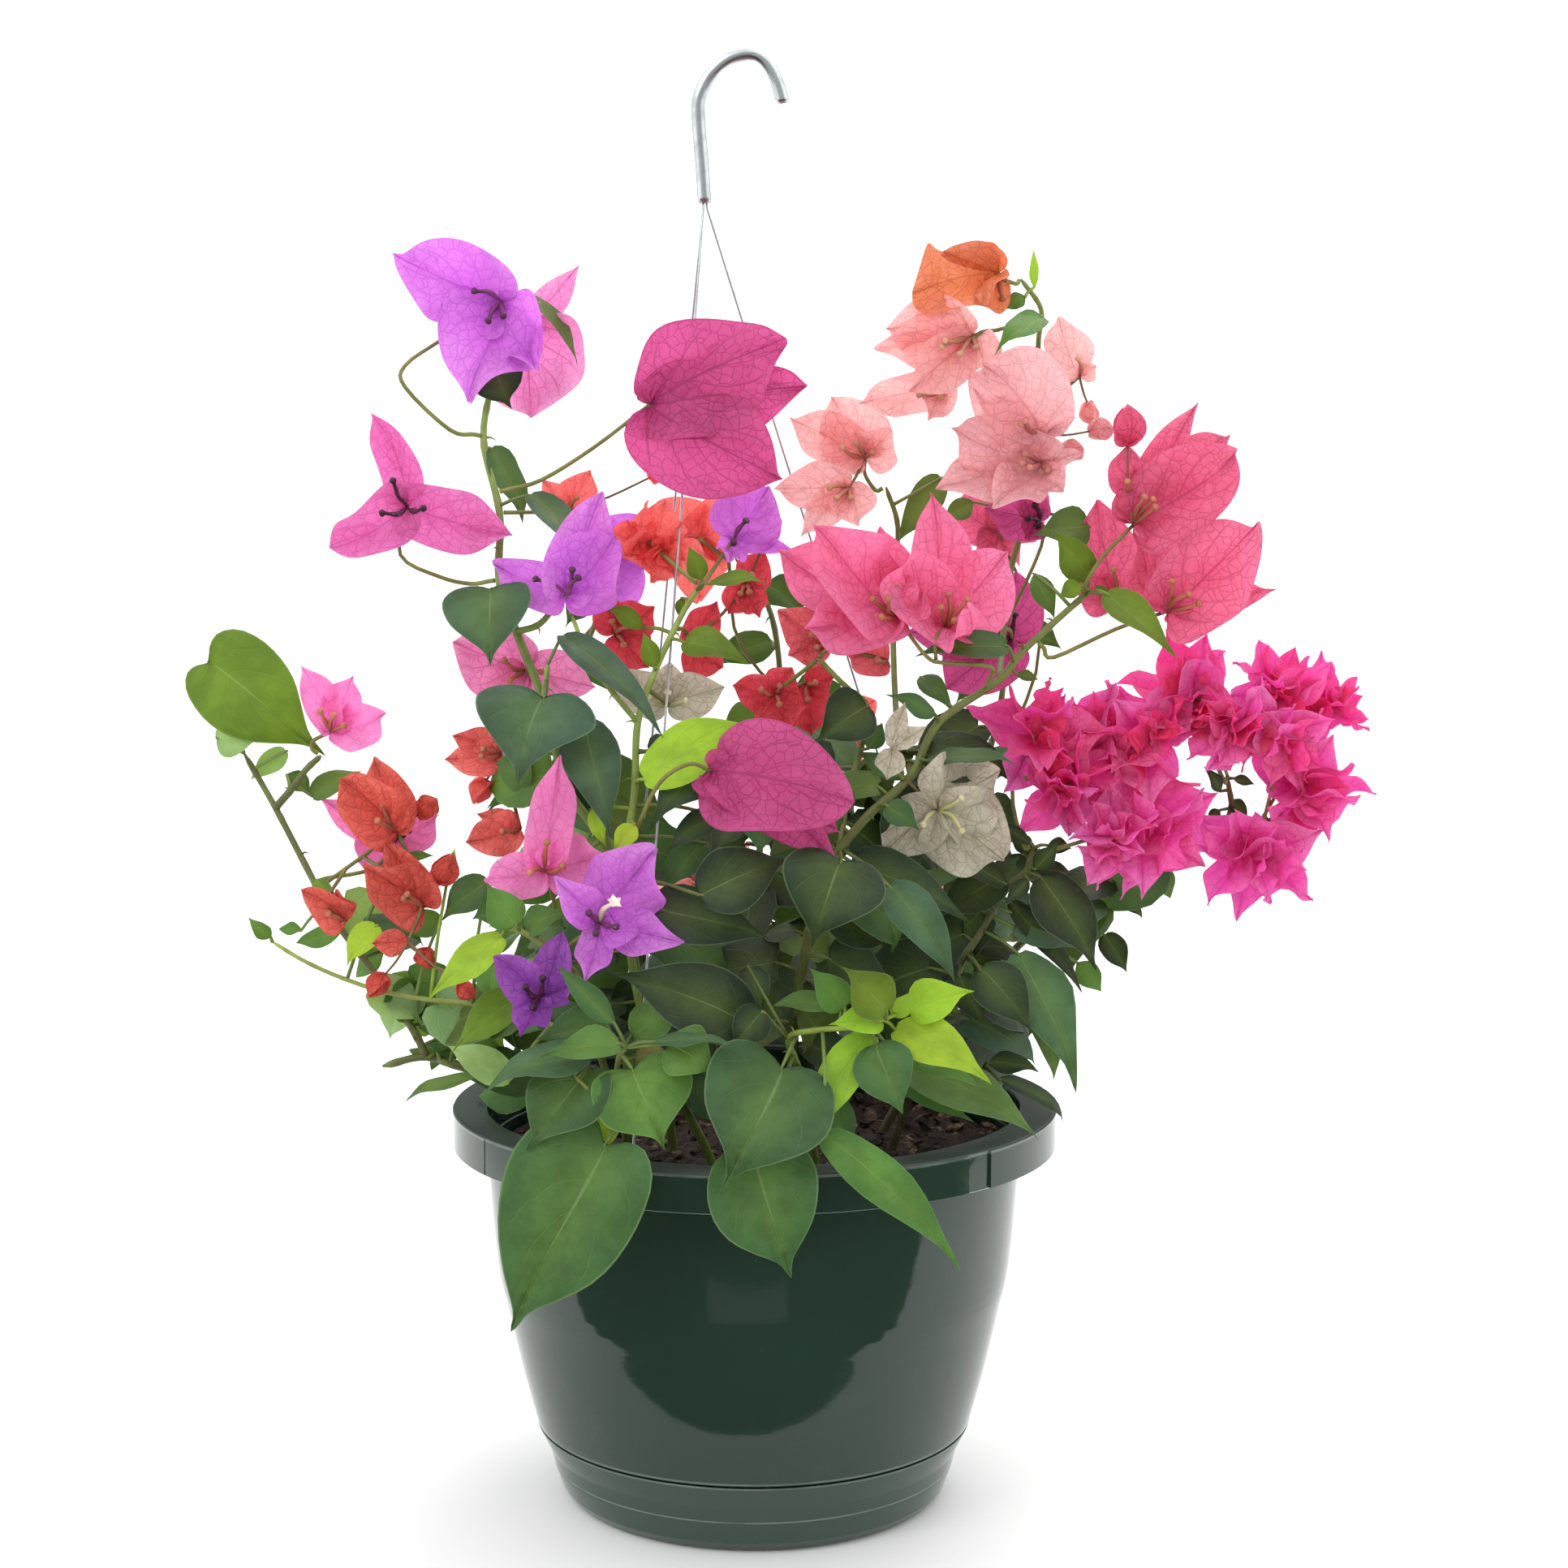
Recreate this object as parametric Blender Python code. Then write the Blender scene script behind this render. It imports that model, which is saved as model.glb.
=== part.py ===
"""Potted bougainvillea: a nursery pot with its clipped-on saucer, potting mix, a wire hanger with a
tube hook, leafy canes, and sprays of papery bracts in violet, pink, red, orange, salmon and cream.

Run with blender --background --python part.py. The tables below are millimetres, the scene is metres.
The origin is the middle of the saucer's foot, +Z is up, and the front is -Y.
"""
import math

import bmesh
import bpy
from mathutils import Vector
from mathutils.bvhtree import BVHTree

# Driving dimensions, in millimetres
MM = 0.001
GAP = 0.35
RIM_RADIUS = 127.0
RIM_TOP = 167.8
SKIRT_HEIGHT = 15.8
RIM_WALL = 1.6
FLANGE_THICKNESS = 3.0
WALL_TOP_RADIUS = 114.5
SEAM_Z = 31.5
SAUCER_RADIUS = 92.6
FOOT_RADIUS = 74.0
SAUCER_FLOOR = 2.0
POT_WALL = 2.2
RIM_CHAMFER = 1.2
POT_FOOT_RADIUS = 70.0
POT_HEEL = (76.5, 6.0)
SEAM_RADIUS = 85.6
WAIST_RADIUS = 105.0
WAIST_Z = 82.0
SHOULDER = (109.4, 98.0)
SEAM_LIP = 0.4
INNER_STEP_RISE = 6.0
RIM_INNER_STEP = 0.6
# How far the pot's inside lies off its outside at the seam, at its heel and at its foot: in, up
SEAM_INNER_TOP = 4.5
SEAM_INNER = (2.4, 3.0)
HEEL_INNER = (2.5, 1.5)
FOOT_INNER = 2.0
HOLE_BELOW_RIM = 9.8
HOLE_ABOVE_RIM = 7.2
DRAIN_CUT = (1.0, 6.0)
# The saucer's section above its foot, radius and height: outside going up, then inside coming down
SAUCER_OUTSIDE = ((79.0, 1.2), (82.5, 5.0), (87.3, 21.0))
SAUCER_INSIDE = ((85.4, 21.0), (80.6, 5.6), (77.0, SAUCER_FLOOR))
SAUCER_LIP = 1.8
SOIL_TOP = 148.0
SOIL_FOOT_RADIUS = 67.4
SOIL_HEEL = (73.2, 8.3)
SOIL_STEP_RADIUS = 82.5
SOIL_TOP_RADIUS = 109.6
SOIL_RINGS = (100.0, 72.0, 40.0, 0.0)
SOIL_INSET = 0.6
SOIL_ABOVE_SEAM = (3.5, 5.5)
SOIL_EDGE_DROP = 1.5
SOIL_TOP_BAND = 0.5
SOIL_HOLE_RISE = 20.0
SOIL_SWELL = 2.5
SOIL_WAVES = (0.21, 1.3, 0.17, 0.23, 0.8, 0.11)
POT_SEGMENTS = 32
HOLE_SIDES = 6
DRAIN_HOLES = 4
DRAIN_RADIUS = 5.0
DRAIN_CIRCLE = 52.0
POT_CREASE = math.radians(30)
PLANT_CREASE = math.radians(40)
WIRE_RADIUS = 0.8
WIRE_HOLE_RADIUS = 1.4
WIRE_CIRCLE = 120.5
WIRE_AZIMUTHS = {"wire_front": -112.5, "wire_right": 36.0, "wire_left": 120.0}
WIRE_SIDES = 6
# How far a wire runs off the hook's middle line, and its heights: its end inside the hook, under the
# hook's mouth, over the rim, under the flange and at its turn back up
WIRE_NEST = 1.15
WIRE_LEAN = -0.35
WIRE_END = 549.0
WIRE_MOUTH = 541.0
WIRE_OVER_RIM = 176.0
WIRE_UNDER_FLANGE = 163.0
WIRE_TURN = 160.8
WIRE_TURN_SHARES = (0.12, 0.88)
# The bent tail of a wire, round the rim from where the wire goes down: degrees, then shares of the
# wire circle with heights
TAIL_TURN = 7.0
WIRE_TAIL = ((1.0, WIRE_UNDER_FLANGE), (1.0, 170.0), (0.985, 172.6), (0.962, 172.0))
HOOK_RADIUS = 2.75
HOOK_BORE = 2.15
HOOK_SIDES = 8
ROOT_DEPTH = 14.0
ROOT_COLLAR = 3.0
ROOT_HOLE_MARGIN = 0.7
CANE_SIDES = 5
BRANCH_RADII = (1.15, 0.8)
STALK_RADIUS = 0.8
# The two lower corners of a three-sided stalk, as shares of its radius: how far down, how far aside
STALK_LOW = 0.5
STALK_SIDE = 0.87
BLADE_HALF_THICKNESS = 0.5
CLEARANCE = 0.45

# The front view's eye: a point that the tables give as seen from it in the plane of the pot's axis
EYE = Vector((0.0, -1135.0, 425.0))

# Half outlines, each point as a share of length and of width; a blade's base is 0, its tip 1
BROAD = ((-0.03, 0.26), (0.16, 0.47), (0.44, 0.47), (0.78, 0.18))
BROAD_RIB = (0.25, 0.62)
LEAF = ((0.05, 0.36), (0.36, 0.50), (0.74, 0.24))
NARROW_LEAF = ((0.24, 0.50), (0.66, 0.34))
BRACT = ((0.22, 0.41), (0.48, 0.48), (0.80, 0.22))
PETAL = ((0.38, 0.50), (0.76, 0.28))
BROAD_BRACT = ((0.16, 0.35), (0.36, 0.50), (0.60, 0.42), (0.84, 0.17))
SHORT_RIB = (0.42,)
# The shape for each width in millimetres: the narrowest it is for, its outline, its rib
LEAF_SHAPES = ((28.0, BROAD, BROAD_RIB), (11.5, LEAF, SHORT_RIB), (0.0, NARROW_LEAF, SHORT_RIB))
BRACT_SHAPES = ((30.0, BROAD_BRACT, BROAD_RIB), (13.5, BRACT, SHORT_RIB), (0.0, PETAL, SHORT_RIB))
LONG_STALK = 14.0
LONG_STALK_RISE = 0.1
GENTLE_TURN = 0.25
ROOT_SINK = 0.6
STALK_GAP = 0.3
STALK_LEAD = 3.0
STALK_RADII = (1.0, 0.9)
TWIG_RADII = (0.9, 0.85)
STALK_MARGIN = 0.4
STALK_SWAY_AT_POINTS = 0.6
HUB_RADIUS = 1.7
HEAD_HUB_RADIUS = 3.2
# How blades curve: bow lifts the rib's middle, cup lifts the sides, wave lifts the edge up and down
LEAF_FORM = (0.07, 0.16, 0.02)
BRACT_FORM = (-0.10, 0.20, 0.03)
HEAD_FORM = (-0.12, 0.22, 0.0)

# The hook's middle line, x and z, from the wires' end to the free end
HOOK_LINE = ((-20.1, 543.0), (-21.0, 557.0), (-22.6, 578.0), (-22.0, 586.0), (-17.4, 594.7),
             (-10.0, 600.8), (-1.6, 602.8), (4.6, 599.8), (9.2, 592.4), (12.1, 583.4))

# Canes: where each stands in the soil (x, y), its radius at root and tip, its line (x, z, y),
# and branches that leave the line at their first point
CANES = {
    "cane_left": (
        (-34, -14), 2.7, 1.5,
        [(-44, 215, -40), (-60, 273, -58), (-78, 301, -52), (-88, 338, -46), (-99, 367, -38),
         (-106, 388, -32), (-105.5, 416, -24), (-111.7, 444, -14), (-110, 462, -10), (-105, 477, -8)],
        [[(-99, 367, -38), (-89, 370.5, -42), (-80, 381.5, -36), (-70.6, 390, -34)],
         [(-88, 338, -46), (-87, 345, -52), (-86, 353.5, -56)]]),
    "cane_centre": (
        (-18, -32), 2.4, 1.3,
        [(-46, 200, -62), (-54, 262, -74), (-50, 300, -72), (-48.5, 329, -66), (-41, 351, -60),
         (-30, 374, -54), (-22, 387, -50)],
        [[(-48.5, 329, -66), (-60.3, 343.4, -62), (-69.2, 357.4, -54), (-76, 374, -46)]]),
    "cane_right": (
        (16, -22), 2.8, 1.5,
        [(18, 210, -50), (30, 262, -70), (36, 274.7, -72), (48.4, 290, -70), (66.3, 307, -62),
         (77.6, 329, -54), (102.7, 346.9, -44), (111, 357.3, -42), (125.5, 371, -38),
         (139.6, 383.6, -34)],
        [[(102.7, 346.9, -44), (104, 364, -14), (107, 392, -4), (118, 432, -4), (121, 446, -6),
          (118, 470, -4), (117.6, 487, -4), (118.5, 500, -4), (110, 512.3, -6)],
         [(66.3, 307, -62), (60, 330, -20), (58, 384, 12), (60, 410, 6), (55, 427, -2)],
         [(36, 274.7, -72), (40, 300, -60), (46, 322, -52), (47.5, 336, -50), (38.7, 344, -52),
          (27, 355.8, -52)]]),
    "cane_far_left": (
        (-66, -16), 3.0, 1.8,
        [(-86, 170, -26), (-100, 176, -34), (-118, 181, -38), (-139, 186.5, -40),
         (-157.6, 182.5, -41)],
        [[(-139, 186.5, -40), (-144, 197.4, -38), (-157.6, 218.6, -32), (-176.4, 244.7, -24),
          (-189, 269, -16), (-201, 293, -10), (-213.8, 316.2, -6)],
         [(-112, 179, -37), (-121.2, 181, -46), (-134.6, 185, -50)],
         [(-201, 293, -10), (-194, 301, -14), (-188, 309, -16), (-181.5, 315, -18)]]),
    "cane_low_left": (
        (-48, -40), 2.1, 1.2,
        [(-66, 190, -78), (-74, 220, -96), (-88, 233.6, -100), (-98, 240.5, -100), (-104, 242, -98)],
        [[(-66, 190, -78), (-96, 205, -64), (-118, 209, -50), (-138.7, 211.4, -48), (-157.5, 214.8, -46),
          (-176.6, 221.5, -42), (-191, 228.3, -38), (-203.4, 236, -34)]]),
    "shoot_left": (
        (-50, -66), 1.9, 1.1,
        [(-56, 166, -100), (-58, 178, -114), (-57, 187, -120), (-54, 190.5, -122)],
        [[(-56, 166, -100), (-52, 160, -118), (-57, 158, -127), (-68.6, 170.8, -129),
          (-76.3, 178.5, -127)]]),
    "shoot_right": (
        (26, -66), 2.0, 1.1,
        [(20, 178, -92), (14.8, 194.2, -106), (26, 198, -112), (43.2, 199.5, -116), (56, 203, -119)],
        []),
    "cane_low_right": (
        (58, -16), 2.6, 1.4,
        [(74, 190, -28), (87.7, 226.4, -42), (95.4, 239, -42), (106.8, 259, -42), (114.5, 266, -42),
         (118, 276, -42)],
        [[(74, 190, -28), (86, 176, -30), (98, 182, -30)]]),
    "cane_far_right": (
        (58, 28), 2.6, 1.3,
        [(84, 200, 34), (118, 240, 24), (156, 262, 8), (186, 276, -4), (200, 290, -8), (199, 306, -8)],
        [[(186, 276, -4), (208, 284, -8), (220, 289, -10), (231, 292, -10)]]),
    "cane_back_left": (
        (-50, 44), 2.5, 1.3,
        [(-66, 200, 70), (-80, 250, 90), (-84, 300, 94), (-78, 345, 84), (-66, 378, 68)], []),
    "cane_back": (
        (-6, 58), 2.6, 1.3,
        [(-4, 210, 84), (4, 270, 104), (12, 325, 104), (8, 370, 84), (-8, 396, 62)], []),
    "cane_back_right": (
        (40, 56), 2.5, 1.3,
        [(58, 200, 82), (84, 250, 98), (104, 296, 98), (112, 340, 80), (110, 384, 58)], []),
    "cane_back_low": (
        (-10, 82), 2.2, 1.2,
        [(-14, 176, 104), (-18, 196, 124), (-22, 216, 138)],
        [[(-14, 176, 104), (6, 190, 122), (34, 204, 132), (58, 222, 136)],
         [(-14, 176, 104), (-42, 190, 116), (-74, 206, 118), (-104, 226, 110)]]),
}

# Leaves by cane: base and tip (x, z, y), width, then the yaw and pitch that the upper face looks to
LEAVES = {
    "cane_left": [
        (-92, 505, 2, -71, 478, 4, 14, 60, 30), (-106, 476, -18, -101, 460.5, -26, 22, 0, -10),
        (-109, 443, -18, -93.6, 412, -14, 19, 50, 20), (-93, 423.7, -26, -64.5, 389.5, -50, 14, 20, 30),
        (-109.7, 384.6, -40, -110.8, 354.4, -58, 37, -10, 35),
        (-87.7, 339, -66, -99.3, 305.5, -84, 46, -5, 22), (-80, 365, -52, -37, 325, -84, 17, 20, 45),
        (-70, 329, -60, -60, 282, -84, 24, 10, 0), (-72, 322, -40, -68, 287, -44, 16, 0, 10),
        (-102, 315, -44, -94.5, 295, -48, 14, -20, 10)],
    "cane_centre": [
        (-21.4, 388.7, -52, -27, 402.5, -54, 9, 0, 10), (-18.5, 387, -52, 4.4, 389.5, -58, 9, 0, 50),
        (-30, 381, -48, -31, 372.6, -46, 5, 0, 10), (-41.3, 352, -64, -46, 366.6, -66, 8, 0, 10),
        (-29, 362.6, -62, -2.6, 355.8, -74, 15, 10, 30), (-46, 368.6, -50, -61.6, 378.4, -52, 8, 0, 30),
        (-46, 305, -84, 6.3, 329.6, -84, 25, 0, 35), (-12, 316, -78, -44.5, 285.2, -92, 22, 0, 40),
        (-17, 290, -80, -37, 276, -88, 13, 0, 40), (-20, 278, -86, -39, 256, -94, 14, 0, 30),
        (-66, 294, -80, -63, 277, -84, 8, -20, 10), (-50, 286, -84, -59, 274, -90, 9, 0, 10),
        (-22.5, 256, -112, 15.3, 272.6, -106, 27, -5, 25), (-39, 250, -120, 19, 236, -122, 29, 0, 25),
        (-6, 202, -108, -61.4, 223, -118, 28, -5, 25)],
    "cane_right": [
        (119, 497, -12, 100, 484.5, -20, 14, -20, 20), (115.6, 509, -4, 115.3, 524.5, -6, 4, 0, 0),
        (112, 505, -12, 104, 500, -16, 8, -20, 20),
        (78, 431, 12, 59.3, 403, 10, 14, 0, 0), (91, 421, 6, 78.5, 414, 8, 10, 0, 10),
        (106, 361, -62, 68.4, 359.6, -74, 15, 0, 40), (47.7, 336, -58, 26.5, 321.5, -68, 24, 0, 20),
        (75.6, 332.8, -62, 50.5, 344, -66, 12, 0, 40), (70, 348, -40, 87.6, 330, -42, 12, 10, 10),
        (139, 411, -20, 117.6, 408.5, -26, 19, 0, 20), (139.5, 389.5, -38, 124.6, 410, -44, 15, -10, 20),
        (147, 383, -40, 177.6, 357.7, -54, 16, 10, 35), (137, 386, -36, 127, 382, -34, 9, -20, 30),
        (147.5, 382, -28, 141, 388, -26, 5, 0, 20), (117, 391, -26, 126, 373, -30, 10, 0, 20),
        (110, 349, -40, 119.4, 347, -38, 5, 0, 20), (48, 318, -58, 54, 329, -56, 9, 0, 10),
        (62, 305, -66, 44.6, 317, -62, 9, -10, 30), (72, 313, -64, 111, 315, -70, 10, 10, 50),
        (29, 290, -68, 42, 281, -66, 13, 0, 10), (56, 294, -78, 70, 284, -82, 12, 0, 30),
        (37, 270.3, -116, 24.8, 234.8, -130, 38, 0, 20), (41, 270.3, -82, 92, 248, -92, 22, 0, 40),
        (57, 260, -92, 86, 219.5, -100, 20, 15, 15)],
    "cane_far_left": [
        (-228, 354, -10, -181, 315, -30, 40, -5, 10), (-225, 322.5, -14, -207.6, 322.2, -20, 14, 0, -10),
        (-196, 317, -4, -215.6, 301.6, -2, 13, -10, 0), (-196, 307, -6, -185.5, 299, -4, 9, 20, 20),
        (-185.7, 298, -12, -164.6, 310, -4, 12, 0, 30), (-159, 243, -44, -172.8, 226, -50, 13, -20, 20),
        (-174.5, 240, -18, -194.5, 235.5, -14, 9, -20, 10), (-191, 241, -10, -201, 241.5, -6, 6, -20, 30),
        (-143, 221, -26, -159.4, 186, -22, 24, -10, 5), (-156.5, 232, -16, -170, 220.5, -12, 10, -20, 20),
        (-116.5, 178.6, -70, -151.5, 169.6, -66, 7, 0, 50), (-124, 196, -50, -136.5, 193, -46, 5, -20, 50),
        (-186, 262, -26, -176, 255, -34, 6, 10, 30)],
    "cane_low_left": [
        (-106.7, 238.7, -102, -139, 212.8, -112, 15, -10, 30),
        (-100.3, 243, -104, -112.6, 261, -106, 15, -10, 15),
        (-97, 242, -106, -77, 248, -112, 13, 0, 40), (-97, 214, -88, -129, 189, -96, 17, -10, 35),
        (-110, 227, -72, -112, 210, -78, 14, -10, 20), (-106, 251, -70, -119, 246, -74, 13, -10, 20),
        (-112, 262, -40, -132.6, 246, -44, 16, -10, 25), (-103, 177, -84, -131, 192, -78, 14, -10, 20),
        (-151, 269, -28, -135, 273.6, -30, 7, 0, 50), (-129, 263, -34, -126, 276, -34, 5, 0, 10),
        (-132, 246, -20, -150, 241, -16, 12, -10, 10), (-204, 238, -36, -213, 246, -40, 7, -10, 20)],
    "shoot_left": [
        (-57, 192.3, -126, -91, 188, -134, 15, 0, 50), (-51.5, 196.2, -124, -28, 211.6, -128, 19, 0, 40),
        (-43, 193, -128, -7.5, 194.2, -134, 8, 0, 60), (-50.5, 186, -132, -35.2, 187, -138, 11, 0, 30),
        (-51.4, 181, -134, -38, 147, -148, 39, 5, 25), (-36, 192, -122, -16, 180.6, -126, 22, 10, 20),
        (-70, 182, -122, -98, 146, -138, 30, -10, 30), (-70, 186, -118, -115, 175.6, -124, 18, -5, 50),
        (-62, 200, -112, -92, 195, -116, 18, -5, 20), (-59, 201, -122, -82, 226.5, -122, 10, 10, 20),
        (-63, 149, -130, -108, 65, -128, 56, -15, 15), (-58, 162, -124, -70, 144, -128, 10, -10, 10)],
    "shoot_right": [
        (56.5, 206, -122, 38.7, 225.4, -124, 19, 0, 25), (58.7, 204, -124, 67.3, 214.8, -128, 8, 0, 10),
        (66, 206, -116, 92.4, 215.5, -122, 17, 0, 25), (54.5, 202.2, -126, 32.1, 201, -134, 13, 0, 35),
        (60, 198.3, -124, 101.5, 176.9, -138, 20, 5, 35), (58, 189, -112, 97.7, 174.4, -118, 10, 5, 40),
        (50.5, 196, -128, 17.2, 144, -146, 17, -5, 15), (52, 192.3, -116, 64, 162, -124, 24, 5, 10),
        (38.6, 208, -110, 24, 224.5, -114, 14, 0, 10), (37, 208, -118, 7.2, 209.4, -126, 10, 0, 45),
        (12, 182, -124, -13, 131, -148, 52, 0, 22), (0, 144, -134, 16.4, 89, -142, 42, 0, 12),
        (29, 152, -130, 90.5, 94, -140, 18, 15, 25), (4, 206, -112, -9, 191, -118, 16, 0, 10),
        (33, 170, -112, 42, 143, -122, 12, 10, 10), (-2, 225, -100, 4, 205, -104, 13, 0, 10)],
    "cane_low_right": [
        (105.7, 261, -46, 63.9, 279.5, -54, 13, 0, 45), (117, 278, -46, 97, 289, -52, 6, 0, 30),
        (117, 275.5, -44, 108, 282, -48, 8, 0, 10), (118.6, 267, -48, 128, 278, -52, 9, 0, 20),
        (124, 277, -42, 134, 276, -44, 8, 0, 30), (119, 266.8, -42, 135.6, 265.4, -44, 9, 0, 40),
        (116, 262.5, -46, 106, 252.5, -50, 7, 0, 20), (121.2, 263.4, -46, 146.4, 224.4, -56, 24, 5, 25),
        (111.8, 231, -54, 139.5, 172.8, -76, 24, 15, 20), (108.6, 253, -40, 142, 214.7, -42, 12, 20, 20),
        (118, 210, -56, 128.9, 175.5, -60, 12, 10, 10), (95.5, 224.4, -50, 118.4, 197.4, -58, 21, 5, 15),
        (87, 221.5, -54, 98.6, 199.3, -60, 14, 0, 15), (137, 227, -34, 147.9, 214.8, -36, 11, 10, 10),
        (99.5, 184, -46, 121.5, 181.4, -50, 11, 0, 45), (60, 184, -72, 122.8, 153, -84, 24, 5, 40),
        (104, 177, -40, 135.8, 160, -44, 10, 10, 45), (61, 180, -70, 93.6, 158, -78, 12, -10, 10)],
    "cane_far_right": [
        (149.7, 262.7, 4, 154.9, 252, 2, 8, 0, 10), (152, 259, 14, 164.7, 246, 14, 8, 10, 10),
        (148, 239, 14, 158.5, 222.7, 12, 12, 10, 0), (196, 300, -10, 190, 310, -12, 6, 0, 20),
        (201.5, 305.5, -8, 213, 302.5, -10, 6, 0, 30), (196, 292, -12, 189, 286, -14, 6, -10, 10),
        (200, 296, -8, 208, 289, -10, 7, 10, 20), (198, 309, -6, 193, 317, -6, 7, 0, 10),
        (201.4, 280, -14, 212, 259, -20, 6, 10, 20), (170, 268, 6, 176, 254, 10, 10, 0, 10)],
    "cane_back_left": [
        (-76, 220, 92, -104, 196, 106, 26, 200, 25), (-90, 248, 88, -122, 232, 84, 24, 250, 30),
        (-78, 262, 104, -66, 236, 122, 26, 170, 25), (-92, 290, 94, -122, 282, 96, 24, 240, 25),
        (-80, 306, 106, -70, 278, 122, 28, 175, 20), (-88, 330, 92, -116, 322, 96, 22, 220, 30),
        (-74, 350, 92, -56, 328, 106, 24, 165, 25), (-66, 382, 66, -84, 366, 78, 20, 210, 30)],
    "cane_back": [
        (-10, 230, 96, -40, 206, 112, 28, 200, 25), (4, 244, 104, 26, 220, 122, 28, 165, 25),
        (-2, 276, 110, -30, 256, 124, 26, 195, 25), (14, 292, 112, 40, 278, 122, 26, 160, 30),
        (8, 322, 114, -16, 306, 128, 26, 190, 25), (20, 338, 106, 44, 324, 112, 24, 150, 30),
        (8, 358, 98, -18, 346, 108, 22, 200, 30), (6, 384, 84, 24, 368, 96, 22, 165, 30)],
    "cane_back_right": [
        (66, 222, 90, 50, 198, 108, 26, 190, 25), (80, 238, 92, 108, 218, 100, 26, 150, 25),
        (88, 264, 100, 74, 242, 116, 24, 185, 25), (98, 278, 98, 128, 262, 98, 24, 130, 30),
        (104, 304, 100, 88, 286, 116, 24, 190, 25), (112, 322, 90, 138, 308, 94, 22, 130, 30),
        (110, 346, 82, 92, 332, 96, 22, 190, 25), (114, 366, 70, 138, 356, 76, 20, 140, 30)],
    "cane_back_low": [
        (-24, 216, 138, -30, 190, 152, 30, 185, 30), (-10, 190, 130, 6, 164, 144, 28, 170, 30),
        (20, 200, 130, 30, 172, 142, 30, 165, 30), (58, 222, 134, 84, 200, 136, 26, 140, 30),
        (44, 212, 136, 40, 236, 142, 22, 170, 20), (-40, 190, 120, -56, 164, 130, 28, 200, 30),
        (-74, 206, 120, -88, 178, 124, 28, 215, 25), (-104, 226, 108, -132, 208, 104, 26, 240, 25),
        (-90, 218, 112, -82, 242, 122, 22, 200, 20)],
}

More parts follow.
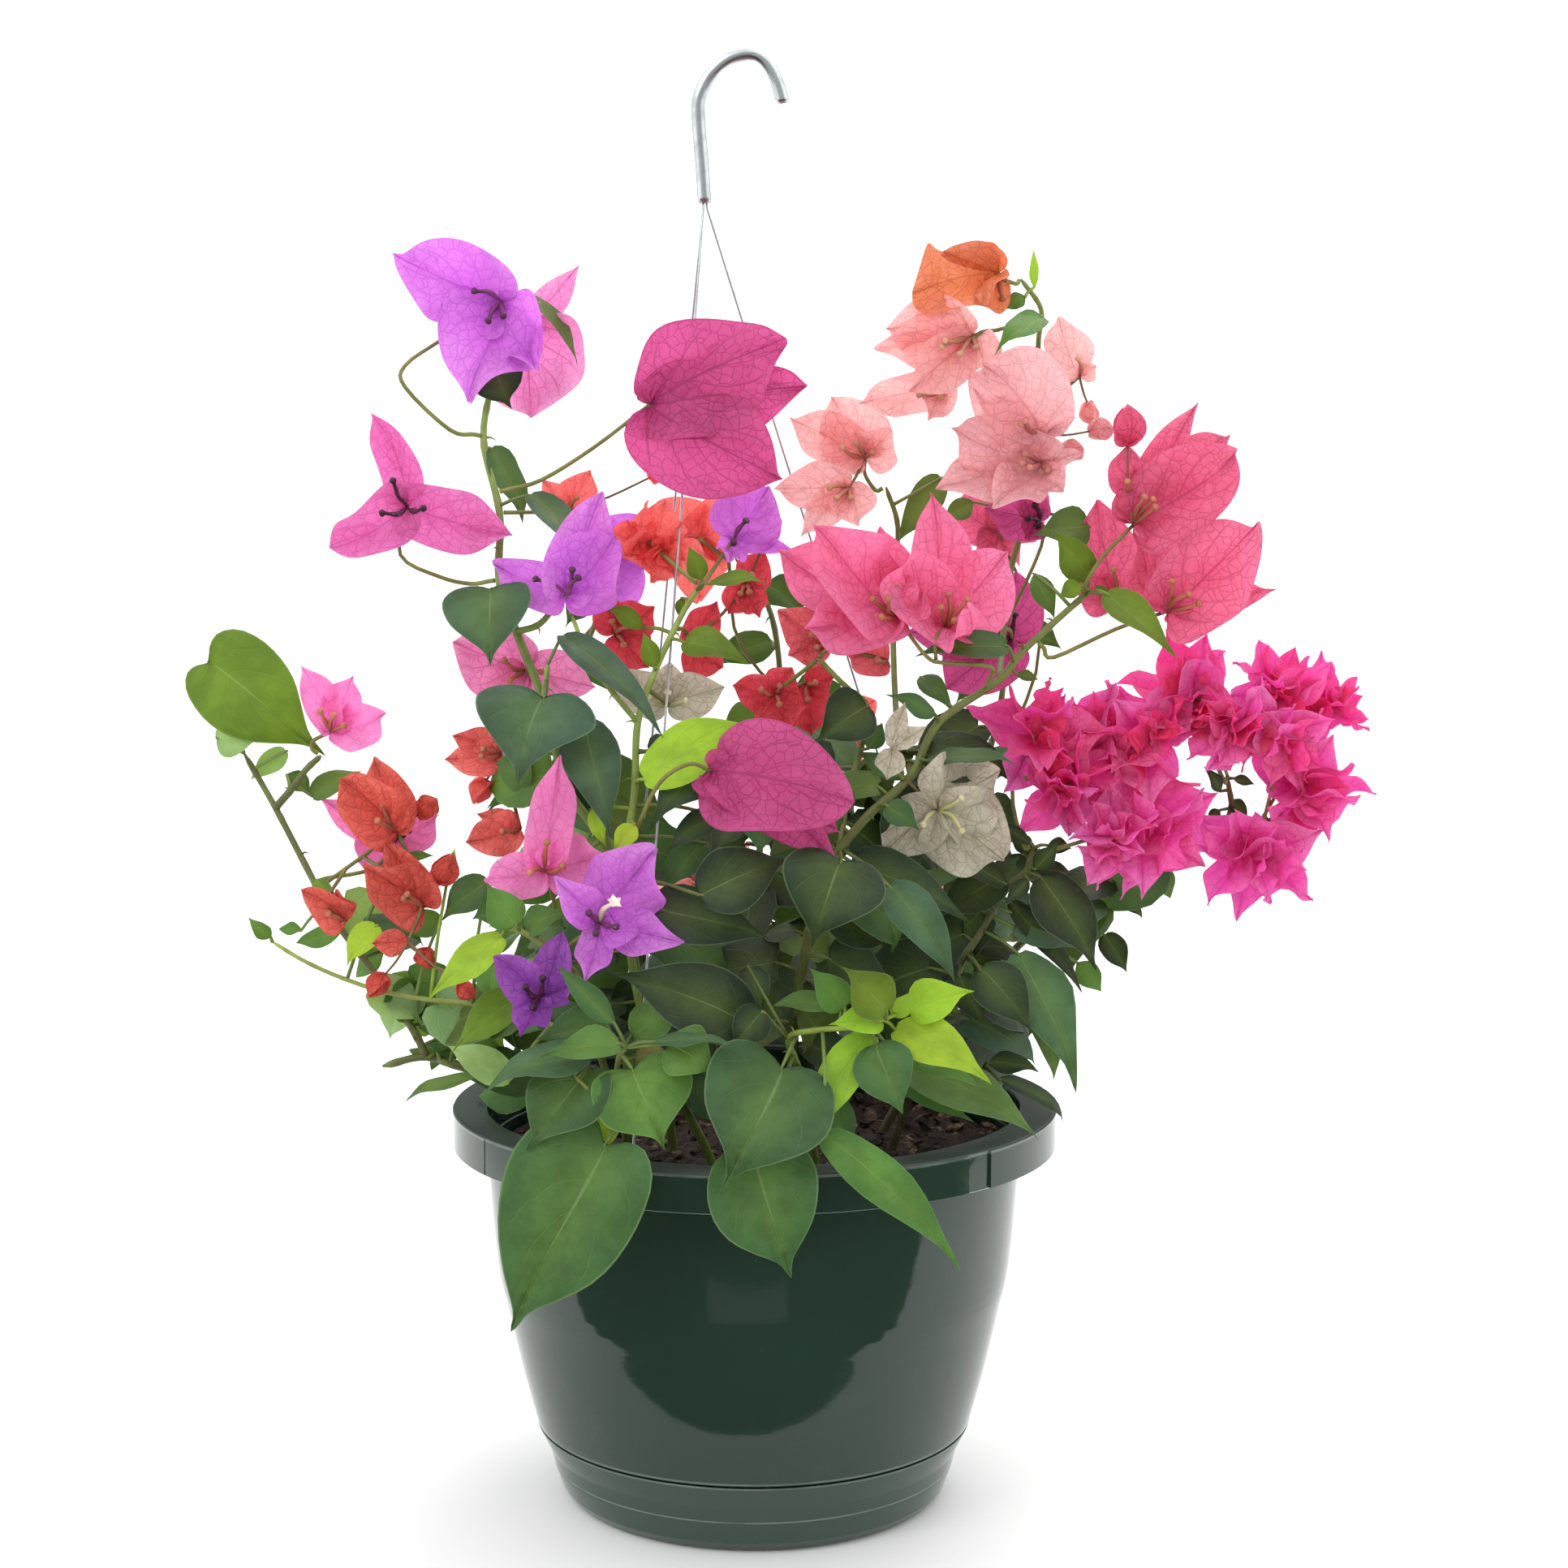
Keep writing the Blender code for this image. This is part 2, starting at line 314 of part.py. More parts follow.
# Sprays: colour, the cane each hangs on, the stalk's line (x, z, y) up to the first bloom, then the
# blooms as a hub (x, z, y), the yaw and pitch that it opens to, and its bracts (x, z, y, width)
SPRAYS = {
    "spray_violet_top": ("violet", "cane_left", [(-125.8, 450.6, -20), (-144, 468, -22), (-144, 477, -20),
                                                 (-128, 488, -10)], [
        ((-104, 503, -18), (-10, 0), [(-146, 521, -34, 33), (-119.5, 467.5, -36, 38), (-93, 478, -40, 20)])]),
    "spray_pink_top": ("pink", "cane_left", [], [
        ((-95, 494, 12), (10, 10), [(-72, 518, 8, 13), (-92, 455.5, 10, 45), (-113, 466, 16, 24)])]),
    "spray_violet_left": ("lilac_pink", "cane_left", [(-118, 387, -26), (-131, 390, -30), (-147, 399, -34)], [
        ((-143.8, 419, -34), (-10, 10), [(-157.5, 458, -36, 17), (-102, 408, -42, 24),
                                         (-177, 401, -44, 24)])]),
    "spray_magenta_top": ("magenta_net", "cane_left", [(-88, 430, -22), (-66, 443.5, -32)], [
        ((-43, 461, -44), (165, -10), [(14.2, 487.6, -54, 44), (22.1, 467.7, -40, 30),
                                       (11.4, 430.5, -38, 42)])]),
    "spray_violet_mid": ("violet", "cane_centre", [], [
        ((-77.8, 382, -54), (0, 10), [(-64.5, 425, -50, 24), (-58, 407, -66, 30), (-111, 397, -42, 20)])]),
    "spray_violet_small": ("violet", "cane_centre", [], [
        ((-8, 406, -34), (0, 0), [(6, 427, -36, 27), (-9.6, 396.5, -42, 15), (17.5, 400.7, -30, 8)])]),
    "spray_red_top": ("red", "cane_left", [], [
        ((-77, 417, -6), (10, 0), [(-66, 437, -8, 19), (-88, 431, -2, 12)])]),
    "spray_red_double": ("red", "cane_centre", [], []),
    "spray_red_mid": ("red_dark", "cane_left", [], [
        ((-58, 366, -30), (0, 0), [(-61, 386, -30, 17), (-41, 378, -34, 18), (-44, 352, -32, 20)])]),
    "spray_red_low": ("red_dark", "cane_centre", [], [
        ((-27, 361, -28), (10, 0), [(-15, 380, -28, 15), (-13, 352, -32, 20)]),
        ((-3, 387, -22), (0, 0), [(5, 400, -22, 15), (-11, 374, -26, 13), (2, 373.5, -30, 13)])]),
    "spray_red_right": ("red_dark", "cane_right", [], [
        ((9, 341, -36), (0, 10), [(16, 352, -38, 15), (15, 325, -44, 20), (-9, 345, -34, 15)]),
        ((22, 345, -30), (0, 0), [(24, 323, -36, 18), (34, 348, -28, 14)])]),
    "spray_cream_left": ("cream", "cane_centre", [], [
        ((-36, 336, -44), (0, 0), [(-60, 350, -46, 18), (-35, 355, -42, 14), (-12, 344, -42, 18)])]),
    "spray_pink_mid": ("pink_net", "cane_left", [], [
        ((-95, 351, -26), (0, 10), [(-125.6, 363, -30, 30), (-67, 344.5, -32, 22), (-115, 335, -26, 18)])]),
    "spray_coral_small": ("coral", "cane_left", [(-112.6, 326, -40)], [
        ((-106, 316, -38), (-20, 0), [(-126.5, 324, -42, 14), (-129.8, 313.6, -38, 15)]),
        ((-98, 284, -36), (-20, 10), [(-121.4, 278, -40, 18), (-117, 290.5, -34, 11)])]),
    "spray_pink_low": ("pink", "cane_low_left", [(-84, 250, -90)], [
        ((-88, 266, -94), (0, 10), [(-82, 314, -98, 19), (-118.5, 262, -106, 22), (-62, 273, -98, 22)])]),
    "spray_violet_star": ("violet", "cane_low_left", [], [
        ((-65, 244, -108), (0, 10), [(-41, 276, -118, 32), (-82, 261, -116, 16), (-71, 223, -126, 14),
                                     (-35, 237, -124, 18)])]),
    "spray_violet_low": ("violet_deep", "cane_low_left", [], [
        ((-90, 212, -112), (-10, 10), [(-110, 231, -114, 17), (-82, 240, -112, 16), (-99, 195, -122, 14),
                                       (-74, 219, -118, 12)])]),
    "spray_pink_far_left": ("pink", "cane_far_left", [], [
        ((-177, 325, -22), (0, 10), [(-188.8, 353, -22, 15), (-168.5, 349, -20, 17),
                                     (-154.5, 333, -26, 19)])]),
    "spray_magenta_left": ("magenta", "cane_far_left", [], [
        ((-150, 280, -14), (0, 10), [(-183, 297.5, -8, 14), (-167, 270, -14, 24), (-133, 290, -16, 20)])]),
    "spray_orange_left": ("orange_red", "cane_far_left", [], [
        ((-150, 283, -32), (-10, 0), [(-173.5, 305, -46, 27), (-161, 315, -26, 20)]),
        ((-139, 251, -40), (-10, 0), [(-168.7, 270, -54, 28), (-157, 278.5, -40, 17), (-141, 268, -32, 12)]),
        ((-146, 236, -52), (-10, 0), [(-161.6, 235, -54, 12)]),
        ((-172, 245, -38), (-20, 0), [(-191, 258, -46, 18), (-177, 258, -34, 12)])]),
    "spray_magenta_droop": ("magenta_net", "cane_centre", [(-50, 282, -84), (-40, 303, -98),
                                                           (-27, 311.5, -100)], [
        ((-18, 308.5, -98), (170, -25), [(42.3, 295.7, -122, 45), (35.2, 271.5, -114, 22),
                                         (37.5, 283, -92, 24)])]),
    "spray_orange_top": ("orange", "cane_right", [], [
        ((101, 514.5, -14), (150, -10), [(65, 506, -36, 34), (67.5, 527, -8, 25), (91, 497, -38, 20)])]),
    "spray_salmon_top": ("salmon", "cane_right", [(112, 494, -26)], [
        ((90, 489, -32), (0, -20), [(54.7, 492.6, -44, 27), (49, 483, -26, 22), (66, 466.5, -48, 22),
                                    (97, 474, -40, 17)]),
        ((79, 468, -20), (0, -10), [(43.5, 461.6, -26, 18), (72, 453, -32, 17)])]),
    "spray_salmon_left": ("salmon", "cane_right", [], [
        ((46.4, 439, -8), (0, -10), [(32.1, 464, -10, 27), (15, 455.5, -16, 22), (57, 450, -18, 20)]),
        ((40, 427, -18), (-10, 0), [(9.2, 426.4, -24, 20), (20.6, 408, -30, 14), (44, 411, -24, 17)])]),
    "spray_salmon_right": ("salmon", "cane_right", [(128.6, 466.6, -8)], [
        ((134.7, 472.6, -10), (10, 0), [(126, 497, -14, 20), (141.7, 477, -10, 10)])]),
    "spray_salmon_mid": ("salmon_pink", "cane_right", [], [
        ((119, 449, -26), (-20, 0), [(94.3, 478, -50, 38), (86, 470, -36, 16), (133.5, 456, -24, 10)]),
        ((119, 437, -22), (-10, 10), [(81.3, 451.4, -46, 25), (76, 426.5, -40, 25), (101, 422, -48, 22),
                                       (130.6, 423, -26, 17), (140.6, 442.6, -22, 10)])]),
    "spray_coral_centre": ("coral_pink", "cane_right", [(99, 352.5, -62), (80, 354, -72), (72, 357, -72)], [
        ((60, 373, -66), (10, 10), [(30.7, 409.5, -88, 34), (9, 400, -62, 30), (51.5, 410, -60, 23),
                                     (20, 368, -80, 24)]),
        ((80, 369, -62), (10, 20), [(77.6, 425, -62, 24), (106.5, 401.5, -72, 32), (62, 399, -86, 26),
                                     (92, 372, -92, 20)])]),
    "spray_brick_centre": ("brick_pink", "cane_right", [], [
        ((30, 362, -42), (0, 0), [(10, 376, -48, 18), (15, 357, -46, 16)]),
        ((56, 355, -50), (0, 0), [(38, 358, -58, 15)])]),
    "spray_magenta_centre": ("magenta_net", "cane_right", [], [
        ((108, 364, 4), (0, 10), [(110, 397.5, 6, 27), (80, 343, 6, 32), (64, 367, 2, 22)]),
        ((119, 413, -14), (0, 0), [(96.5, 418, -20, 23), (110, 402.5, -24, 16), (112, 431, -12, 13)])]),
    "spray_pink_right": ("hot_pink", "cane_right", [(148, 398, -36)], [
        ((158, 411.5, -34), (-10, 10), [(202.5, 442, -56, 36), (184, 464, -30, 16), (200, 455, -22, 25)]),
        ((155.5, 424, -30), (-10, 0), [(155, 444.5, -32, 15)])]),
    "spray_pink_right_low": ("hot_pink", "cane_right", [(125.5, 356.3, -44), (151, 368, -40)], [
        ((172.5, 375.5, -36), (10, 10), [(208, 408.5, -58, 36), (217.5, 384.5, -26, 17),
                                         (167, 413, -24, 24)]),
        ((150.7, 381, -22), (0, 10), [(142.5, 422, -18, 27), (134.5, 384, -18, 18)])]),
    "spray_cream_right": ("cream", "cane_right", [], [
        ((58, 318, -80), (0, 10), [(63.5, 338, -82, 9), (75, 329, -84, 9), (56, 305, -84, 12)]),
        ((77, 292, -66), (0, 0), [(104, 309, -66, 36), (106, 270, -60, 34), (50, 270, -70, 26)])]),
    "spray_double_low": ("magenta_double", "cane_low_right", [], []),
    "spray_double_mid": ("magenta_double", "cane_low_right", [], []),
    "spray_double_high": ("magenta_double", "cane_far_right", [], []),
    "spray_double_far": ("magenta_double", "cane_far_right", [], []),
    "spray_back_pink": ("hot_pink", "cane_back_right", [], [
        ((146, 300, 88), (120, 10), [(170, 316, 96, 30), (164, 278, 96, 28), (138, 292, 120, 28)]),
        ((106, 408, 46), (150, 20), [(124, 426, 54, 26), (90, 424, 60, 26), (110, 386, 68, 26)])]),
    "spray_back_violet": ("violet", "cane_back_left", [], [
        ((-64, 396, 66), (190, 10), [(-84, 410, 78, 28), (-46, 412, 78, 26), (-64, 372, 84, 28)]),
        ((-108, 326, 96), (220, 10), [(-124, 344, 100, 24), (-116, 300, 108, 24), (-92, 334, 122, 24)])]),
    "spray_back_red": ("red", "cane_back", [], [
        ((-24, 404, 62), (180, 20), [(-46, 418, 72, 26), (-4, 420, 74, 26), (-24, 380, 84, 28)]),
        ((36, 312, 128), (170, 10), [(18, 332, 140, 24), (56, 328, 134, 24), (38, 288, 146, 26)])]),
    "spray_back_salmon": ("salmon", "cane_back_low", [], [
        ((-28, 240, 150), (185, 20), [(-52, 256, 156, 26), (-4, 258, 158, 26), (-30, 216, 164, 28)]),
        ((84, 240, 128), (150, 20), [(64, 258, 140, 24), (108, 256, 130, 26), (90, 216, 140, 26)])]),
}

# Double heads, whose flowers have turned to layers of bracts: centre (x, z, y), radius, yaw, pitch
HEADS = {
    "spray_red_double": [(-43, 404, -36, 19, -10, 10)],
    "spray_double_low": [(118, 324, -44, 24, 0, 30), (133, 303, -52, 21, 0, 10), (146, 322, -30, 20, 10, 40)],
    "spray_double_mid": [(163, 286, -50, 28, 0, 10), (150, 278, -60, 15, -20, 0)],
    "spray_double_high": [(183, 340, -34, 25, 0, 30), (166, 320, -42, 24, -10, 10),
                          (202, 327, -46, 21, 5, 20), (219, 343, -24, 21, 0, 40)],
    "spray_double_far": [(213, 272, -36, 25, 10, 0), (231, 302, -30, 23, 10, 10), (222, 322, -44, 17, 10, 10),
                         (240, 335, -14, 20, 20, 30)],
}
HEAD_BRACTS = 6
GOLDEN_ANGLE = math.radians(137.5)
# From the innermost bract of a head to the outermost: the lean off the axis in degrees and its growth,
# the length as a share of the head's radius and its growth; then the width as a share of the length
HEAD_LEAN = (22.0, 78.0)
HEAD_REACH = (0.90, 0.35)
HEAD_BREADTH = 0.74
HEAD_ROOT = 1.5
HEAD_BENDS = [(0, tilt, size) for size in (1.0, 0.85, 0.7, 0.55) for tilt in (0, 10, -10, 20, -20)]

COLOURS = {
    "pot": (0.020, 0.036, 0.028), "soil": (0.030, 0.018, 0.012), "steel": (0.62, 0.66, 0.66),
    "leaf": (0.090, 0.190, 0.055), "violet": (0.60, 0.16, 0.84), "violet_deep": (0.42, 0.09, 0.60),
    "lilac_pink": (0.86, 0.32, 0.68), "pink": (0.92, 0.24, 0.46), "pink_net": (0.86, 0.20, 0.44),
    "magenta_net": (0.74, 0.08, 0.32), "magenta": (0.80, 0.10, 0.42), "magenta_double": (0.80, 0.05, 0.30),
    "hot_pink": (0.84, 0.10, 0.24), "coral_pink": (0.86, 0.14, 0.24), "coral": (0.80, 0.13, 0.14),
    "brick_pink": (0.66, 0.14, 0.16), "red": (0.80, 0.07, 0.06), "red_dark": (0.58, 0.03, 0.05),
    "orange_red": (0.80, 0.12, 0.07), "orange": (0.84, 0.24, 0.08), "salmon": (0.90, 0.34, 0.26),
    "salmon_pink": (0.90, 0.36, 0.34), "cream": (0.76, 0.70, 0.56),
}


def seen(x, z, y):
    """The point at depth y that the front view shows at (x, z) of the plane through the pot's axis."""
    reach = (y - EYE.y) / -EYE.y
    return EYE + (Vector((x, 0.0, z)) - EYE) * reach


def spot(node, across_and_up, depth):
    """A table's point for a node: as the front view shows it, or as it is, for what stands behind."""
    x, z = across_and_up
    return Vector((x, depth, z)) if "_back" in node else seen(x, z, depth)


def shape_for(width, shapes):
    """The outline and the rib of the first shape that the width reaches."""
    for least, outline, rib in shapes:
        if width >= least:
            return outline, rib
    raise ValueError(width)


def facing(yaw, pitch):
    """A unit vector: yaw 0 looks to the front, 90 to +X, and pitch 90 looks up."""
    yaw, pitch = math.radians(yaw), math.radians(pitch)
    return Vector((math.sin(yaw) * math.cos(pitch), -math.cos(yaw) * math.cos(pitch), math.sin(pitch)))


def nearest_on(line, point):
    """The nearest point of a line of points, the direction there, and how far along the line it is.

    The last is counted in stretches between points, as a share of them all.
    """
    best = None
    for index, (a, b) in enumerate(zip(line, line[1:])):
        span = b - a
        share = max(0.0, min(1.0, (point - a).dot(span) / span.length_squared))
        near = a + span * share
        if best is None or (near - point).length < best[0]:
            best = ((near - point).length, near, span.normalized(), (index + share) / (len(line) - 1))
    return best[1:]


def is_gentle(line):
    """Whether a line bends so little at each point that a tube along it can't fold into itself."""
    return all((b - a).normalized().dot((c - b).normalized()) > GENTLE_TURN
               for a, b, c in zip(line, line[1:], line[2:]))


def rings_along(line, radii, sides):
    """Rings of points round a line, turned as little as possible from one to the next."""
    rings = []
    side = None
    for index, point in enumerate(line):
        ahead = (line[min(index + 1, len(line) - 1)] - line[max(index - 1, 0)]).normalized()
        if side is None:
            side = ahead.orthogonal().normalized()
        side = (side - ahead * side.dot(ahead)).normalized()
        other = ahead.cross(side)
        radius = radii[0] + (radii[1] - radii[0]) * index / (len(line) - 1)
        turn = 2 * math.pi / sides
        rings.append([point + (side * math.cos(k * turn) + other * math.sin(k * turn)) * radius
                      for k in range(sides)])
    return rings


def tube(line, radii, sides):
    """A closed tube along a line: its corners and faces."""
    rings = rings_along(line, radii, sides)
    corners = [corner for ring in rings for corner in ring]
    faces = [tuple(reversed(range(sides))), tuple(range(len(corners) - sides, len(corners)))]
    for ring in range(len(rings) - 1):
        for k in range(sides):
            a, b = ring * sides + k, ring * sides + (k + 1) % sides
            faces.append((a, b, b + sides, a + sides))
    return corners, faces


def strip(outer, inner, offset_tip):
    """Triangles between a blade's edge and its rib, taken in the order of their share of length."""
    faces = []
    i = j = 0
    while i < len(outer) - 1:
        inner_next = inner[j + 1][0] if j + 1 < len(inner) else 2.0
        if outer[i + 1][0] <= inner_next or i == 0:
            faces.append((outer[i][1], outer[i + 1][1], inner[j][1]))
            i += 1
        else:
            faces.append((outer[i][1], inner[j + 1][1], inner[j][1]))
            j += 1
    while j < len(inner) - 1:
        faces.append((offset_tip, inner[j + 1][1], inner[j][1]))
        j += 1
    return faces


def blade(stations, tip, width, up, outline, rib, bow, cup, wave=0.0, margin=0.0):
    """A leaf or bract as one closed thin solid: a three-sided stalk through the stations, then a blade.

    Its two faces meet in a sharp edge and stand BLADE_HALF_THICKNESS off the middle at the rib.
    bow lifts the middle of the rib, cup lifts both sides, and margin swells it all round.
    """
    base = stations[-1]
    length = (tip - base).length + margin
    ahead = (tip - base).normalized()
    normal = (up - ahead * up.dot(ahead)).normalized()
    side = ahead.cross(normal)
    thick = BLADE_HALF_THICKNESS + margin
    breadth = width + 2 * margin

    def at(share, across, lift=0.0):
        rise = bow * length * 4 * share * (1 - share) + cup * abs(across) * breadth + lift
        return base + ahead * (share * length) + side * (across * breadth) + normal * rise

    corners = []

    def put(point):
        corners.append(point)
        return len(corners) - 1

    radius = STALK_RADIUS + margin
    rings = []
    across, over, heading = side, normal, ahead
    for index in range(len(stations) - 1, -1, -1):
        if index < len(stations) - 1:
            turn = heading.rotation_difference(stations[index + 1] - stations[index])
            across, over, heading = turn @ across, turn @ over, turn @ heading
        low = stations[index] - over * (STALK_LOW * radius)
        aside = across * (STALK_SIDE * radius)
        rings.insert(0, (put(low - aside), put(low + aside), put(stations[index] + over * radius)))
    faces = [rings[0]]
    for near, far in zip(rings, rings[1:]):
        for a, b in ((0, 1), (1, 2), (2, 0)):
            faces.append((near[a], far[a], far[b], near[b]))
    left_base, right_base, top_base = rings[-1]
    end = put(at(1.0, 0.0))
    tops = [(share, put(at(share, 0.0, thick))) for share in rib]
    bottoms = [(share, put(at(share, 0.0, -thick))) for share in rib]
    faces.append((top_base, right_base, tops[0][1]))
    faces.append((top_base, tops[0][1], left_base))
    faces.append((right_base, left_base, bottoms[0][1]))
    for sign, start in ((-1, left_base), (1, right_base)):
        edge = [(-1.0, start)]
        for index, (share, across) in enumerate(outline):
            lift = wave * breadth * sign * (1 if index % 2 else -1)
            edge.append((share, put(at(share, across * sign, lift))))
        edge.append((1.0, end))
        faces += strip(edge, tops, end)
        faces += strip(edge, bottoms, end)
    return corners, faces


def octahedron(centre, radius):
    """A small solid that the bases of a bloom's bracts meet in."""
    corners = [centre + Vector(axis) * radius for axis in
               ((1, 0, 0), (-1, 0, 0), (0, 1, 0), (0, -1, 0), (0, 0, 1), (0, 0, -1))]
    faces = [(a, b, c) for a in (0, 1) for b in (2, 3) for c in (4, 5)]
    return corners, faces


def tree_of(solid):
    """A solid's faces as a tree, for finding where two solids cross."""
    return BVHTree.FromPolygons([tuple(corner) for corner in solid[0]], solid[1])


def crosses_itself(solid):
    """Whether faces of a solid that share no corner cross each other."""
    tree = tree_of(solid)
    return any(not set(solid[1][a]) & set(solid[1][b]) for a, b in tree.overlap(tree) if a < b)


class Room:
    """The solids placed so far, each with its node, so that what comes next stays clear of them."""

    def __init__(self):
        self.placed = []

    def take(self, node, solid, kind="stem"):
        low = Vector([min(corner[axis] for corner in solid[0]) for axis in range(3)])
        high = Vector([max(corner[axis] for corner in solid[0]) for axis in range(3)])
        self.placed.append((node, kind, low, high, tree_of(solid)))

    def is_clear(self, node, solid, skip=(), own_kind=None):
        """Whether a solid crosses nothing of other nodes, nor what its own has of the kind named."""
        low = [min(corner[axis] for corner in solid[0]) for axis in range(3)]
        high = [max(corner[axis] for corner in solid[0]) for axis in range(3)]
        tree = None
        for owner, kind, other_low, other_high, other_tree in self.placed:
            if owner in skip or (owner == node and kind != own_kind):
                continue
            if any(low[axis] > other_high[axis] or high[axis] < other_low[axis] for axis in range(3)):
                continue
            tree = tree or tree_of(solid)
            if tree.overlap(other_tree):
                return False
        return True


# How far a leaf's base and tip, or a bract's tip, are moved in depth to bend it clear of its
# neighbours, along the line of sight, in the order that they are tried, and its size then
LEAF_BENDS = [(base, tip, size) for size in (1.0, 0.8) for base, tip in (
    (0, 0), (0, -6), (0, 6), (-5, -5), (5, 5), (-5, -12), (5, 12), (-10, -10), (10, 10), (0, -14),
    (0, 14), (-10, -20), (10, 20), (-18, -18), (18, 18), (-18, -28), (18, 28))]
BRACT_BENDS = [(0, tip, size) for size in (1.0, 0.85, 0.7) for tip in (
    0, -6, 6, -12, 12, -18, 18, -25, 25, -33, 33, 42, -42)]
STALK_SLIDES = (0, 6, -6, 12, -12, 20, -20)
STALK_BENDS = [(sway, push, lift) for lift in (0, 0.12, -0.12, 0.25, -0.25)
               for push in (0, -0.15, 0.15, -0.3, 0.3) for sway in (0, 0.15, -0.15, 0.3, -0.3)]
LIGHTEN_RATIOS = (0.5, 0.55, 0.6, 0.65, 0.7, 0.75, 0.8, 0.85, 0.9, 0.95)
LIGHTEN_LIMIT = 0.04
TOUCH = 0.002
NUDGE = 0.06
NUDGE_PHASES = (1.7, 1.3, 0.7)
FUSE_ATTEMPTS = 20


def place(room, node, bends, make, kind="bract"):
    """Build a blade in the first bend that is clear of every other node, and keep its solids.

    A leaf takes, where there is one, a bend that is clear of its own cane's leaves as well.
    """
    chosen = None
    for bend in bends:
        swollen = make(bend, CLEARANCE)
        if all(room.is_clear(node, solid) for solid in swollen):
            chosen = chosen or bend
            if kind != "leaf" or room.is_clear(node, swollen[-1], (), "leaf"):
                chosen = bend
                break
    if chosen is None:
        print(f"{node}: no room for a {kind}")
        return []
    solids = make(chosen, 0.0)
    for solid in solids:
        room.take(node, solid, kind)
    return solids


def leaf(room, node, line, row):
    """One leaf of a cane, on a stalk from the nearest point of the cane.

    A leaf that folds back over its own stalk is two solids, stalk and blade, which the union joins.
    """
    width, yaw, pitch = row[6:]
    outline, rib = shape_for(width, LEAF_SHAPES)

    def make(bend, margin):
        base_shift, tip_shift, size = bend
        base = spot(node, row[:2], row[2] + base_shift)
        tip = base + (spot(node, row[3:5], row[5] + tip_shift) - base) * size
        root = nearest_on(line, base)[0]
        root += (root - base).normalized() * ROOT_SINK
        up = facing(yaw, pitch)
        stations = [root, base]
        if (base - root).length > LONG_STALK:
            stations.insert(1, root.lerp(base, 0.5) + up * (LONG_STALK_RISE * (base - root).length))
        form = (tip, width * size, up, outline, rib, *LEAF_FORM, margin)
        if is_gentle(stations + [tip]):
            return [blade(stations, *form)]
        return [tube(stations, (STALK_RADIUS + margin,) * 2, 3), blade([base], *form)]

    return place(room, node, LEAF_BENDS, make, "leaf")


def bract(room, node, hub, axis, row):
    """One bract of a bloom, from its hub to its tip, cupped towards the way the bloom opens."""
    width = row[3]
    outline, rib = shape_for(width, BRACT_SHAPES)

    def make(bend, margin):
        _, tip_shift, size = bend
        tip = hub + (spot(node, row[:2], row[2] + tip_shift) - hub) * size
        return [blade([hub], tip, width * size, axis, outline, rib, *BRACT_FORM, margin)]

    return place(room, node, BRACT_BENDS, make)


def head_bract(room, node, centre, radius, axis, index):
    """One bract of a double head: the inner ones stand up, the outer ones spread and droop."""
    share = (index + 0.5) / HEAD_BRACTS
    lean = math.radians(HEAD_LEAN[0] + HEAD_LEAN[1] * share)
    side = axis.orthogonal().normalized()
    other = axis.cross(side)
    turn = index * GOLDEN_ANGLE
    outward = side * math.cos(turn) + other * math.sin(turn)

    def make(bend, margin):
        angle = lean + math.radians(bend[1])
        ahead = axis * math.cos(angle) + outward * math.sin(angle)
        length = radius * (HEAD_REACH[0] + HEAD_REACH[1] * share) * bend[2]
        up = axis * math.sin(angle) - outward * math.cos(angle)
        return [blade([centre + ahead * HEAD_ROOT], centre + ahead * length, length * HEAD_BREADTH, up,
                      PETAL, SHORT_RIB, *HEAD_FORM, margin)]

    return place(room, node, HEAD_BENDS, make)


def stalk(room, node, cane_line, cane_radii, cane, through, hub):
    """A spray's stalk: it starts a hair's breadth from its cane and bends clear of the rest."""
    first = through[0] if through else hub
    nearest, heading, _ = nearest_on(cane_line, first)
    for slide in STALK_SLIDES:
        origin, along, share = nearest_on(cane_line, nearest + heading * slide)
        cane_radius = cane_radii[0] + (cane_radii[1] - cane_radii[0]) * share
        outward = first - origin
        outward = (outward - along * outward.dot(along)).normalized()
        start = origin + outward * (cane_radius + STALK_GAP)
        lead = start + outward * STALK_LEAD
        span = (hub - lead).length
        for sway, push, lift in STALK_BENDS:
            bend = Vector((sway, push, lift)) * span
            if through:
                points = [start, lead, *[point + bend * STALK_SWAY_AT_POINTS for point in through], hub]
            else:
                points = [start, lead, (lead + hub) / 2 + bend, hub]
            swollen = tube(points, (STALK_RADII[0] + STALK_MARGIN,) * 2, 3)
            if not is_gentle(points) or not room.is_clear(node, swollen, (cane,)):
                continue
            solid = tube(points, STALK_RADII, 3)
            if room.is_clear(node, solid):
                room.take(node, solid)
                return points, solid
    print(f"{node}: no room for its stalk")
    return None, None


def twig(room, node, line, hub):
    """A side stalk of a spray, from the nearest point of its main stalk to another hub."""
    nearest, heading, _ = nearest_on(line, hub)
    for slide in STALK_SLIDES:
        origin = nearest_on(line, nearest + heading * slide)[0]
        span = (hub - origin).length
        for sway, push, lift in STALK_BENDS:
            points = [origin, (origin + hub) / 2 + Vector((sway, push, lift)) * span, hub]
            swollen = tube(points, (TWIG_RADII[0] + STALK_MARGIN,) * 2, 3)
            if is_gentle(points) and room.is_clear(node, swollen):
                solid = tube(points, TWIG_RADII, 3)
                room.take(node, solid)
                return solid
    print(f"{node}: no room for a twig")
    return None


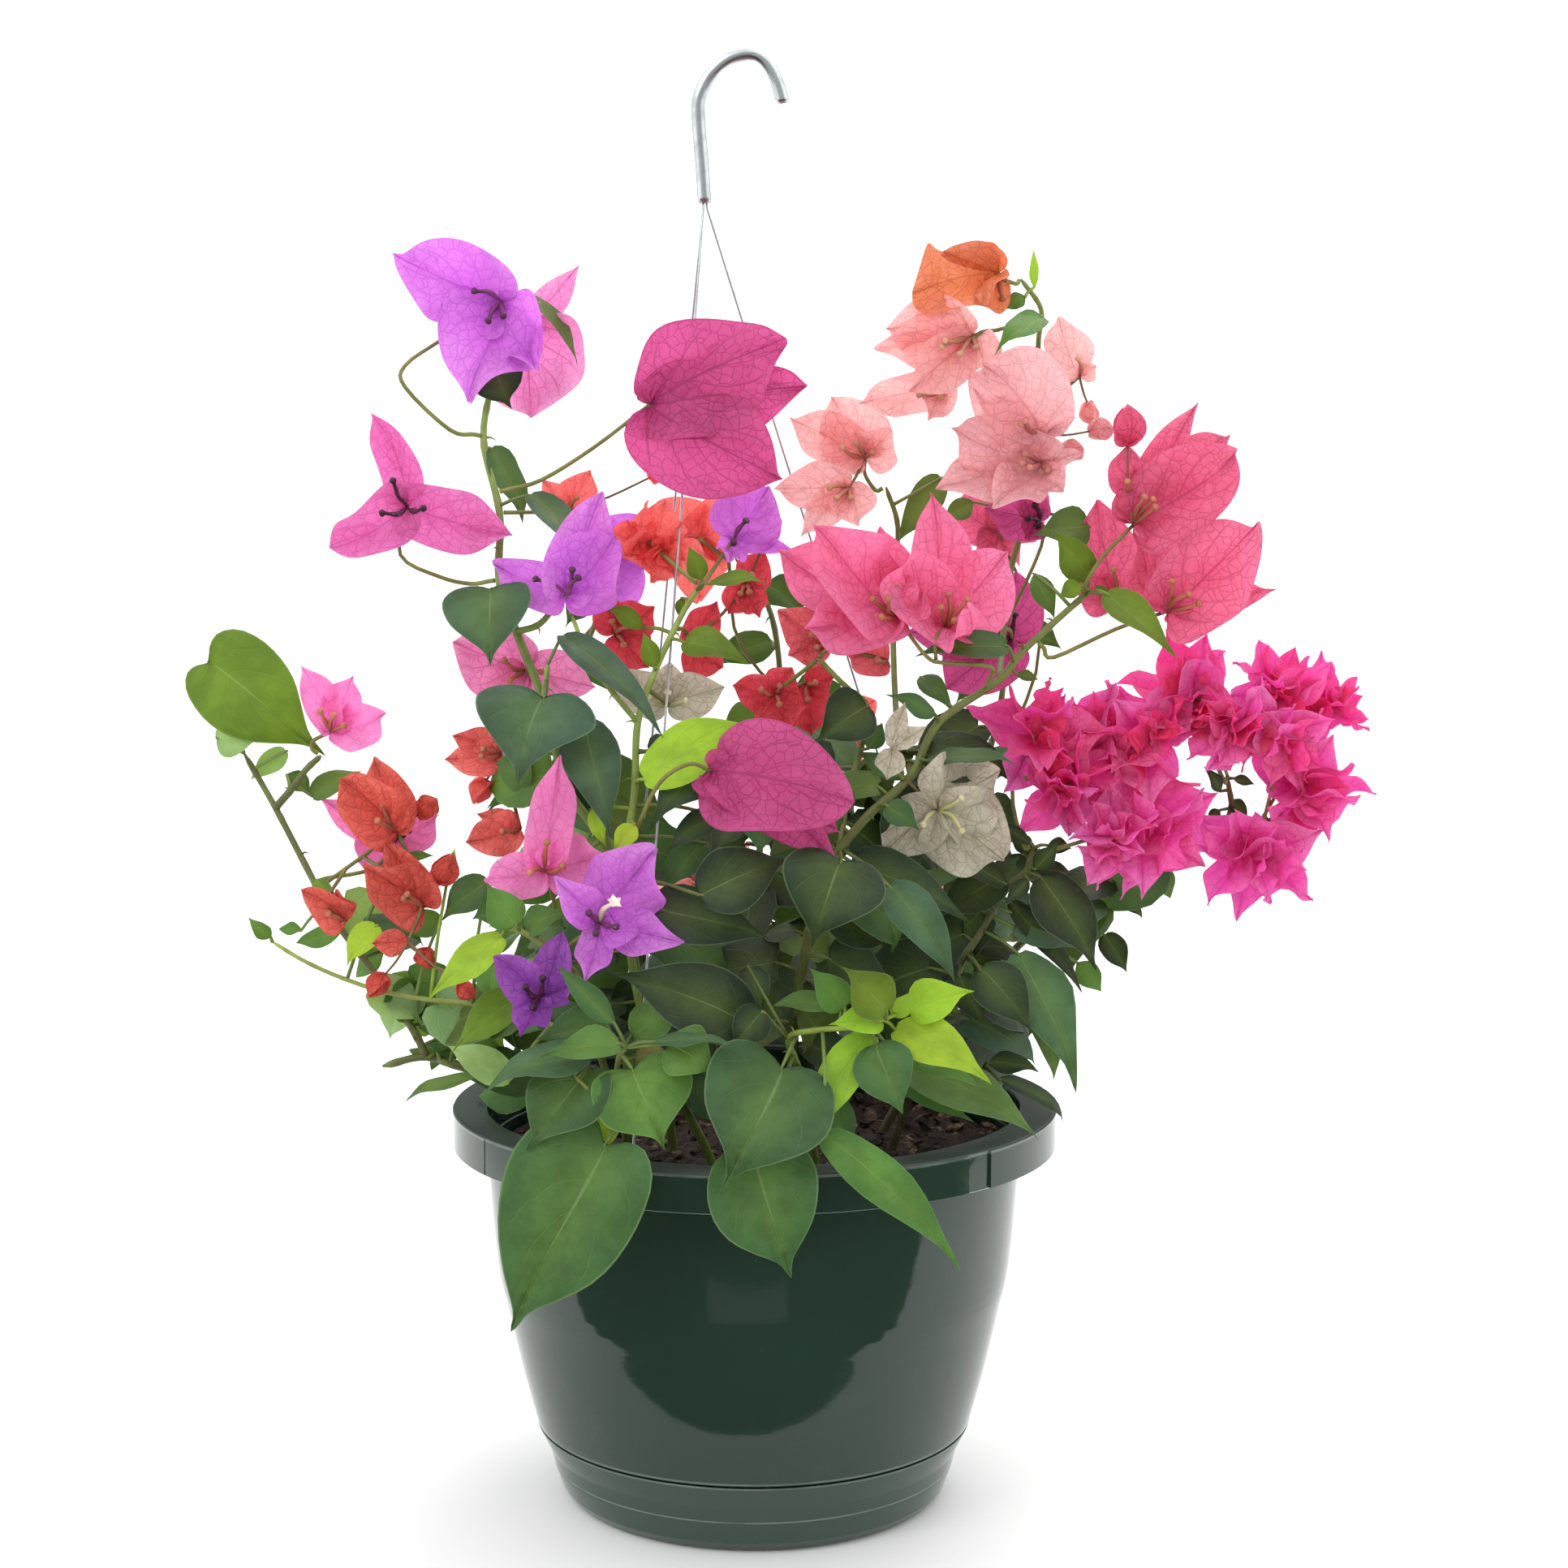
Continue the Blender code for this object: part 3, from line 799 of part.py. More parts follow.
def material(name, colour, roughness=0.5, metallic=0.0):
    """A Principled material of one colour."""
    made = bpy.data.materials.get(name) or bpy.data.materials.new(name)
    made.use_nodes = True
    shader = made.node_tree.nodes["Principled BSDF"]
    shader.inputs["Base Color"].default_value = (*colour, 1.0)
    shader.inputs["Roughness"].default_value = roughness
    shader.inputs["Metallic"].default_value = metallic
    made.diffuse_color = (*colour, 1.0)
    return made


def add_object(name, solid, finish=None):
    """An object from corners in millimetres and faces, with its faces turned outwards."""
    mesh = bpy.data.meshes.new(name)
    mesh.from_pydata([tuple(Vector(corner) * MM) for corner in solid[0]], [], solid[1])
    shell = bmesh.new()
    shell.from_mesh(mesh)
    bmesh.ops.recalc_face_normals(shell, faces=shell.faces)
    shell.to_mesh(mesh)
    shell.free()
    made = bpy.data.objects.new(name, mesh)
    bpy.context.scene.collection.objects.link(made)
    if finish:
        mesh.materials.append(finish)
    return made


def apply_boolean(target, operation, cutters):
    """Join or cut an object with a collection of others, which are then removed."""
    group = bpy.data.collections.new(target.name + "_parts")
    bpy.context.scene.collection.children.link(group)
    for cutter in cutters:
        bpy.context.scene.collection.objects.unlink(cutter)
        group.objects.link(cutter)
    modifier = target.modifiers.new("join", "BOOLEAN")
    modifier.operation = operation
    modifier.operand_type = "COLLECTION"
    modifier.collection = group
    modifier.solver = "EXACT"
    shaped = target.evaluated_get(bpy.context.evaluated_depsgraph_get())
    mesh = bpy.data.meshes.new_from_object(shaped)
    target.modifiers.clear()
    old = target.data
    target.data = mesh
    bpy.data.meshes.remove(old)
    mesh.name = target.name
    for cutter in cutters:
        bpy.data.objects.remove(cutter)
    bpy.data.collections.remove(group)


def drop_scraps(target):
    """Keep the largest body of an object and drop loose scraps."""
    shell = bmesh.new()
    shell.from_mesh(target.data)
    unseen = set(shell.verts)
    bodies = []
    while unseen:
        body = [unseen.pop()]
        for corner in body:
            for edge in corner.link_edges:
                other = edge.other_vert(corner)
                if other in unseen:
                    unseen.remove(other)
                    body.append(other)
        bodies.append(body)
    bodies.sort(key=len)
    for body in bodies[:-1]:
        bmesh.ops.delete(shell, geom=body, context="VERTS")
    shell.to_mesh(target.data)
    shell.free()


def split_faces(mesh):
    """Split a mesh's faces into triangles, without the pairs that lie face to face in a shared notch."""
    shell = bmesh.new()
    shell.from_mesh(mesh)
    bmesh.ops.triangulate(shell, faces=shell.faces)
    by_corners = {}
    for face in shell.faces:
        by_corners.setdefault(frozenset(face.verts), []).append(face)
    doubled = [face for faces in by_corners.values() if len(faces) > 1 for face in faces]
    bmesh.ops.delete(shell, geom=doubled, context="FACES_ONLY")
    bare_edges = [edge for edge in shell.edges if not edge.link_faces]
    bmesh.ops.delete(shell, geom=bare_edges, context="EDGES")
    loose_corners = [corner for corner in shell.verts if not corner.link_edges]
    bmesh.ops.delete(shell, geom=loose_corners, context="VERTS")
    shell.to_mesh(mesh)
    shell.free()


def measure(mesh):
    """A triangle mesh's volume in cubic millimetres, and whether it is closed and clear of itself."""
    shell = bmesh.new()
    shell.from_mesh(mesh)
    solid = ([corner.co / MM for corner in shell.verts],
             [tuple(corner.index for corner in face.verts) for face in shell.faces])
    closed = all(edge.is_manifold for edge in shell.edges)
    touching = bmesh.ops.find_doubles(shell, verts=shell.verts, dist=TOUCH * MM)["targetmap"]
    volume = shell.calc_volume() / MM ** 3
    shell.free()
    return volume, closed and not touching and not crosses_itself(solid)


def lighten(target):
    """Collapse the slivers that the union left, as far as the solid stays whole and keeps its volume."""
    volume, _ = measure(target.data)
    modifier = target.modifiers.new("lighten", "DECIMATE")
    modifier.use_collapse_triangulate = True
    for ratio in LIGHTEN_RATIOS:
        modifier.ratio = ratio
        mesh = bpy.data.meshes.new_from_object(target.evaluated_get(bpy.context.evaluated_depsgraph_get()))
        lighter, sound = measure(mesh)
        if sound and abs(lighter / volume - 1) < LIGHTEN_LIMIT:
            old = target.data
            target.data = mesh
            bpy.data.meshes.remove(old)
            mesh.name = target.name
            break
        bpy.data.meshes.remove(mesh)
    target.modifiers.clear()


def nudged(solid, index, attempt):
    """A solid moved by less than a tenth of a millimetre, another way on each attempt."""
    first, second, third = NUDGE_PHASES
    phase = first * (index + 1) * attempt
    shift = Vector((math.sin(phase), math.cos(second * phase) - 1.0, math.sin(third * phase))) * NUDGE
    return [Vector(corner) + shift for corner in solid[0]], solid[1]


def fuse(name, solids, finish):
    """One node from overlapping closed solids, nudged apart until the union is a sound mesh."""
    for attempt in range(FUSE_ATTEMPTS):
        parts = [nudged(solid, index, attempt) for index, solid in enumerate(solids)]
        target = add_object(name, parts[0], finish)
        others = [add_object(f"{name}_{index}", part) for index, part in enumerate(parts[1:])]
        if others:
            apply_boolean(target, "UNION", others)
        drop_scraps(target)
        split_faces(target.data)
        if measure(target.data)[1]:
            break
        if attempt < FUSE_ATTEMPTS - 1:
            bpy.data.objects.remove(target)
    lighten(target)
    target.data.shade_smooth()
    target.data.set_sharp_from_angle(angle=PLANT_CREASE)


def turned(name, profile, finish, segments=POT_SEGMENTS):
    """A solid of revolution about the Z axis from a closed profile of (radius, height)."""
    corners = []
    faces = []
    rings = []
    for radius, height in profile:
        if radius == 0.0:
            rings.append([len(corners)])
            corners.append(Vector((0.0, 0.0, height)))
            continue
        rings.append(list(range(len(corners), len(corners) + segments)))
        for k in range(segments):
            angle = 2 * math.pi * k / segments
            corners.append(Vector((radius * math.cos(angle), radius * math.sin(angle), height)))
    for low, high in zip(rings, rings[1:] + rings[:1]):
        if len(low) == 1 and len(high) == 1:
            continue
        for k in range(segments):
            after = (k + 1) % segments
            if len(low) == 1:
                faces.append((low[0], high[after], high[k]))
            elif len(high) == 1:
                faces.append((low[k], low[after], high[0]))
            else:
                faces.append((low[k], low[after], high[after], high[k]))
    return add_object(name, (corners, faces), finish)


def upright(x, y, low, high, radius):
    """An upright rod of millimetre sizes, for cutting a hole."""
    return tube([Vector((x, y, low)), Vector((x, y, high))], (radius, radius), HOLE_SIDES)


def wire_spot(azimuth):
    """Where a wire passes the rim's flange."""
    angle = math.radians(azimuth)
    return Vector((WIRE_CIRCLE * math.cos(angle), WIRE_CIRCLE * math.sin(angle), 0.0))


def pot_profile():
    """The pot's section: a tapered wall that steps in to the saucer, and a rim folded out and down."""
    skirt = RIM_RADIUS - RIM_WALL
    underside = RIM_TOP - FLANGE_THICKNESS
    foot = SAUCER_FLOOR + GAP
    outer = [(0.0, foot), (POT_FOOT_RADIUS, foot), POT_HEEL, (SEAM_RADIUS, SEAM_Z + GAP),
             (SAUCER_RADIUS, SEAM_Z + GAP + SEAM_LIP), (WAIST_RADIUS, WAIST_Z), SHOULDER,
             (WALL_TOP_RADIUS, underside)]
    rim = [(skirt, underside), (skirt, RIM_TOP - SKIRT_HEIGHT), (RIM_RADIUS, RIM_TOP - SKIRT_HEIGHT),
           (RIM_RADIUS, RIM_TOP - RIM_CHAMFER), (RIM_RADIUS - RIM_CHAMFER, RIM_TOP),
           (WALL_TOP_RADIUS - POT_WALL + RIM_INNER_STEP, RIM_TOP)]
    inner = [(WAIST_RADIUS - POT_WALL, WAIST_Z + INNER_STEP_RISE),
             (SAUCER_RADIUS - POT_WALL, SEAM_Z + SEAM_INNER_TOP),
             (SEAM_RADIUS - SEAM_INNER[0], SEAM_Z + SEAM_INNER[1]),
             (POT_HEEL[0] - HEEL_INNER[0], POT_HEEL[1] + HEEL_INNER[1]),
             (POT_FOOT_RADIUS - FOOT_INNER, foot + POT_WALL), (0.0, foot + POT_WALL)]
    return outer + rim + inner


def make_pot():
    """The pot, with holes in its flange for the wires and in its floor for draining."""
    pot = turned("pot", pot_profile(), material("pot_plastic", COLOURS["pot"], 0.3))
    cutters = []
    for azimuth in WIRE_AZIMUTHS.values():
        for turn in (0.0, -TAIL_TURN):
            hole = wire_spot(azimuth + turn)
            cutter = upright(hole.x, hole.y, RIM_TOP - HOLE_BELOW_RIM, RIM_TOP + HOLE_ABOVE_RIM,
                             WIRE_HOLE_RADIUS)
            cutters.append(add_object("hole", cutter))
    for index in range(DRAIN_HOLES):
        angle = 2 * math.pi * (index + 0.5) / DRAIN_HOLES
        x, y = DRAIN_CIRCLE * math.cos(angle), DRAIN_CIRCLE * math.sin(angle)
        cutters.append(add_object("hole", upright(x, y, *DRAIN_CUT, DRAIN_RADIUS)))
    apply_boolean(pot, "DIFFERENCE", cutters)
    split_faces(pot.data)
    pot.data.shade_smooth()
    pot.data.set_sharp_from_angle(angle=POT_CREASE)


def make_saucer():
    """The shallow dish clipped under the pot: it carries everything on its flat foot."""
    profile = [(0.0, 0.0), (FOOT_RADIUS, 0.0), *SAUCER_OUTSIDE, (SAUCER_RADIUS, SEAM_Z),
               (SAUCER_RADIUS - SAUCER_LIP, SEAM_Z), *SAUCER_INSIDE, (0.0, SAUCER_FLOOR)]
    saucer = turned("saucer", profile, material("saucer_plastic", COLOURS["pot"], 0.34))
    saucer.data.shade_smooth()
    saucer.data.set_sharp_from_angle(angle=POT_CREASE)


def make_soil():
    """Potting mix that fills the pot, lumpy on top, with a plain hole round each cane."""
    floor = SAUCER_FLOOR + GAP + POT_WALL + GAP
    wall = POT_WALL + SOIL_INSET
    low, high = SOIL_ABOVE_SEAM
    profile = [(0.0, floor), (SOIL_FOOT_RADIUS, floor), SOIL_HEEL, (SOIL_STEP_RADIUS, SEAM_Z + low),
               (SAUCER_RADIUS - wall, SEAM_Z + high), (WAIST_RADIUS - wall, WAIST_Z + INNER_STEP_RISE),
               (SOIL_TOP_RADIUS, SOIL_TOP - SOIL_EDGE_DROP)]
    a, b, c, d, e, f = SOIL_WAVES
    profile += [(radius, SOIL_TOP) for radius in SOIL_RINGS]
    soil = turned("soil", profile, material("potting_mix", COLOURS["soil"], 0.95))
    for corner in soil.data.vertices:
        x, y, z = corner.co / MM
        if z > SOIL_TOP - SOIL_TOP_BAND:
            lumps = math.sin(x * a + b * math.sin(y * c)) * math.cos(y * d - e * math.sin(x * f))
            corner.co.z += (lumps * SOIL_SWELL) * MM
    cutters = []
    for (x, y), radius, *_ in CANES.values():
        cutter = upright(x, y, SOIL_TOP - ROOT_DEPTH - GAP, SOIL_TOP + SOIL_HOLE_RISE,
                         radius + ROOT_HOLE_MARGIN)
        cutters.append(add_object("hole", cutter))
    apply_boolean(soil, "DIFFERENCE", cutters)
    split_faces(soil.data)


def hook_points():
    """The hook's middle line in the plane of the pot's axis."""
    return [Vector((x, 0.0, z)) for x, z in HOOK_LINE]


def hook_solid():
    """The hook, a bent tube open at both ends."""
    line = hook_points()
    sides = HOOK_SIDES
    outer = rings_along(line, (HOOK_RADIUS, HOOK_RADIUS), sides)
    inner = rings_along(line, (HOOK_BORE, HOOK_BORE), sides)
    corners = [corner for ring in outer + inner for corner in ring]
    shift = len(outer) * sides
    faces = []
    for ring in range(len(line) - 1):
        for k in range(sides):
            a, b = ring * sides + k, ring * sides + (k + 1) % sides
            faces.append((a, b, b + sides, a + sides))
            faces.append((a + shift, a + sides + shift, b + sides + shift, b + shift))
    last = (len(line) - 1) * sides
    for k in range(sides):
        a, b = k, (k + 1) % sides
        faces.append((b, a, a + shift, b + shift))
        faces.append((a + last, b + last, b + last + shift, a + last + shift))
    return corners, faces


def wire_line(azimuth):
    """A wire from inside the hook's end straight down to the rim, through it, and up again."""
    angle = math.radians(azimuth)
    nest = Vector((math.cos(angle), math.sin(angle), 0.0)) * WIRE_NEST
    axis = Vector((HOOK_LINE[0][0], 0.0, 0.0)) + nest
    hole, tail = wire_spot(azimuth), wire_spot(azimuth - TAIL_TURN)
    up = Vector((0.0, 0.0, 1.0))
    down = [axis + up * WIRE_END + Vector((WIRE_LEAN, 0, 0)), axis + up * WIRE_MOUTH,
            hole + up * WIRE_OVER_RIM, hole + up * WIRE_UNDER_FLANGE]
    turn = [hole.lerp(tail, share) + up * WIRE_TURN for share in WIRE_TURN_SHARES]
    return down + turn + [tail * share + up * height for share, height in WIRE_TAIL]


def wire_solid(azimuth):
    """The wire's closed tube."""
    return tube(wire_line(azimuth), (WIRE_RADIUS, WIRE_RADIUS), WIRE_SIDES)


def cane_lines(name):
    """The middle lines of a cane and its branches, with their radii at both ends."""
    (x, y), thick, thin, line, branches = CANES[name]
    root = [Vector((x, y, SOIL_TOP - ROOT_DEPTH)), Vector((x, y, SOIL_TOP + ROOT_COLLAR))]
    lines = [(root + [spot(name, point[:2], point[2]) for point in line], thick, thin)]
    for branch in branches:
        points = [spot(name, point[:2], point[2]) for point in branch]
        fork = min((nearest_on(other, points[0])[0] for other, _, _ in lines),
                   key=lambda near: (near - points[0]).length)
        lines.append(([fork] + points[1:], thin * BRANCH_RADII[0], thin * BRANCH_RADII[1]))
    return lines


def grow_canes(room, solids):
    """Every cane and its branches; gives the middle line and the radii of each, by cane."""
    lines = {name: cane_lines(name) for name in CANES}
    for name, cane in lines.items():
        for line, thick, thin in cane:
            solid = tube(line, (thick, thin), CANE_SIDES)
            if not room.is_clear(name, solid) or crosses_itself(solid):
                print(f"{name}: crosses what stands before it")
            room.take(name, solid)
            solids[name].append(solid)
    return lines


def nearest_stem(stems, point):
    """The one of a cane's stems, with its radii, that passes nearest to a point."""
    return min(stems, key=lambda stem: (nearest_on(stem[0], point)[0] - point).length)


def grow_stalks(room, solids, lines):
    """Every spray's stalk and twigs; gives the hubs of its blooms and heads by spray."""
    hubs = {}
    for name, (_, cane, through, blooms) in SPRAYS.items():
        centres = [spot(name, hub[:2], hub[2]) for hub, _, _ in blooms]
        centres += [spot(name, head[:2], head[2]) for head in HEADS.get(name, ())]
        via = [spot(name, point[:2], point[2]) for point in through]
        first = via[0] if via else centres[0]
        line, thick, thin = nearest_stem(lines[cane], first)
        route, solid = stalk(room, name, line, (thick, thin), cane, via, centres[0])
        if route:
            solids[name].append(solid)
            hubs[name] = centres[:1]
            for centre in centres[1:]:
                solid = twig(room, name, route, centre)
                if solid:
                    solids[name].append(solid)
                    hubs[name].append(centre)
                else:
                    hubs[name].append(None)
    return hubs


def grow_blooms(room, solids, hubs):
    """The bracts of every bloom and double head round its hub."""
    for name, centres in hubs.items():
        blooms = SPRAYS[name][3]
        for centre, (_, opens, bracts) in zip(centres, blooms):
            if centre:
                solids[name].append(octahedron(centre, HUB_RADIUS))
                for row in bracts:
                    solids[name] += bract(room, name, centre, facing(*opens), row)
        for centre, head in zip(centres[len(blooms):], HEADS.get(name, ())):
            if centre:
                solids[name].append(octahedron(centre, HEAD_HUB_RADIUS))
                for index in range(HEAD_BRACTS):
                    axis = facing(*head[4:])
                    solids[name] += head_bract(room, name, centre, head[3], axis, index)


def make_plant(room):
    """Every cane with its leaves, then every spray with its blooms."""
    solids = {name: [] for name in list(CANES) + list(SPRAYS)}
    lines = grow_canes(room, solids)
    hubs = grow_stalks(room, solids, lines)
    for name, rows in LEAVES.items():
        for row in rows:
            base = spot(name, row[:2], row[2])
            solids[name] += leaf(room, name, nearest_stem(lines[name], base)[0], row)
    grow_blooms(room, solids, hubs)
    for name, parts in solids.items():
        if name in CANES:
            fuse(name, parts, material("cane_and_leaf", COLOURS["leaf"], 0.5))
        elif parts:
            colour = SPRAYS[name][0]
            fuse(name, parts, material(f"bract_{colour}", COLOURS[colour], 0.6))


def main():
    """Clear the scene and build the plant, its pot and its hanger."""
    for thing in list(bpy.data.objects):
        bpy.data.objects.remove(thing)
    bpy.context.scene.unit_settings.system = "METRIC"
    steel = material("galvanised_steel", COLOURS["steel"], 0.3, 1.0)
    room = Room()
    hook = hook_solid()
    room.take("hook", hook)
    for name, azimuth in WIRE_AZIMUTHS.items():
        solid = wire_solid(azimuth)
        room.take(name, solid)
        add_object(name, solid, steel).data.shade_smooth()
    add_object("hook", hook, steel).data.shade_smooth()
    make_pot()
    make_saucer()
    make_soil()
    for name in ("pot", "soil"):
        mesh = bpy.data.objects[name].data
        corners = [corner.co / MM for corner in mesh.vertices]
        room.take(name, (corners, [tuple(face.vertices) for face in mesh.polygons]))
    make_plant(room)


main()
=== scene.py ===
"""Looks of a potted bougainvillea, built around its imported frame.

Each operator dresses one piece or one group of like pieces: the pot, its saucer, the potting mix, the
wire hanger, the canes with their leaves, the sprays of bracts, and the stage. The tables below are
millimetres and the scene is metres. The origin is the middle of the saucer's foot, +Z is up and the
front is -Y.
"""
import math
import random

import bmesh
import bpy
from bpy.props import FloatProperty, FloatVectorProperty, IntProperty, PointerProperty
from bpy.types import Operator, Panel, PropertyGroup
from mathutils import Matrix, Vector, noise
from mathutils.kdtree import KDTree


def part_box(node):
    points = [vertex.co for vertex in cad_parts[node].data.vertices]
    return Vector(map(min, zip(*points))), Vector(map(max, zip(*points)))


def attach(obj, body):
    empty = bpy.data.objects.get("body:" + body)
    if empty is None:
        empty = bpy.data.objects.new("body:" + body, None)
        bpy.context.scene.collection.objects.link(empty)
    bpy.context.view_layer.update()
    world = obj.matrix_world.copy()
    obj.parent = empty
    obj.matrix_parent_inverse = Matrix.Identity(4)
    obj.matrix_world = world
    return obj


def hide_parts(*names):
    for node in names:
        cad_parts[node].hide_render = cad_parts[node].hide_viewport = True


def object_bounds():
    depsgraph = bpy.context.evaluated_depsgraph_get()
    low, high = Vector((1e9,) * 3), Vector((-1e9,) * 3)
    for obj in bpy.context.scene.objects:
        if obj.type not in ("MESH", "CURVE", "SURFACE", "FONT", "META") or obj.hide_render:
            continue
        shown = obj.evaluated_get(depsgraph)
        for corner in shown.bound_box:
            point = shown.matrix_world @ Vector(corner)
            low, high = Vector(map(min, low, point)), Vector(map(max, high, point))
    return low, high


bl_info = {
    "name": "Potted bougainvillea",
    "version": (1, 0, 0),
    "blender": (4, 5, 0),
    "location": "View3D > Sidebar > Bougainvillea",
    "description": "Dresses the packed frame of a potted bougainvillea",
    "category": "Object",
}

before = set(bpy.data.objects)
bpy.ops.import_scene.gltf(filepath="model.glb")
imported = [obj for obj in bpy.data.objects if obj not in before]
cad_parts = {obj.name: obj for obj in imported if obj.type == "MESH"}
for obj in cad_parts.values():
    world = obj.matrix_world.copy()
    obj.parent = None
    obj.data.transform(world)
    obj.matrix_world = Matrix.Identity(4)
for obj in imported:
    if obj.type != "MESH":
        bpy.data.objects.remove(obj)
CAD_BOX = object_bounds()

MM = 0.001
UP = Vector((0.0, 0.0, 1.0))
POT_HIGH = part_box("pot")[1]

# The pot, in millimetres, worked out from the frame's rim where that gives it
RIM_RADIUS = POT_HIGH.x / MM
RIM_TOP = POT_HIGH.z / MM
SKIRT_BOTTOM = RIM_TOP - 15.8
SKIRT_INNER = RIM_RADIUS - 1.6
FLANGE_UNDER = RIM_TOP - 3.0
WALL_TOP_RADIUS = 114.5
LIP_INNER = WALL_TOP_RADIUS - 1.6
POT_WALL = 2.2
SEAM_Z = 31.5
SAUCER_RADIUS = 92.6
SAUCER_FLOOR = 2.0
CLEARANCE = 0.35
FOOT = SAUCER_FLOOR + CLEARANCE
SOIL_TOP = 148.0
SOIL_UNDER = FOOT + POT_WALL + CLEARANCE
# Sections as points of radius and height: the pot's outside below the seam, its outer wall from there to
# the rim, its inside from the wall down to the floor, the saucer, and the mix up to its edge
POT_UNDER = ((0.0, FOOT), (70.0, FOOT), (76.5, 6.0), (85.6, SEAM_Z + CLEARANCE))
POT_WALL_LINE = ((92.6, 32.25), (99.0, 56.0), (105.0, 82.0), (109.4, 104.0), (114.5, 164.8))
POT_INSIDE = ((83.2, SEAM_Z + 3.0), (74.0, 7.5), (68.0, FOOT + POT_WALL), (0.0, FOOT + POT_WALL))
SAUCER_LINE = ((0.0, 0.0), (74.0, 0.0), (79.0, 1.2), (82.5, 5.0), (85.4, 13.0), (87.3, 21.0),
               (SAUCER_RADIUS, SEAM_Z), (SAUCER_RADIUS - 1.8, SEAM_Z), (85.4, 21.0), (80.6, 5.6),
               (77.0, SAUCER_FLOOR), (0.0, SAUCER_FLOOR))
SOIL_LINE = ((0.0, SOIL_UNDER), (67.4, SOIL_UNDER), (73.2, 8.3), (82.5, SEAM_Z + 3.5),
             (89.8, SEAM_Z + 5.5), (102.2, 88.0), (109.6, SOIL_TOP - 1.5))
# The mix's top: the radii of its rings and the faces round it, the height of its lumps and of its
# crumbs, how far out chips lie, and the lengths and slimness of fibres and of chips
SOIL_RINGS = (107.0, *range(104, 0, -4), 0.0)
SOIL_STEPS = 120
LUMP_HEIGHT = 2.5
CRUMB_HEIGHT = 1.3
CHIP_REACH = 106.0
FIBRE = ((4.0, 7.5), (0.05, 0.10))
CHIP = ((1.8, 5.4), (0.28, 0.62))
FIBRE_EVERY = 4
CHIP_JITTER = 0.26
# Raised panels on the rim's skirt: from and to, in degrees round from +X, and how far they stand out.
# A panel takes faces this near to the rim's radius that are this large
RIM_PANELS = ((-111.0, -48.0, 0.8), (-42.2, 13.0, 1.1), (182.0, 212.0, 0.22))
PANEL_NEAR = 0.05
PANEL_FACE = 10.0
# Pale lines along edges, a painted highlight that is partly wear too at the skirt's lower edge: at what
# height, how far up and down, and how strongly
POT_HIGHLIGHTS_AND_WEAR = ((SKIRT_BOTTOM, 0.55, 0.9), (RIM_TOP - 1.0, 0.7, 0.25), (33.2, 0.5, 0.25))
SAUCER_EDGE_HIGHLIGHTS = ((14.8, 0.4, 0.30), (SEAM_Z - 0.4, 0.5, 0.2))
# Holes: through the flange for the wires, and through the floor for draining
WIRE_HOLE_RADIUS = 1.4
WIRE_HOLE_SPAN = (RIM_TOP - 10.0, RIM_TOP + 8.0)
DRAINS = 4
DRAIN_CIRCLE = 52.0
DRAIN_SPAN = (1.0, 6.5)
DRAIN_RADIUS = 5.0
SHARP_ANGLE = math.radians(35)

# The hanger: where its wires stand on the rim, nest in the hook, end, leave it, and turn under the rim
WIRE_RADIUS = 0.8
WIRE_CIRCLE = 120.5
WIRE_AZIMUTHS = {"wire_front": -112.5, "wire_right": 36.0, "wire_left": 120.0}
WIRE_NEST = 1.15
WIRE_END = 549.0
WIRE_END_LEAN = -0.35
WIRE_MOUTH = 541.0
WIRE_OVER_RIM = 176.0
WIRE_UNDER_FLANGE = 163.0
WIRE_TURN = 160.8
WIRE_TURN_DIP = 0.6
WIRE_TURN_SHARES = (0.12, 0.3, 0.5, 0.7, 0.88)
TAIL_TURN = 7.0
WIRE_TAIL = ((1.0, WIRE_UNDER_FLANGE), (1.0, 170.0), (0.985, 172.6), (0.962, 172.0))
HOOK_RADIUS = 2.75
HOOK_BORE = 2.15

# Canes: how deep they root, the radii of branches as shares of the cane's at its tip, how a stalk leaves
# its cane, and the bend that a tube can follow
ROOT_DEPTH = 14.0
BRANCH_RADII = (1.15, 0.8)
STALK_GAP = 0.3
STALK_LEAD = 3.0
STALK_SWAY_AT_POINTS = 0.6
GENTLE_TURN = 0.25
# Radii of the frame's tubes: a leaf's stalk at its leaf, a spray's stalk and its twigs
LEAF_STALK_RING = 0.8
STALK_RING = 0.95
TWIG_RING = 0.87
CLEARLY_BETTER = 0.01
# Knuckles: how many points apart, how far they swell, how sharply and how brown, and the cane's rounded tip
KNUCKLE_EVERY = 5
KNUCKLE_SWELL = 0.16
KNUCKLE_SHARPNESS = 8
KNUCKLE_BROWN = 0.35
ROUNDED_FROM = 0.985
ROUNDED_TO = 0.35
FORK_TONE = 0.6
THORNS_FROM = 175.0
THORN_CHANCE = 0.7
THORN_LENGTHS = (3.0, 5.5)
THORN_DROOP = 1.2
# Double heads redden upwards: from this height, fully over this much more, and by this at least
REDDER_FROM = 262.0
REDDER_OVER = 70.0
LEAST_RED = 0.10

# Cards that only the gloss sees, in metres. The dark one on the floor starts along this line and ends at
# this distance, and a paler patch lies on it, each this far above the floor and this grey
CARD_EDGE = ((-2.0, 0.02), (-0.9, -0.03), (-0.45, -0.075), (-0.30, -0.097), (-0.20, -0.112),
             (-0.10, -0.136), (0.0, -0.150), (0.10, -0.152), (0.20, -0.153), (0.30, -0.160),
             (0.45, -0.155), (0.9, -0.13), (2.0, -0.08))
CARD_FAR = -2.0
CARD_PATCH = ((-0.107, -0.344), (0.071, -0.345), (0.065, -0.292), (0.009, -0.288), (-0.082, -0.277))
CARD_LIFT = 0.0004
PATCH_LIFT = 0.0008
CARD_GREY = 0.013
PATCH_GREY = 0.20
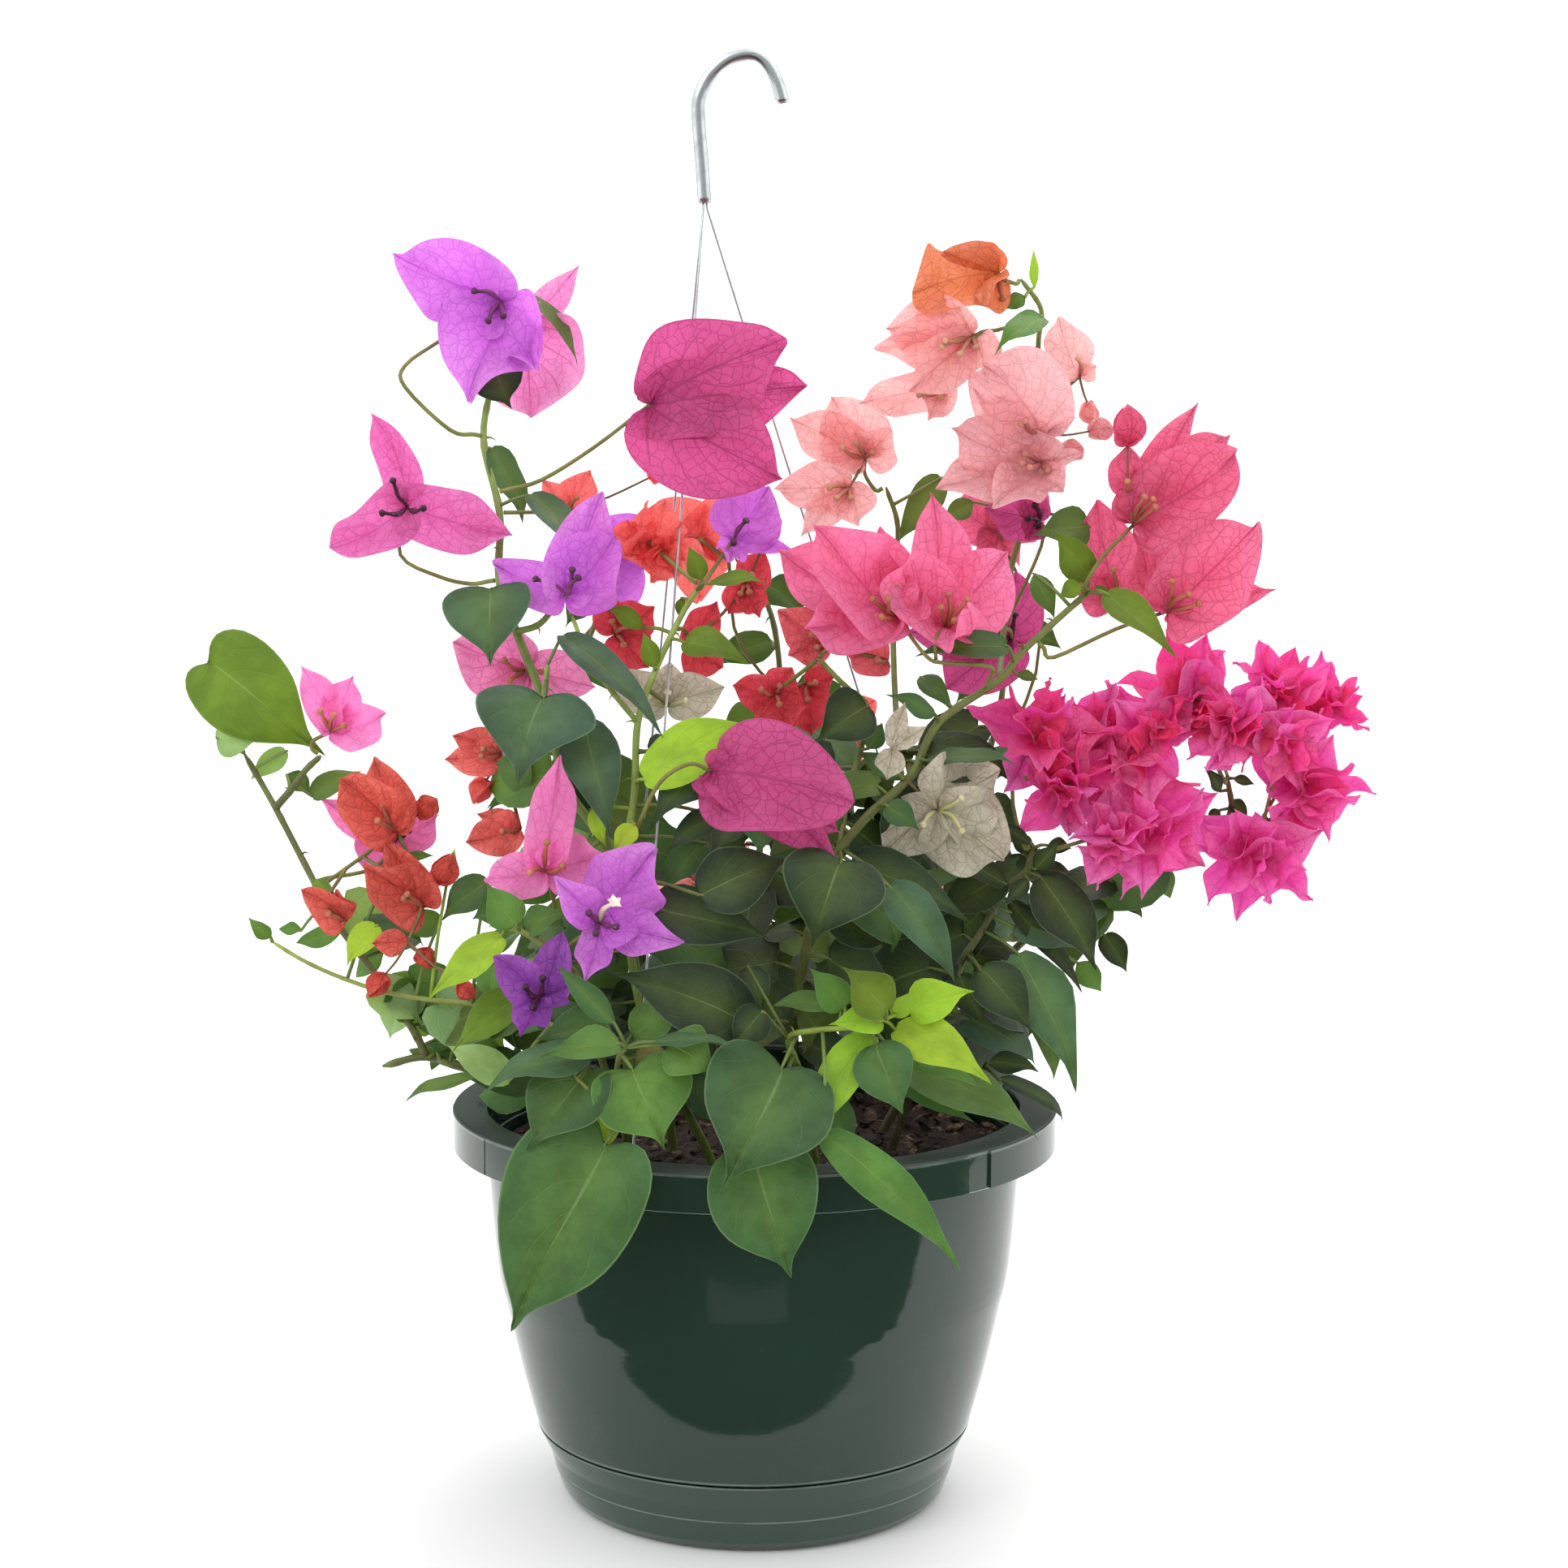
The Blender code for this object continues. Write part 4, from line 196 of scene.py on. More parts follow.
# Upright cards: place, half width, half height and grey
UPRIGHT_CARDS = {"front_card": ((0.0, -2.2, 1.0), 2.4, 1.1, 0.28),
                 "back_card": ((0.0, 2.6, 1.25), 2.8, 0.9, 0.14)}
# Lamps: place, size and share of the key light's power, all turned to one point
LAMPS = {"key_light": ((-1.3, -1.6, 1.9), 0.9, 1.0), "top_light": ((0.5, 0.9, 2.2), 1.3, 1.6)}
LIT_POINT = Vector((0.0, 0.0, 0.28))
FLOOR_HALF = 12.0
FAR_CLIP = 50.0

# The front view: the eye that the tables are seen from, its pitch down, its lens and its shift
EYE = Vector((0.0, -1135.0, 425.0))
EYE_PITCH = 0.107
LENS = 62.4
SENSOR = 36.0
SHIFT_X = 0.0194

# Half outlines of blades: each point as a share of length and of width, from the base to the tip
OUTLINES = {
    "heart": ((0.0, 0.02), (-0.065, 0.13), (-0.075, 0.28), (0.02, 0.43), (0.20, 0.51), (0.38, 0.50),
              (0.55, 0.41), (0.69, 0.26), (0.80, 0.12), (0.87, 0.055), (0.94, 0.025), (1.0, 0.004)),
    "leaf": ((0.0, 0.03), (0.0, 0.20), (0.09, 0.38), (0.24, 0.49), (0.40, 0.49), (0.56, 0.40),
             (0.71, 0.25), (0.84, 0.10), (0.93, 0.04), (1.0, 0.004)),
    "narrow": ((0.0, 0.05), (0.09, 0.26), (0.24, 0.45), (0.42, 0.50), (0.60, 0.41), (0.76, 0.24),
               (0.90, 0.08), (1.0, 0.004)),
    "bract": ((0.0, 0.03), (-0.03, 0.17), (0.02, 0.33), (0.15, 0.46), (0.33, 0.52), (0.52, 0.50),
              (0.69, 0.39), (0.83, 0.22), (0.93, 0.08), (1.0, 0.004)),
    "broad": ((0.0, 0.02), (-0.07, 0.15), (-0.05, 0.33), (0.07, 0.46), (0.25, 0.53), (0.45, 0.53),
              (0.63, 0.46), (0.78, 0.33), (0.89, 0.18), (0.96, 0.06), (1.0, 0.004)),
    "petal": ((0.0, 0.05), (0.08, 0.26), (0.24, 0.43), (0.42, 0.50), (0.60, 0.44), (0.76, 0.28),
              (0.90, 0.10), (1.0, 0.004)),
    "spear": ((0.0, 0.06), (0.07, 0.27), (0.20, 0.44), (0.35, 0.50), (0.50, 0.45), (0.64, 0.33),
              (0.77, 0.19), (0.87, 0.09), (0.95, 0.03), (1.0, 0.004)),
}
LEAF_SHAPES = ((28.0, "heart"), (11.5, "leaf"), (0.0, "narrow"))
BRACT_SHAPES = ((24.0, "broad"), (12.5, "bract"), (0.0, "petal"))
# How blades curve: bow lifts the rib's middle, cup lifts the sides, wave ripples the edge, droop
# bends the tip down and quilt lifts the sheet between its side veins, as shares of length or width
LEAF_FORM = (0.07, 0.22, 0.060, 0.10, 0.050)
BRACT_FORM = (-0.10, 0.28, 0.160, 0.10, 0.095)
CRUMPLED_FORM = (-0.10, 0.28, 0.150, 0.12, 0.170)
CURLED_FORM = (-0.20, 0.42, 0.240, 0.22, 0.085)
HEAD_FORM = (-0.12, 0.36, 0.110, 0.14, 0.050)
BUD_FORM = (-0.34, 0.34, 0.03, 0.0, 0.05)
STAR_FORM = (0.05, 0.1, 0.0, 0.0, 0.0)
CRUMPLED = ("coral", "brick_pink", "red", "red_dark", "orange_red")
CURLED = ("lilac_pink", "pink_low", "violet", "violet_deep", "hot_pink", "coral_pink")
# The least and the most that a blade's bow, cup, wave and droop are multiplied by
LEAF_SPREADS = ((0.4, 1.4), (0.6, 1.5), (0.5, 1.5), (0.5, 1.8))
BRACT_SPREADS = ((0.5, 1.5), (0.6, 1.5), (0.7, 1.5), (-0.8, 1.6))
HEAD_SPREADS = ((0.2, 1.6), (0.7, 1.5), (0.7, 1.4), (-0.6, 1.6))
# Faces of a blade's grid, across and along
GRIDS = {"wide bract": (14, 30), "bract": (10, 22), "wide leaf": (10, 24), "small": (6, 12),
         "filler": (4, 10), "lobe": (2, 4)}
WIDE_LEAF = 24
WIDE_BRACT = 22
# The sheet: how far a rib sweeps aside and a margin is uneven, how its rows bunch at the base, ripples
# along an edge, how the fold at the rib eases off, and where and how fast the tip droops
SWEEP = 0.035
UNEVEN = 0.16
BUNCHING = 1.7
RIPPLES = (1.3, 2.4)
FOLD_EASE = 0.75
DROOP_FROM = 0.6
DROOP_GAIN = 6.25
NOISE_REACH = 90
SIDE_VEINS = 5.5
VEIN_SLANT = 0.26
# Tufts of a double head: their form, outline, breadth and reach, crumpled and plain
CRUMPLED_TUFT = (CRUMPLED_FORM, "broad", (0.80, 0.98), 0.86)
PLAIN_TUFT = (HEAD_FORM, "spear", (0.62, 0.84), 1.16)
# A tuft's bracts, the two that stand up and the three that spread: lean in degrees, length and redness
STANDING = ((12, 36), (0.70, 0.90), (0.55, 1.0))
SPREADING = ((50, 82), (0.86, 1.12), (-0.3, 0.6))
# A flower tube: on bracts this wide, its longest, and its share of its bract's length
FLOWER_FROM = 12
FLOWER_LONGEST = 14.0
FLOWER_SHARE = 0.38
STAR_LOBES = 5
STAR_REACH = 3.6
STAR_WIDTH = 2.6

# Bends that the frame's blades and stalks may have been given, to find the one that each has
LEAF_BENDS = [(base, tip, size) for size in (1.0, 0.8) for base, tip in (
    (0, 0), (0, -6), (0, 6), (-5, -5), (5, 5), (-5, -12), (5, 12), (-10, -10), (10, 10), (0, -14),
    (0, 14), (-10, -20), (10, 20), (-18, -18), (18, 18), (-18, -28), (18, 28))]
BRACT_BENDS = [(tip, size) for size in (1.0, 0.85, 0.7) for tip in (
    0, -6, 6, -12, 12, -18, 18, -25, 25, -33, 33, 42, -42)]
STALK_SLIDES = (0, 6, -6, 12, -12, 20, -20)
STALK_BENDS = [(sway, push, lift) for lift in (0, 0.12, -0.12, 0.25, -0.25)
               for push in (0, -0.15, 0.15, -0.3, 0.3) for sway in (0, 0.15, -0.15, 0.3, -0.3)]

# The hook's middle line, x and z, from the wires' end to the free end
HOOK_LINE = ((-20.1, 543.0), (-21.0, 557.0), (-22.6, 578.0), (-22.0, 586.0), (-17.4, 594.7),
             (-10.0, 600.8), (-1.6, 602.8), (4.6, 599.8), (9.2, 592.4), (12.1, 583.4))

# Canes: where each stands in the soil (x, y), its radius at root and tip, its line (x, z, y),
# and branches that leave the line at their first point
CANES = {
    "cane_left": (
        (-34, -14), 2.7, 1.5,
        [(-44, 215, -40), (-60, 273, -58), (-78, 301, -52), (-88, 338, -46), (-99, 367, -38),
         (-106, 388, -32), (-105.5, 416, -24), (-111.7, 444, -14), (-110, 462, -10), (-105, 477, -8)],
        [[(-99, 367, -38), (-89, 370.5, -42), (-80, 381.5, -36), (-70.6, 390, -34)],
         [(-88, 338, -46), (-87, 345, -52), (-86, 353.5, -56)]]),
    "cane_centre": (
        (-18, -32), 2.4, 1.3,
        [(-46, 200, -62), (-54, 262, -74), (-50, 300, -72), (-48.5, 329, -66), (-41, 351, -60),
         (-30, 374, -54), (-22, 387, -50)],
        [[(-48.5, 329, -66), (-60.3, 343.4, -62), (-69.2, 357.4, -54), (-76, 374, -46)]]),
    "cane_right": (
        (16, -22), 2.8, 1.5,
        [(18, 210, -50), (30, 262, -70), (36, 274.7, -72), (48.4, 290, -70), (66.3, 307, -62),
         (77.6, 329, -54), (102.7, 346.9, -44), (111, 357.3, -42), (125.5, 371, -38),
         (139.6, 383.6, -34)],
        [[(102.7, 346.9, -44), (104, 364, -14), (107, 392, -4), (118, 432, -4), (121, 446, -6),
          (118, 470, -4), (117.6, 487, -4), (118.5, 500, -4), (110, 512.3, -6)],
         [(66.3, 307, -62), (60, 330, -20), (58, 384, 12), (60, 410, 6), (55, 427, -2)],
         [(36, 274.7, -72), (40, 300, -60), (46, 322, -52), (47.5, 336, -50), (38.7, 344, -52),
          (27, 355.8, -52)]]),
    "cane_far_left": (
        (-66, -16), 3.0, 1.8,
        [(-86, 170, -26), (-100, 176, -34), (-118, 181, -38), (-139, 186.5, -40),
         (-157.6, 182.5, -41)],
        [[(-139, 186.5, -40), (-144, 197.4, -38), (-157.6, 218.6, -32), (-176.4, 244.7, -24),
          (-189, 269, -16), (-201, 293, -10), (-213.8, 316.2, -6)],
         [(-112, 179, -37), (-121.2, 181, -46), (-134.6, 185, -50)],
         [(-201, 293, -10), (-194, 301, -14), (-188, 309, -16), (-181.5, 315, -18)]]),
    "cane_low_left": (
        (-48, -40), 2.1, 1.2,
        [(-66, 190, -78), (-74, 220, -96), (-88, 233.6, -100), (-98, 240.5, -100), (-104, 242, -98)],
        [[(-66, 190, -78), (-96, 205, -64), (-118, 209, -50), (-138.7, 211.4, -48), (-157.5, 214.8, -46),
          (-176.6, 221.5, -42), (-191, 228.3, -38), (-203.4, 236, -34)]]),
    "shoot_left": (
        (-50, -66), 1.9, 1.1,
        [(-56, 166, -100), (-58, 178, -114), (-57, 187, -120), (-54, 190.5, -122)],
        [[(-56, 166, -100), (-52, 160, -118), (-57, 158, -127), (-68.6, 170.8, -129),
          (-76.3, 178.5, -127)]]),
    "shoot_right": (
        (26, -66), 2.0, 1.1,
        [(20, 178, -92), (14.8, 194.2, -106), (26, 198, -112), (43.2, 199.5, -116), (56, 203, -119)],
        []),
    "cane_low_right": (
        (58, -16), 2.6, 1.4,
        [(74, 190, -28), (87.7, 226.4, -42), (95.4, 239, -42), (106.8, 259, -42), (114.5, 266, -42),
         (118, 276, -42)],
        [[(74, 190, -28), (86, 176, -30), (98, 182, -30)]]),
    "cane_far_right": (
        (58, 28), 2.6, 1.3,
        [(84, 200, 34), (118, 240, 24), (156, 262, 8), (186, 276, -4), (200, 290, -8), (199, 306, -8)],
        [[(186, 276, -4), (208, 284, -8), (220, 289, -10), (231, 292, -10)]]),
    "cane_back_left": (
        (-50, 44), 2.5, 1.3,
        [(-66, 200, 70), (-80, 250, 90), (-84, 300, 94), (-78, 345, 84), (-66, 378, 68)], []),
    "cane_back": (
        (-6, 58), 2.6, 1.3,
        [(-4, 210, 84), (4, 270, 104), (12, 325, 104), (8, 370, 84), (-8, 396, 62)], []),
    "cane_back_right": (
        (40, 56), 2.5, 1.3,
        [(58, 200, 82), (84, 250, 98), (104, 296, 98), (112, 340, 80), (110, 384, 58)], []),
    "cane_back_low": (
        (-10, 82), 2.2, 1.2,
        [(-14, 176, 104), (-18, 196, 124), (-22, 216, 138)],
        [[(-14, 176, 104), (6, 190, 122), (34, 204, 132), (58, 222, 136)],
         [(-14, 176, 104), (-42, 190, 116), (-74, 206, 118), (-104, 226, 110)]]),
}

# Leaves by cane: base and tip (x, z, y), width, then the yaw and pitch that the upper face looks to
LEAVES = {
    "cane_left": [
        (-92, 505, 2, -71, 478, 4, 14, 60, 30), (-106, 476, -18, -101, 460.5, -26, 22, 0, -10),
        (-109, 443, -18, -93.6, 412, -14, 19, 50, 20), (-93, 423.7, -26, -64.5, 389.5, -50, 14, 20, 30),
        (-109.7, 384.6, -40, -110.8, 354.4, -58, 37, -10, 35),
        (-87.7, 339, -66, -99.3, 305.5, -84, 46, -5, 22), (-80, 365, -52, -37, 325, -84, 17, 20, 45),
        (-70, 329, -60, -60, 282, -84, 24, 10, 0), (-72, 322, -40, -68, 287, -44, 16, 0, 10),
        (-102, 315, -44, -94.5, 295, -48, 14, -20, 10)],
    "cane_centre": [
        (-21.4, 388.7, -52, -27, 402.5, -54, 9, 0, 10), (-18.5, 387, -52, 4.4, 389.5, -58, 9, 0, 50),
        (-30, 381, -48, -31, 372.6, -46, 5, 0, 10), (-41.3, 352, -64, -46, 366.6, -66, 8, 0, 10),
        (-29, 362.6, -62, -2.6, 355.8, -74, 15, 10, 30), (-46, 368.6, -50, -61.6, 378.4, -52, 8, 0, 30),
        (-46, 305, -84, 6.3, 329.6, -84, 25, 0, 35), (-12, 316, -78, -44.5, 285.2, -92, 22, 0, 40),
        (-17, 290, -80, -37, 276, -88, 13, 0, 40), (-20, 278, -86, -39, 256, -94, 14, 0, 30),
        (-66, 294, -80, -63, 277, -84, 8, -20, 10), (-50, 286, -84, -59, 274, -90, 9, 0, 10),
        (-22.5, 256, -112, 15.3, 272.6, -106, 27, -5, 25), (-39, 250, -120, 19, 236, -122, 29, 0, 25),
        (-6, 202, -108, -61.4, 223, -118, 28, -5, 25)],
    "cane_right": [
        (119, 497, -12, 100, 484.5, -20, 14, -20, 20), (115.6, 509, -4, 115.3, 524.5, -6, 4, 0, 0),
        (112, 505, -12, 104, 500, -16, 8, -20, 20),
        (78, 431, 12, 59.3, 403, 10, 14, 0, 0), (91, 421, 6, 78.5, 414, 8, 10, 0, 10),
        (106, 361, -62, 68.4, 359.6, -74, 15, 0, 40), (47.7, 336, -58, 26.5, 321.5, -68, 24, 0, 20),
        (75.6, 332.8, -62, 50.5, 344, -66, 12, 0, 40), (70, 348, -40, 87.6, 330, -42, 12, 10, 10),
        (139, 411, -20, 117.6, 408.5, -26, 19, 0, 20), (139.5, 389.5, -38, 124.6, 410, -44, 15, -10, 20),
        (147, 383, -40, 177.6, 357.7, -54, 16, 10, 35), (137, 386, -36, 127, 382, -34, 9, -20, 30),
        (147.5, 382, -28, 141, 388, -26, 5, 0, 20), (117, 391, -26, 126, 373, -30, 10, 0, 20),
        (110, 349, -40, 119.4, 347, -38, 5, 0, 20), (48, 318, -58, 54, 329, -56, 9, 0, 10),
        (62, 305, -66, 44.6, 317, -62, 9, -10, 30), (72, 313, -64, 111, 315, -70, 10, 10, 50),
        (29, 290, -68, 42, 281, -66, 13, 0, 10), (56, 294, -78, 70, 284, -82, 12, 0, 30),
        (37, 270.3, -116, 24.8, 234.8, -130, 38, 0, 20), (41, 270.3, -82, 92, 248, -92, 22, 0, 40),
        (57, 260, -92, 86, 219.5, -100, 20, 15, 15)],
    "cane_far_left": [
        (-228, 354, -10, -181, 315, -30, 40, -5, 10), (-225, 322.5, -14, -207.6, 322.2, -20, 14, 0, -10),
        (-196, 317, -4, -215.6, 301.6, -2, 13, -10, 0), (-196, 307, -6, -185.5, 299, -4, 9, 20, 20),
        (-185.7, 298, -12, -164.6, 310, -4, 12, 0, 30), (-159, 243, -44, -172.8, 226, -50, 13, -20, 20),
        (-174.5, 240, -18, -194.5, 235.5, -14, 9, -20, 10), (-191, 241, -10, -201, 241.5, -6, 6, -20, 30),
        (-143, 221, -26, -159.4, 186, -22, 24, -10, 5), (-156.5, 232, -16, -170, 220.5, -12, 10, -20, 20),
        (-116.5, 178.6, -70, -151.5, 169.6, -66, 7, 0, 50), (-124, 196, -50, -136.5, 193, -46, 5, -20, 50),
        (-186, 262, -26, -176, 255, -34, 6, 10, 30)],
    "cane_low_left": [
        (-106.7, 238.7, -102, -139, 212.8, -112, 15, -10, 30),
        (-100.3, 243, -104, -112.6, 261, -106, 15, -10, 15),
        (-97, 242, -106, -77, 248, -112, 13, 0, 40), (-97, 214, -88, -129, 189, -96, 17, -10, 35),
        (-110, 227, -72, -112, 210, -78, 14, -10, 20), (-106, 251, -70, -119, 246, -74, 13, -10, 20),
        (-112, 262, -40, -132.6, 246, -44, 16, -10, 25), (-103, 177, -84, -131, 192, -78, 14, -10, 20),
        (-151, 269, -28, -135, 273.6, -30, 7, 0, 50), (-129, 263, -34, -126, 276, -34, 5, 0, 10),
        (-132, 246, -20, -150, 241, -16, 12, -10, 10), (-204, 238, -36, -213, 246, -40, 7, -10, 20)],
    "shoot_left": [
        (-57, 192.3, -126, -91, 188, -134, 15, 0, 50), (-51.5, 196.2, -124, -28, 211.6, -128, 19, 0, 40),
        (-43, 193, -128, -7.5, 194.2, -134, 8, 0, 60), (-50.5, 186, -132, -35.2, 187, -138, 11, 0, 30),
        (-51.4, 181, -134, -38, 147, -148, 39, 5, 25), (-36, 192, -122, -16, 180.6, -126, 22, 10, 20),
        (-70, 182, -122, -98, 146, -138, 30, -10, 30), (-70, 186, -118, -115, 175.6, -124, 18, -5, 50),
        (-62, 200, -112, -92, 195, -116, 18, -5, 20), (-59, 201, -122, -82, 226.5, -122, 10, 10, 20),
        (-63, 149, -130, -108, 65, -128, 56, -15, 15), (-58, 162, -124, -70, 144, -128, 10, -10, 10)],
    "shoot_right": [
        (56.5, 206, -122, 38.7, 225.4, -124, 19, 0, 25), (58.7, 204, -124, 67.3, 214.8, -128, 8, 0, 10),
        (66, 206, -116, 92.4, 215.5, -122, 17, 0, 25), (54.5, 202.2, -126, 32.1, 201, -134, 13, 0, 35),
        (60, 198.3, -124, 101.5, 176.9, -138, 20, 5, 35), (58, 189, -112, 97.7, 174.4, -118, 10, 5, 40),
        (50.5, 196, -128, 17.2, 144, -146, 17, -5, 15), (52, 192.3, -116, 64, 162, -124, 24, 5, 10),
        (38.6, 208, -110, 24, 224.5, -114, 14, 0, 10), (37, 208, -118, 7.2, 209.4, -126, 10, 0, 45),
        (12, 182, -124, -13, 131, -148, 52, 0, 22), (0, 144, -134, 16.4, 89, -142, 42, 0, 12),
        (29, 152, -130, 90.5, 94, -140, 18, 15, 25), (4, 206, -112, -9, 191, -118, 16, 0, 10),
        (33, 170, -112, 42, 143, -122, 12, 10, 10), (-2, 225, -100, 4, 205, -104, 13, 0, 10)],
    "cane_low_right": [
        (105.7, 261, -46, 63.9, 279.5, -54, 13, 0, 45), (117, 278, -46, 97, 289, -52, 6, 0, 30),
        (117, 275.5, -44, 108, 282, -48, 8, 0, 10), (118.6, 267, -48, 128, 278, -52, 9, 0, 20),
        (124, 277, -42, 134, 276, -44, 8, 0, 30), (119, 266.8, -42, 135.6, 265.4, -44, 9, 0, 40),
        (116, 262.5, -46, 106, 252.5, -50, 7, 0, 20), (121.2, 263.4, -46, 146.4, 224.4, -56, 24, 5, 25),
        (111.8, 231, -54, 139.5, 172.8, -76, 24, 15, 20), (108.6, 253, -40, 142, 214.7, -42, 12, 20, 20),
        (118, 210, -56, 128.9, 175.5, -60, 12, 10, 10), (95.5, 224.4, -50, 118.4, 197.4, -58, 21, 5, 15),
        (87, 221.5, -54, 98.6, 199.3, -60, 14, 0, 15), (137, 227, -34, 147.9, 214.8, -36, 11, 10, 10),
        (99.5, 184, -46, 121.5, 181.4, -50, 11, 0, 45), (60, 184, -72, 122.8, 153, -84, 24, 5, 40),
        (104, 177, -40, 135.8, 160, -44, 10, 10, 45), (61, 180, -70, 93.6, 158, -78, 12, -10, 10)],
    "cane_far_right": [
        (149.7, 262.7, 4, 154.9, 252, 2, 8, 0, 10), (152, 259, 14, 164.7, 246, 14, 8, 10, 10),
        (148, 239, 14, 158.5, 222.7, 12, 12, 10, 0), (196, 300, -10, 190, 310, -12, 6, 0, 20),
        (201.5, 305.5, -8, 213, 302.5, -10, 6, 0, 30), (196, 292, -12, 189, 286, -14, 6, -10, 10),
        (200, 296, -8, 208, 289, -10, 7, 10, 20), (198, 309, -6, 193, 317, -6, 7, 0, 10),
        (201.4, 280, -14, 212, 259, -20, 6, 10, 20), (170, 268, 6, 176, 254, 10, 10, 0, 10)],
    "cane_back_left": [
        (-76, 220, 92, -104, 196, 106, 26, 200, 25), (-90, 248, 88, -122, 232, 84, 24, 250, 30),
        (-78, 262, 104, -66, 236, 122, 26, 170, 25), (-92, 290, 94, -122, 282, 96, 24, 240, 25),
        (-80, 306, 106, -70, 278, 122, 28, 175, 20), (-88, 330, 92, -116, 322, 96, 22, 220, 30),
        (-74, 350, 92, -56, 328, 106, 24, 165, 25), (-66, 382, 66, -84, 366, 78, 20, 210, 30)],
    "cane_back": [
        (-10, 230, 96, -40, 206, 112, 28, 200, 25), (4, 244, 104, 26, 220, 122, 28, 165, 25),
        (-2, 276, 110, -30, 256, 124, 26, 195, 25), (14, 292, 112, 40, 278, 122, 26, 160, 30),
        (8, 322, 114, -16, 306, 128, 26, 190, 25), (20, 338, 106, 44, 324, 112, 24, 150, 30),
        (8, 358, 98, -18, 346, 108, 22, 200, 30), (6, 384, 84, 24, 368, 96, 22, 165, 30)],
    "cane_back_right": [
        (66, 222, 90, 50, 198, 108, 26, 190, 25), (80, 238, 92, 108, 218, 100, 26, 150, 25),
        (88, 264, 100, 74, 242, 116, 24, 185, 25), (98, 278, 98, 128, 262, 98, 24, 130, 30),
        (104, 304, 100, 88, 286, 116, 24, 190, 25), (112, 322, 90, 138, 308, 94, 22, 130, 30),
        (110, 346, 82, 92, 332, 96, 22, 190, 25), (114, 366, 70, 138, 356, 76, 20, 140, 30)],
    "cane_back_low": [
        (-24, 216, 138, -30, 190, 152, 30, 185, 30), (-10, 190, 130, 6, 164, 144, 28, 170, 30),
        (20, 200, 130, 30, 172, 142, 30, 165, 30), (58, 222, 134, 84, 200, 136, 26, 140, 30),
        (44, 212, 136, 40, 236, 142, 22, 170, 20), (-40, 190, 120, -56, 164, 130, 28, 200, 30),
        (-74, 206, 120, -88, 178, 124, 28, 215, 25), (-104, 226, 108, -132, 208, 104, 26, 240, 25),
        (-90, 218, 112, -82, 242, 122, 22, 200, 20)],
}

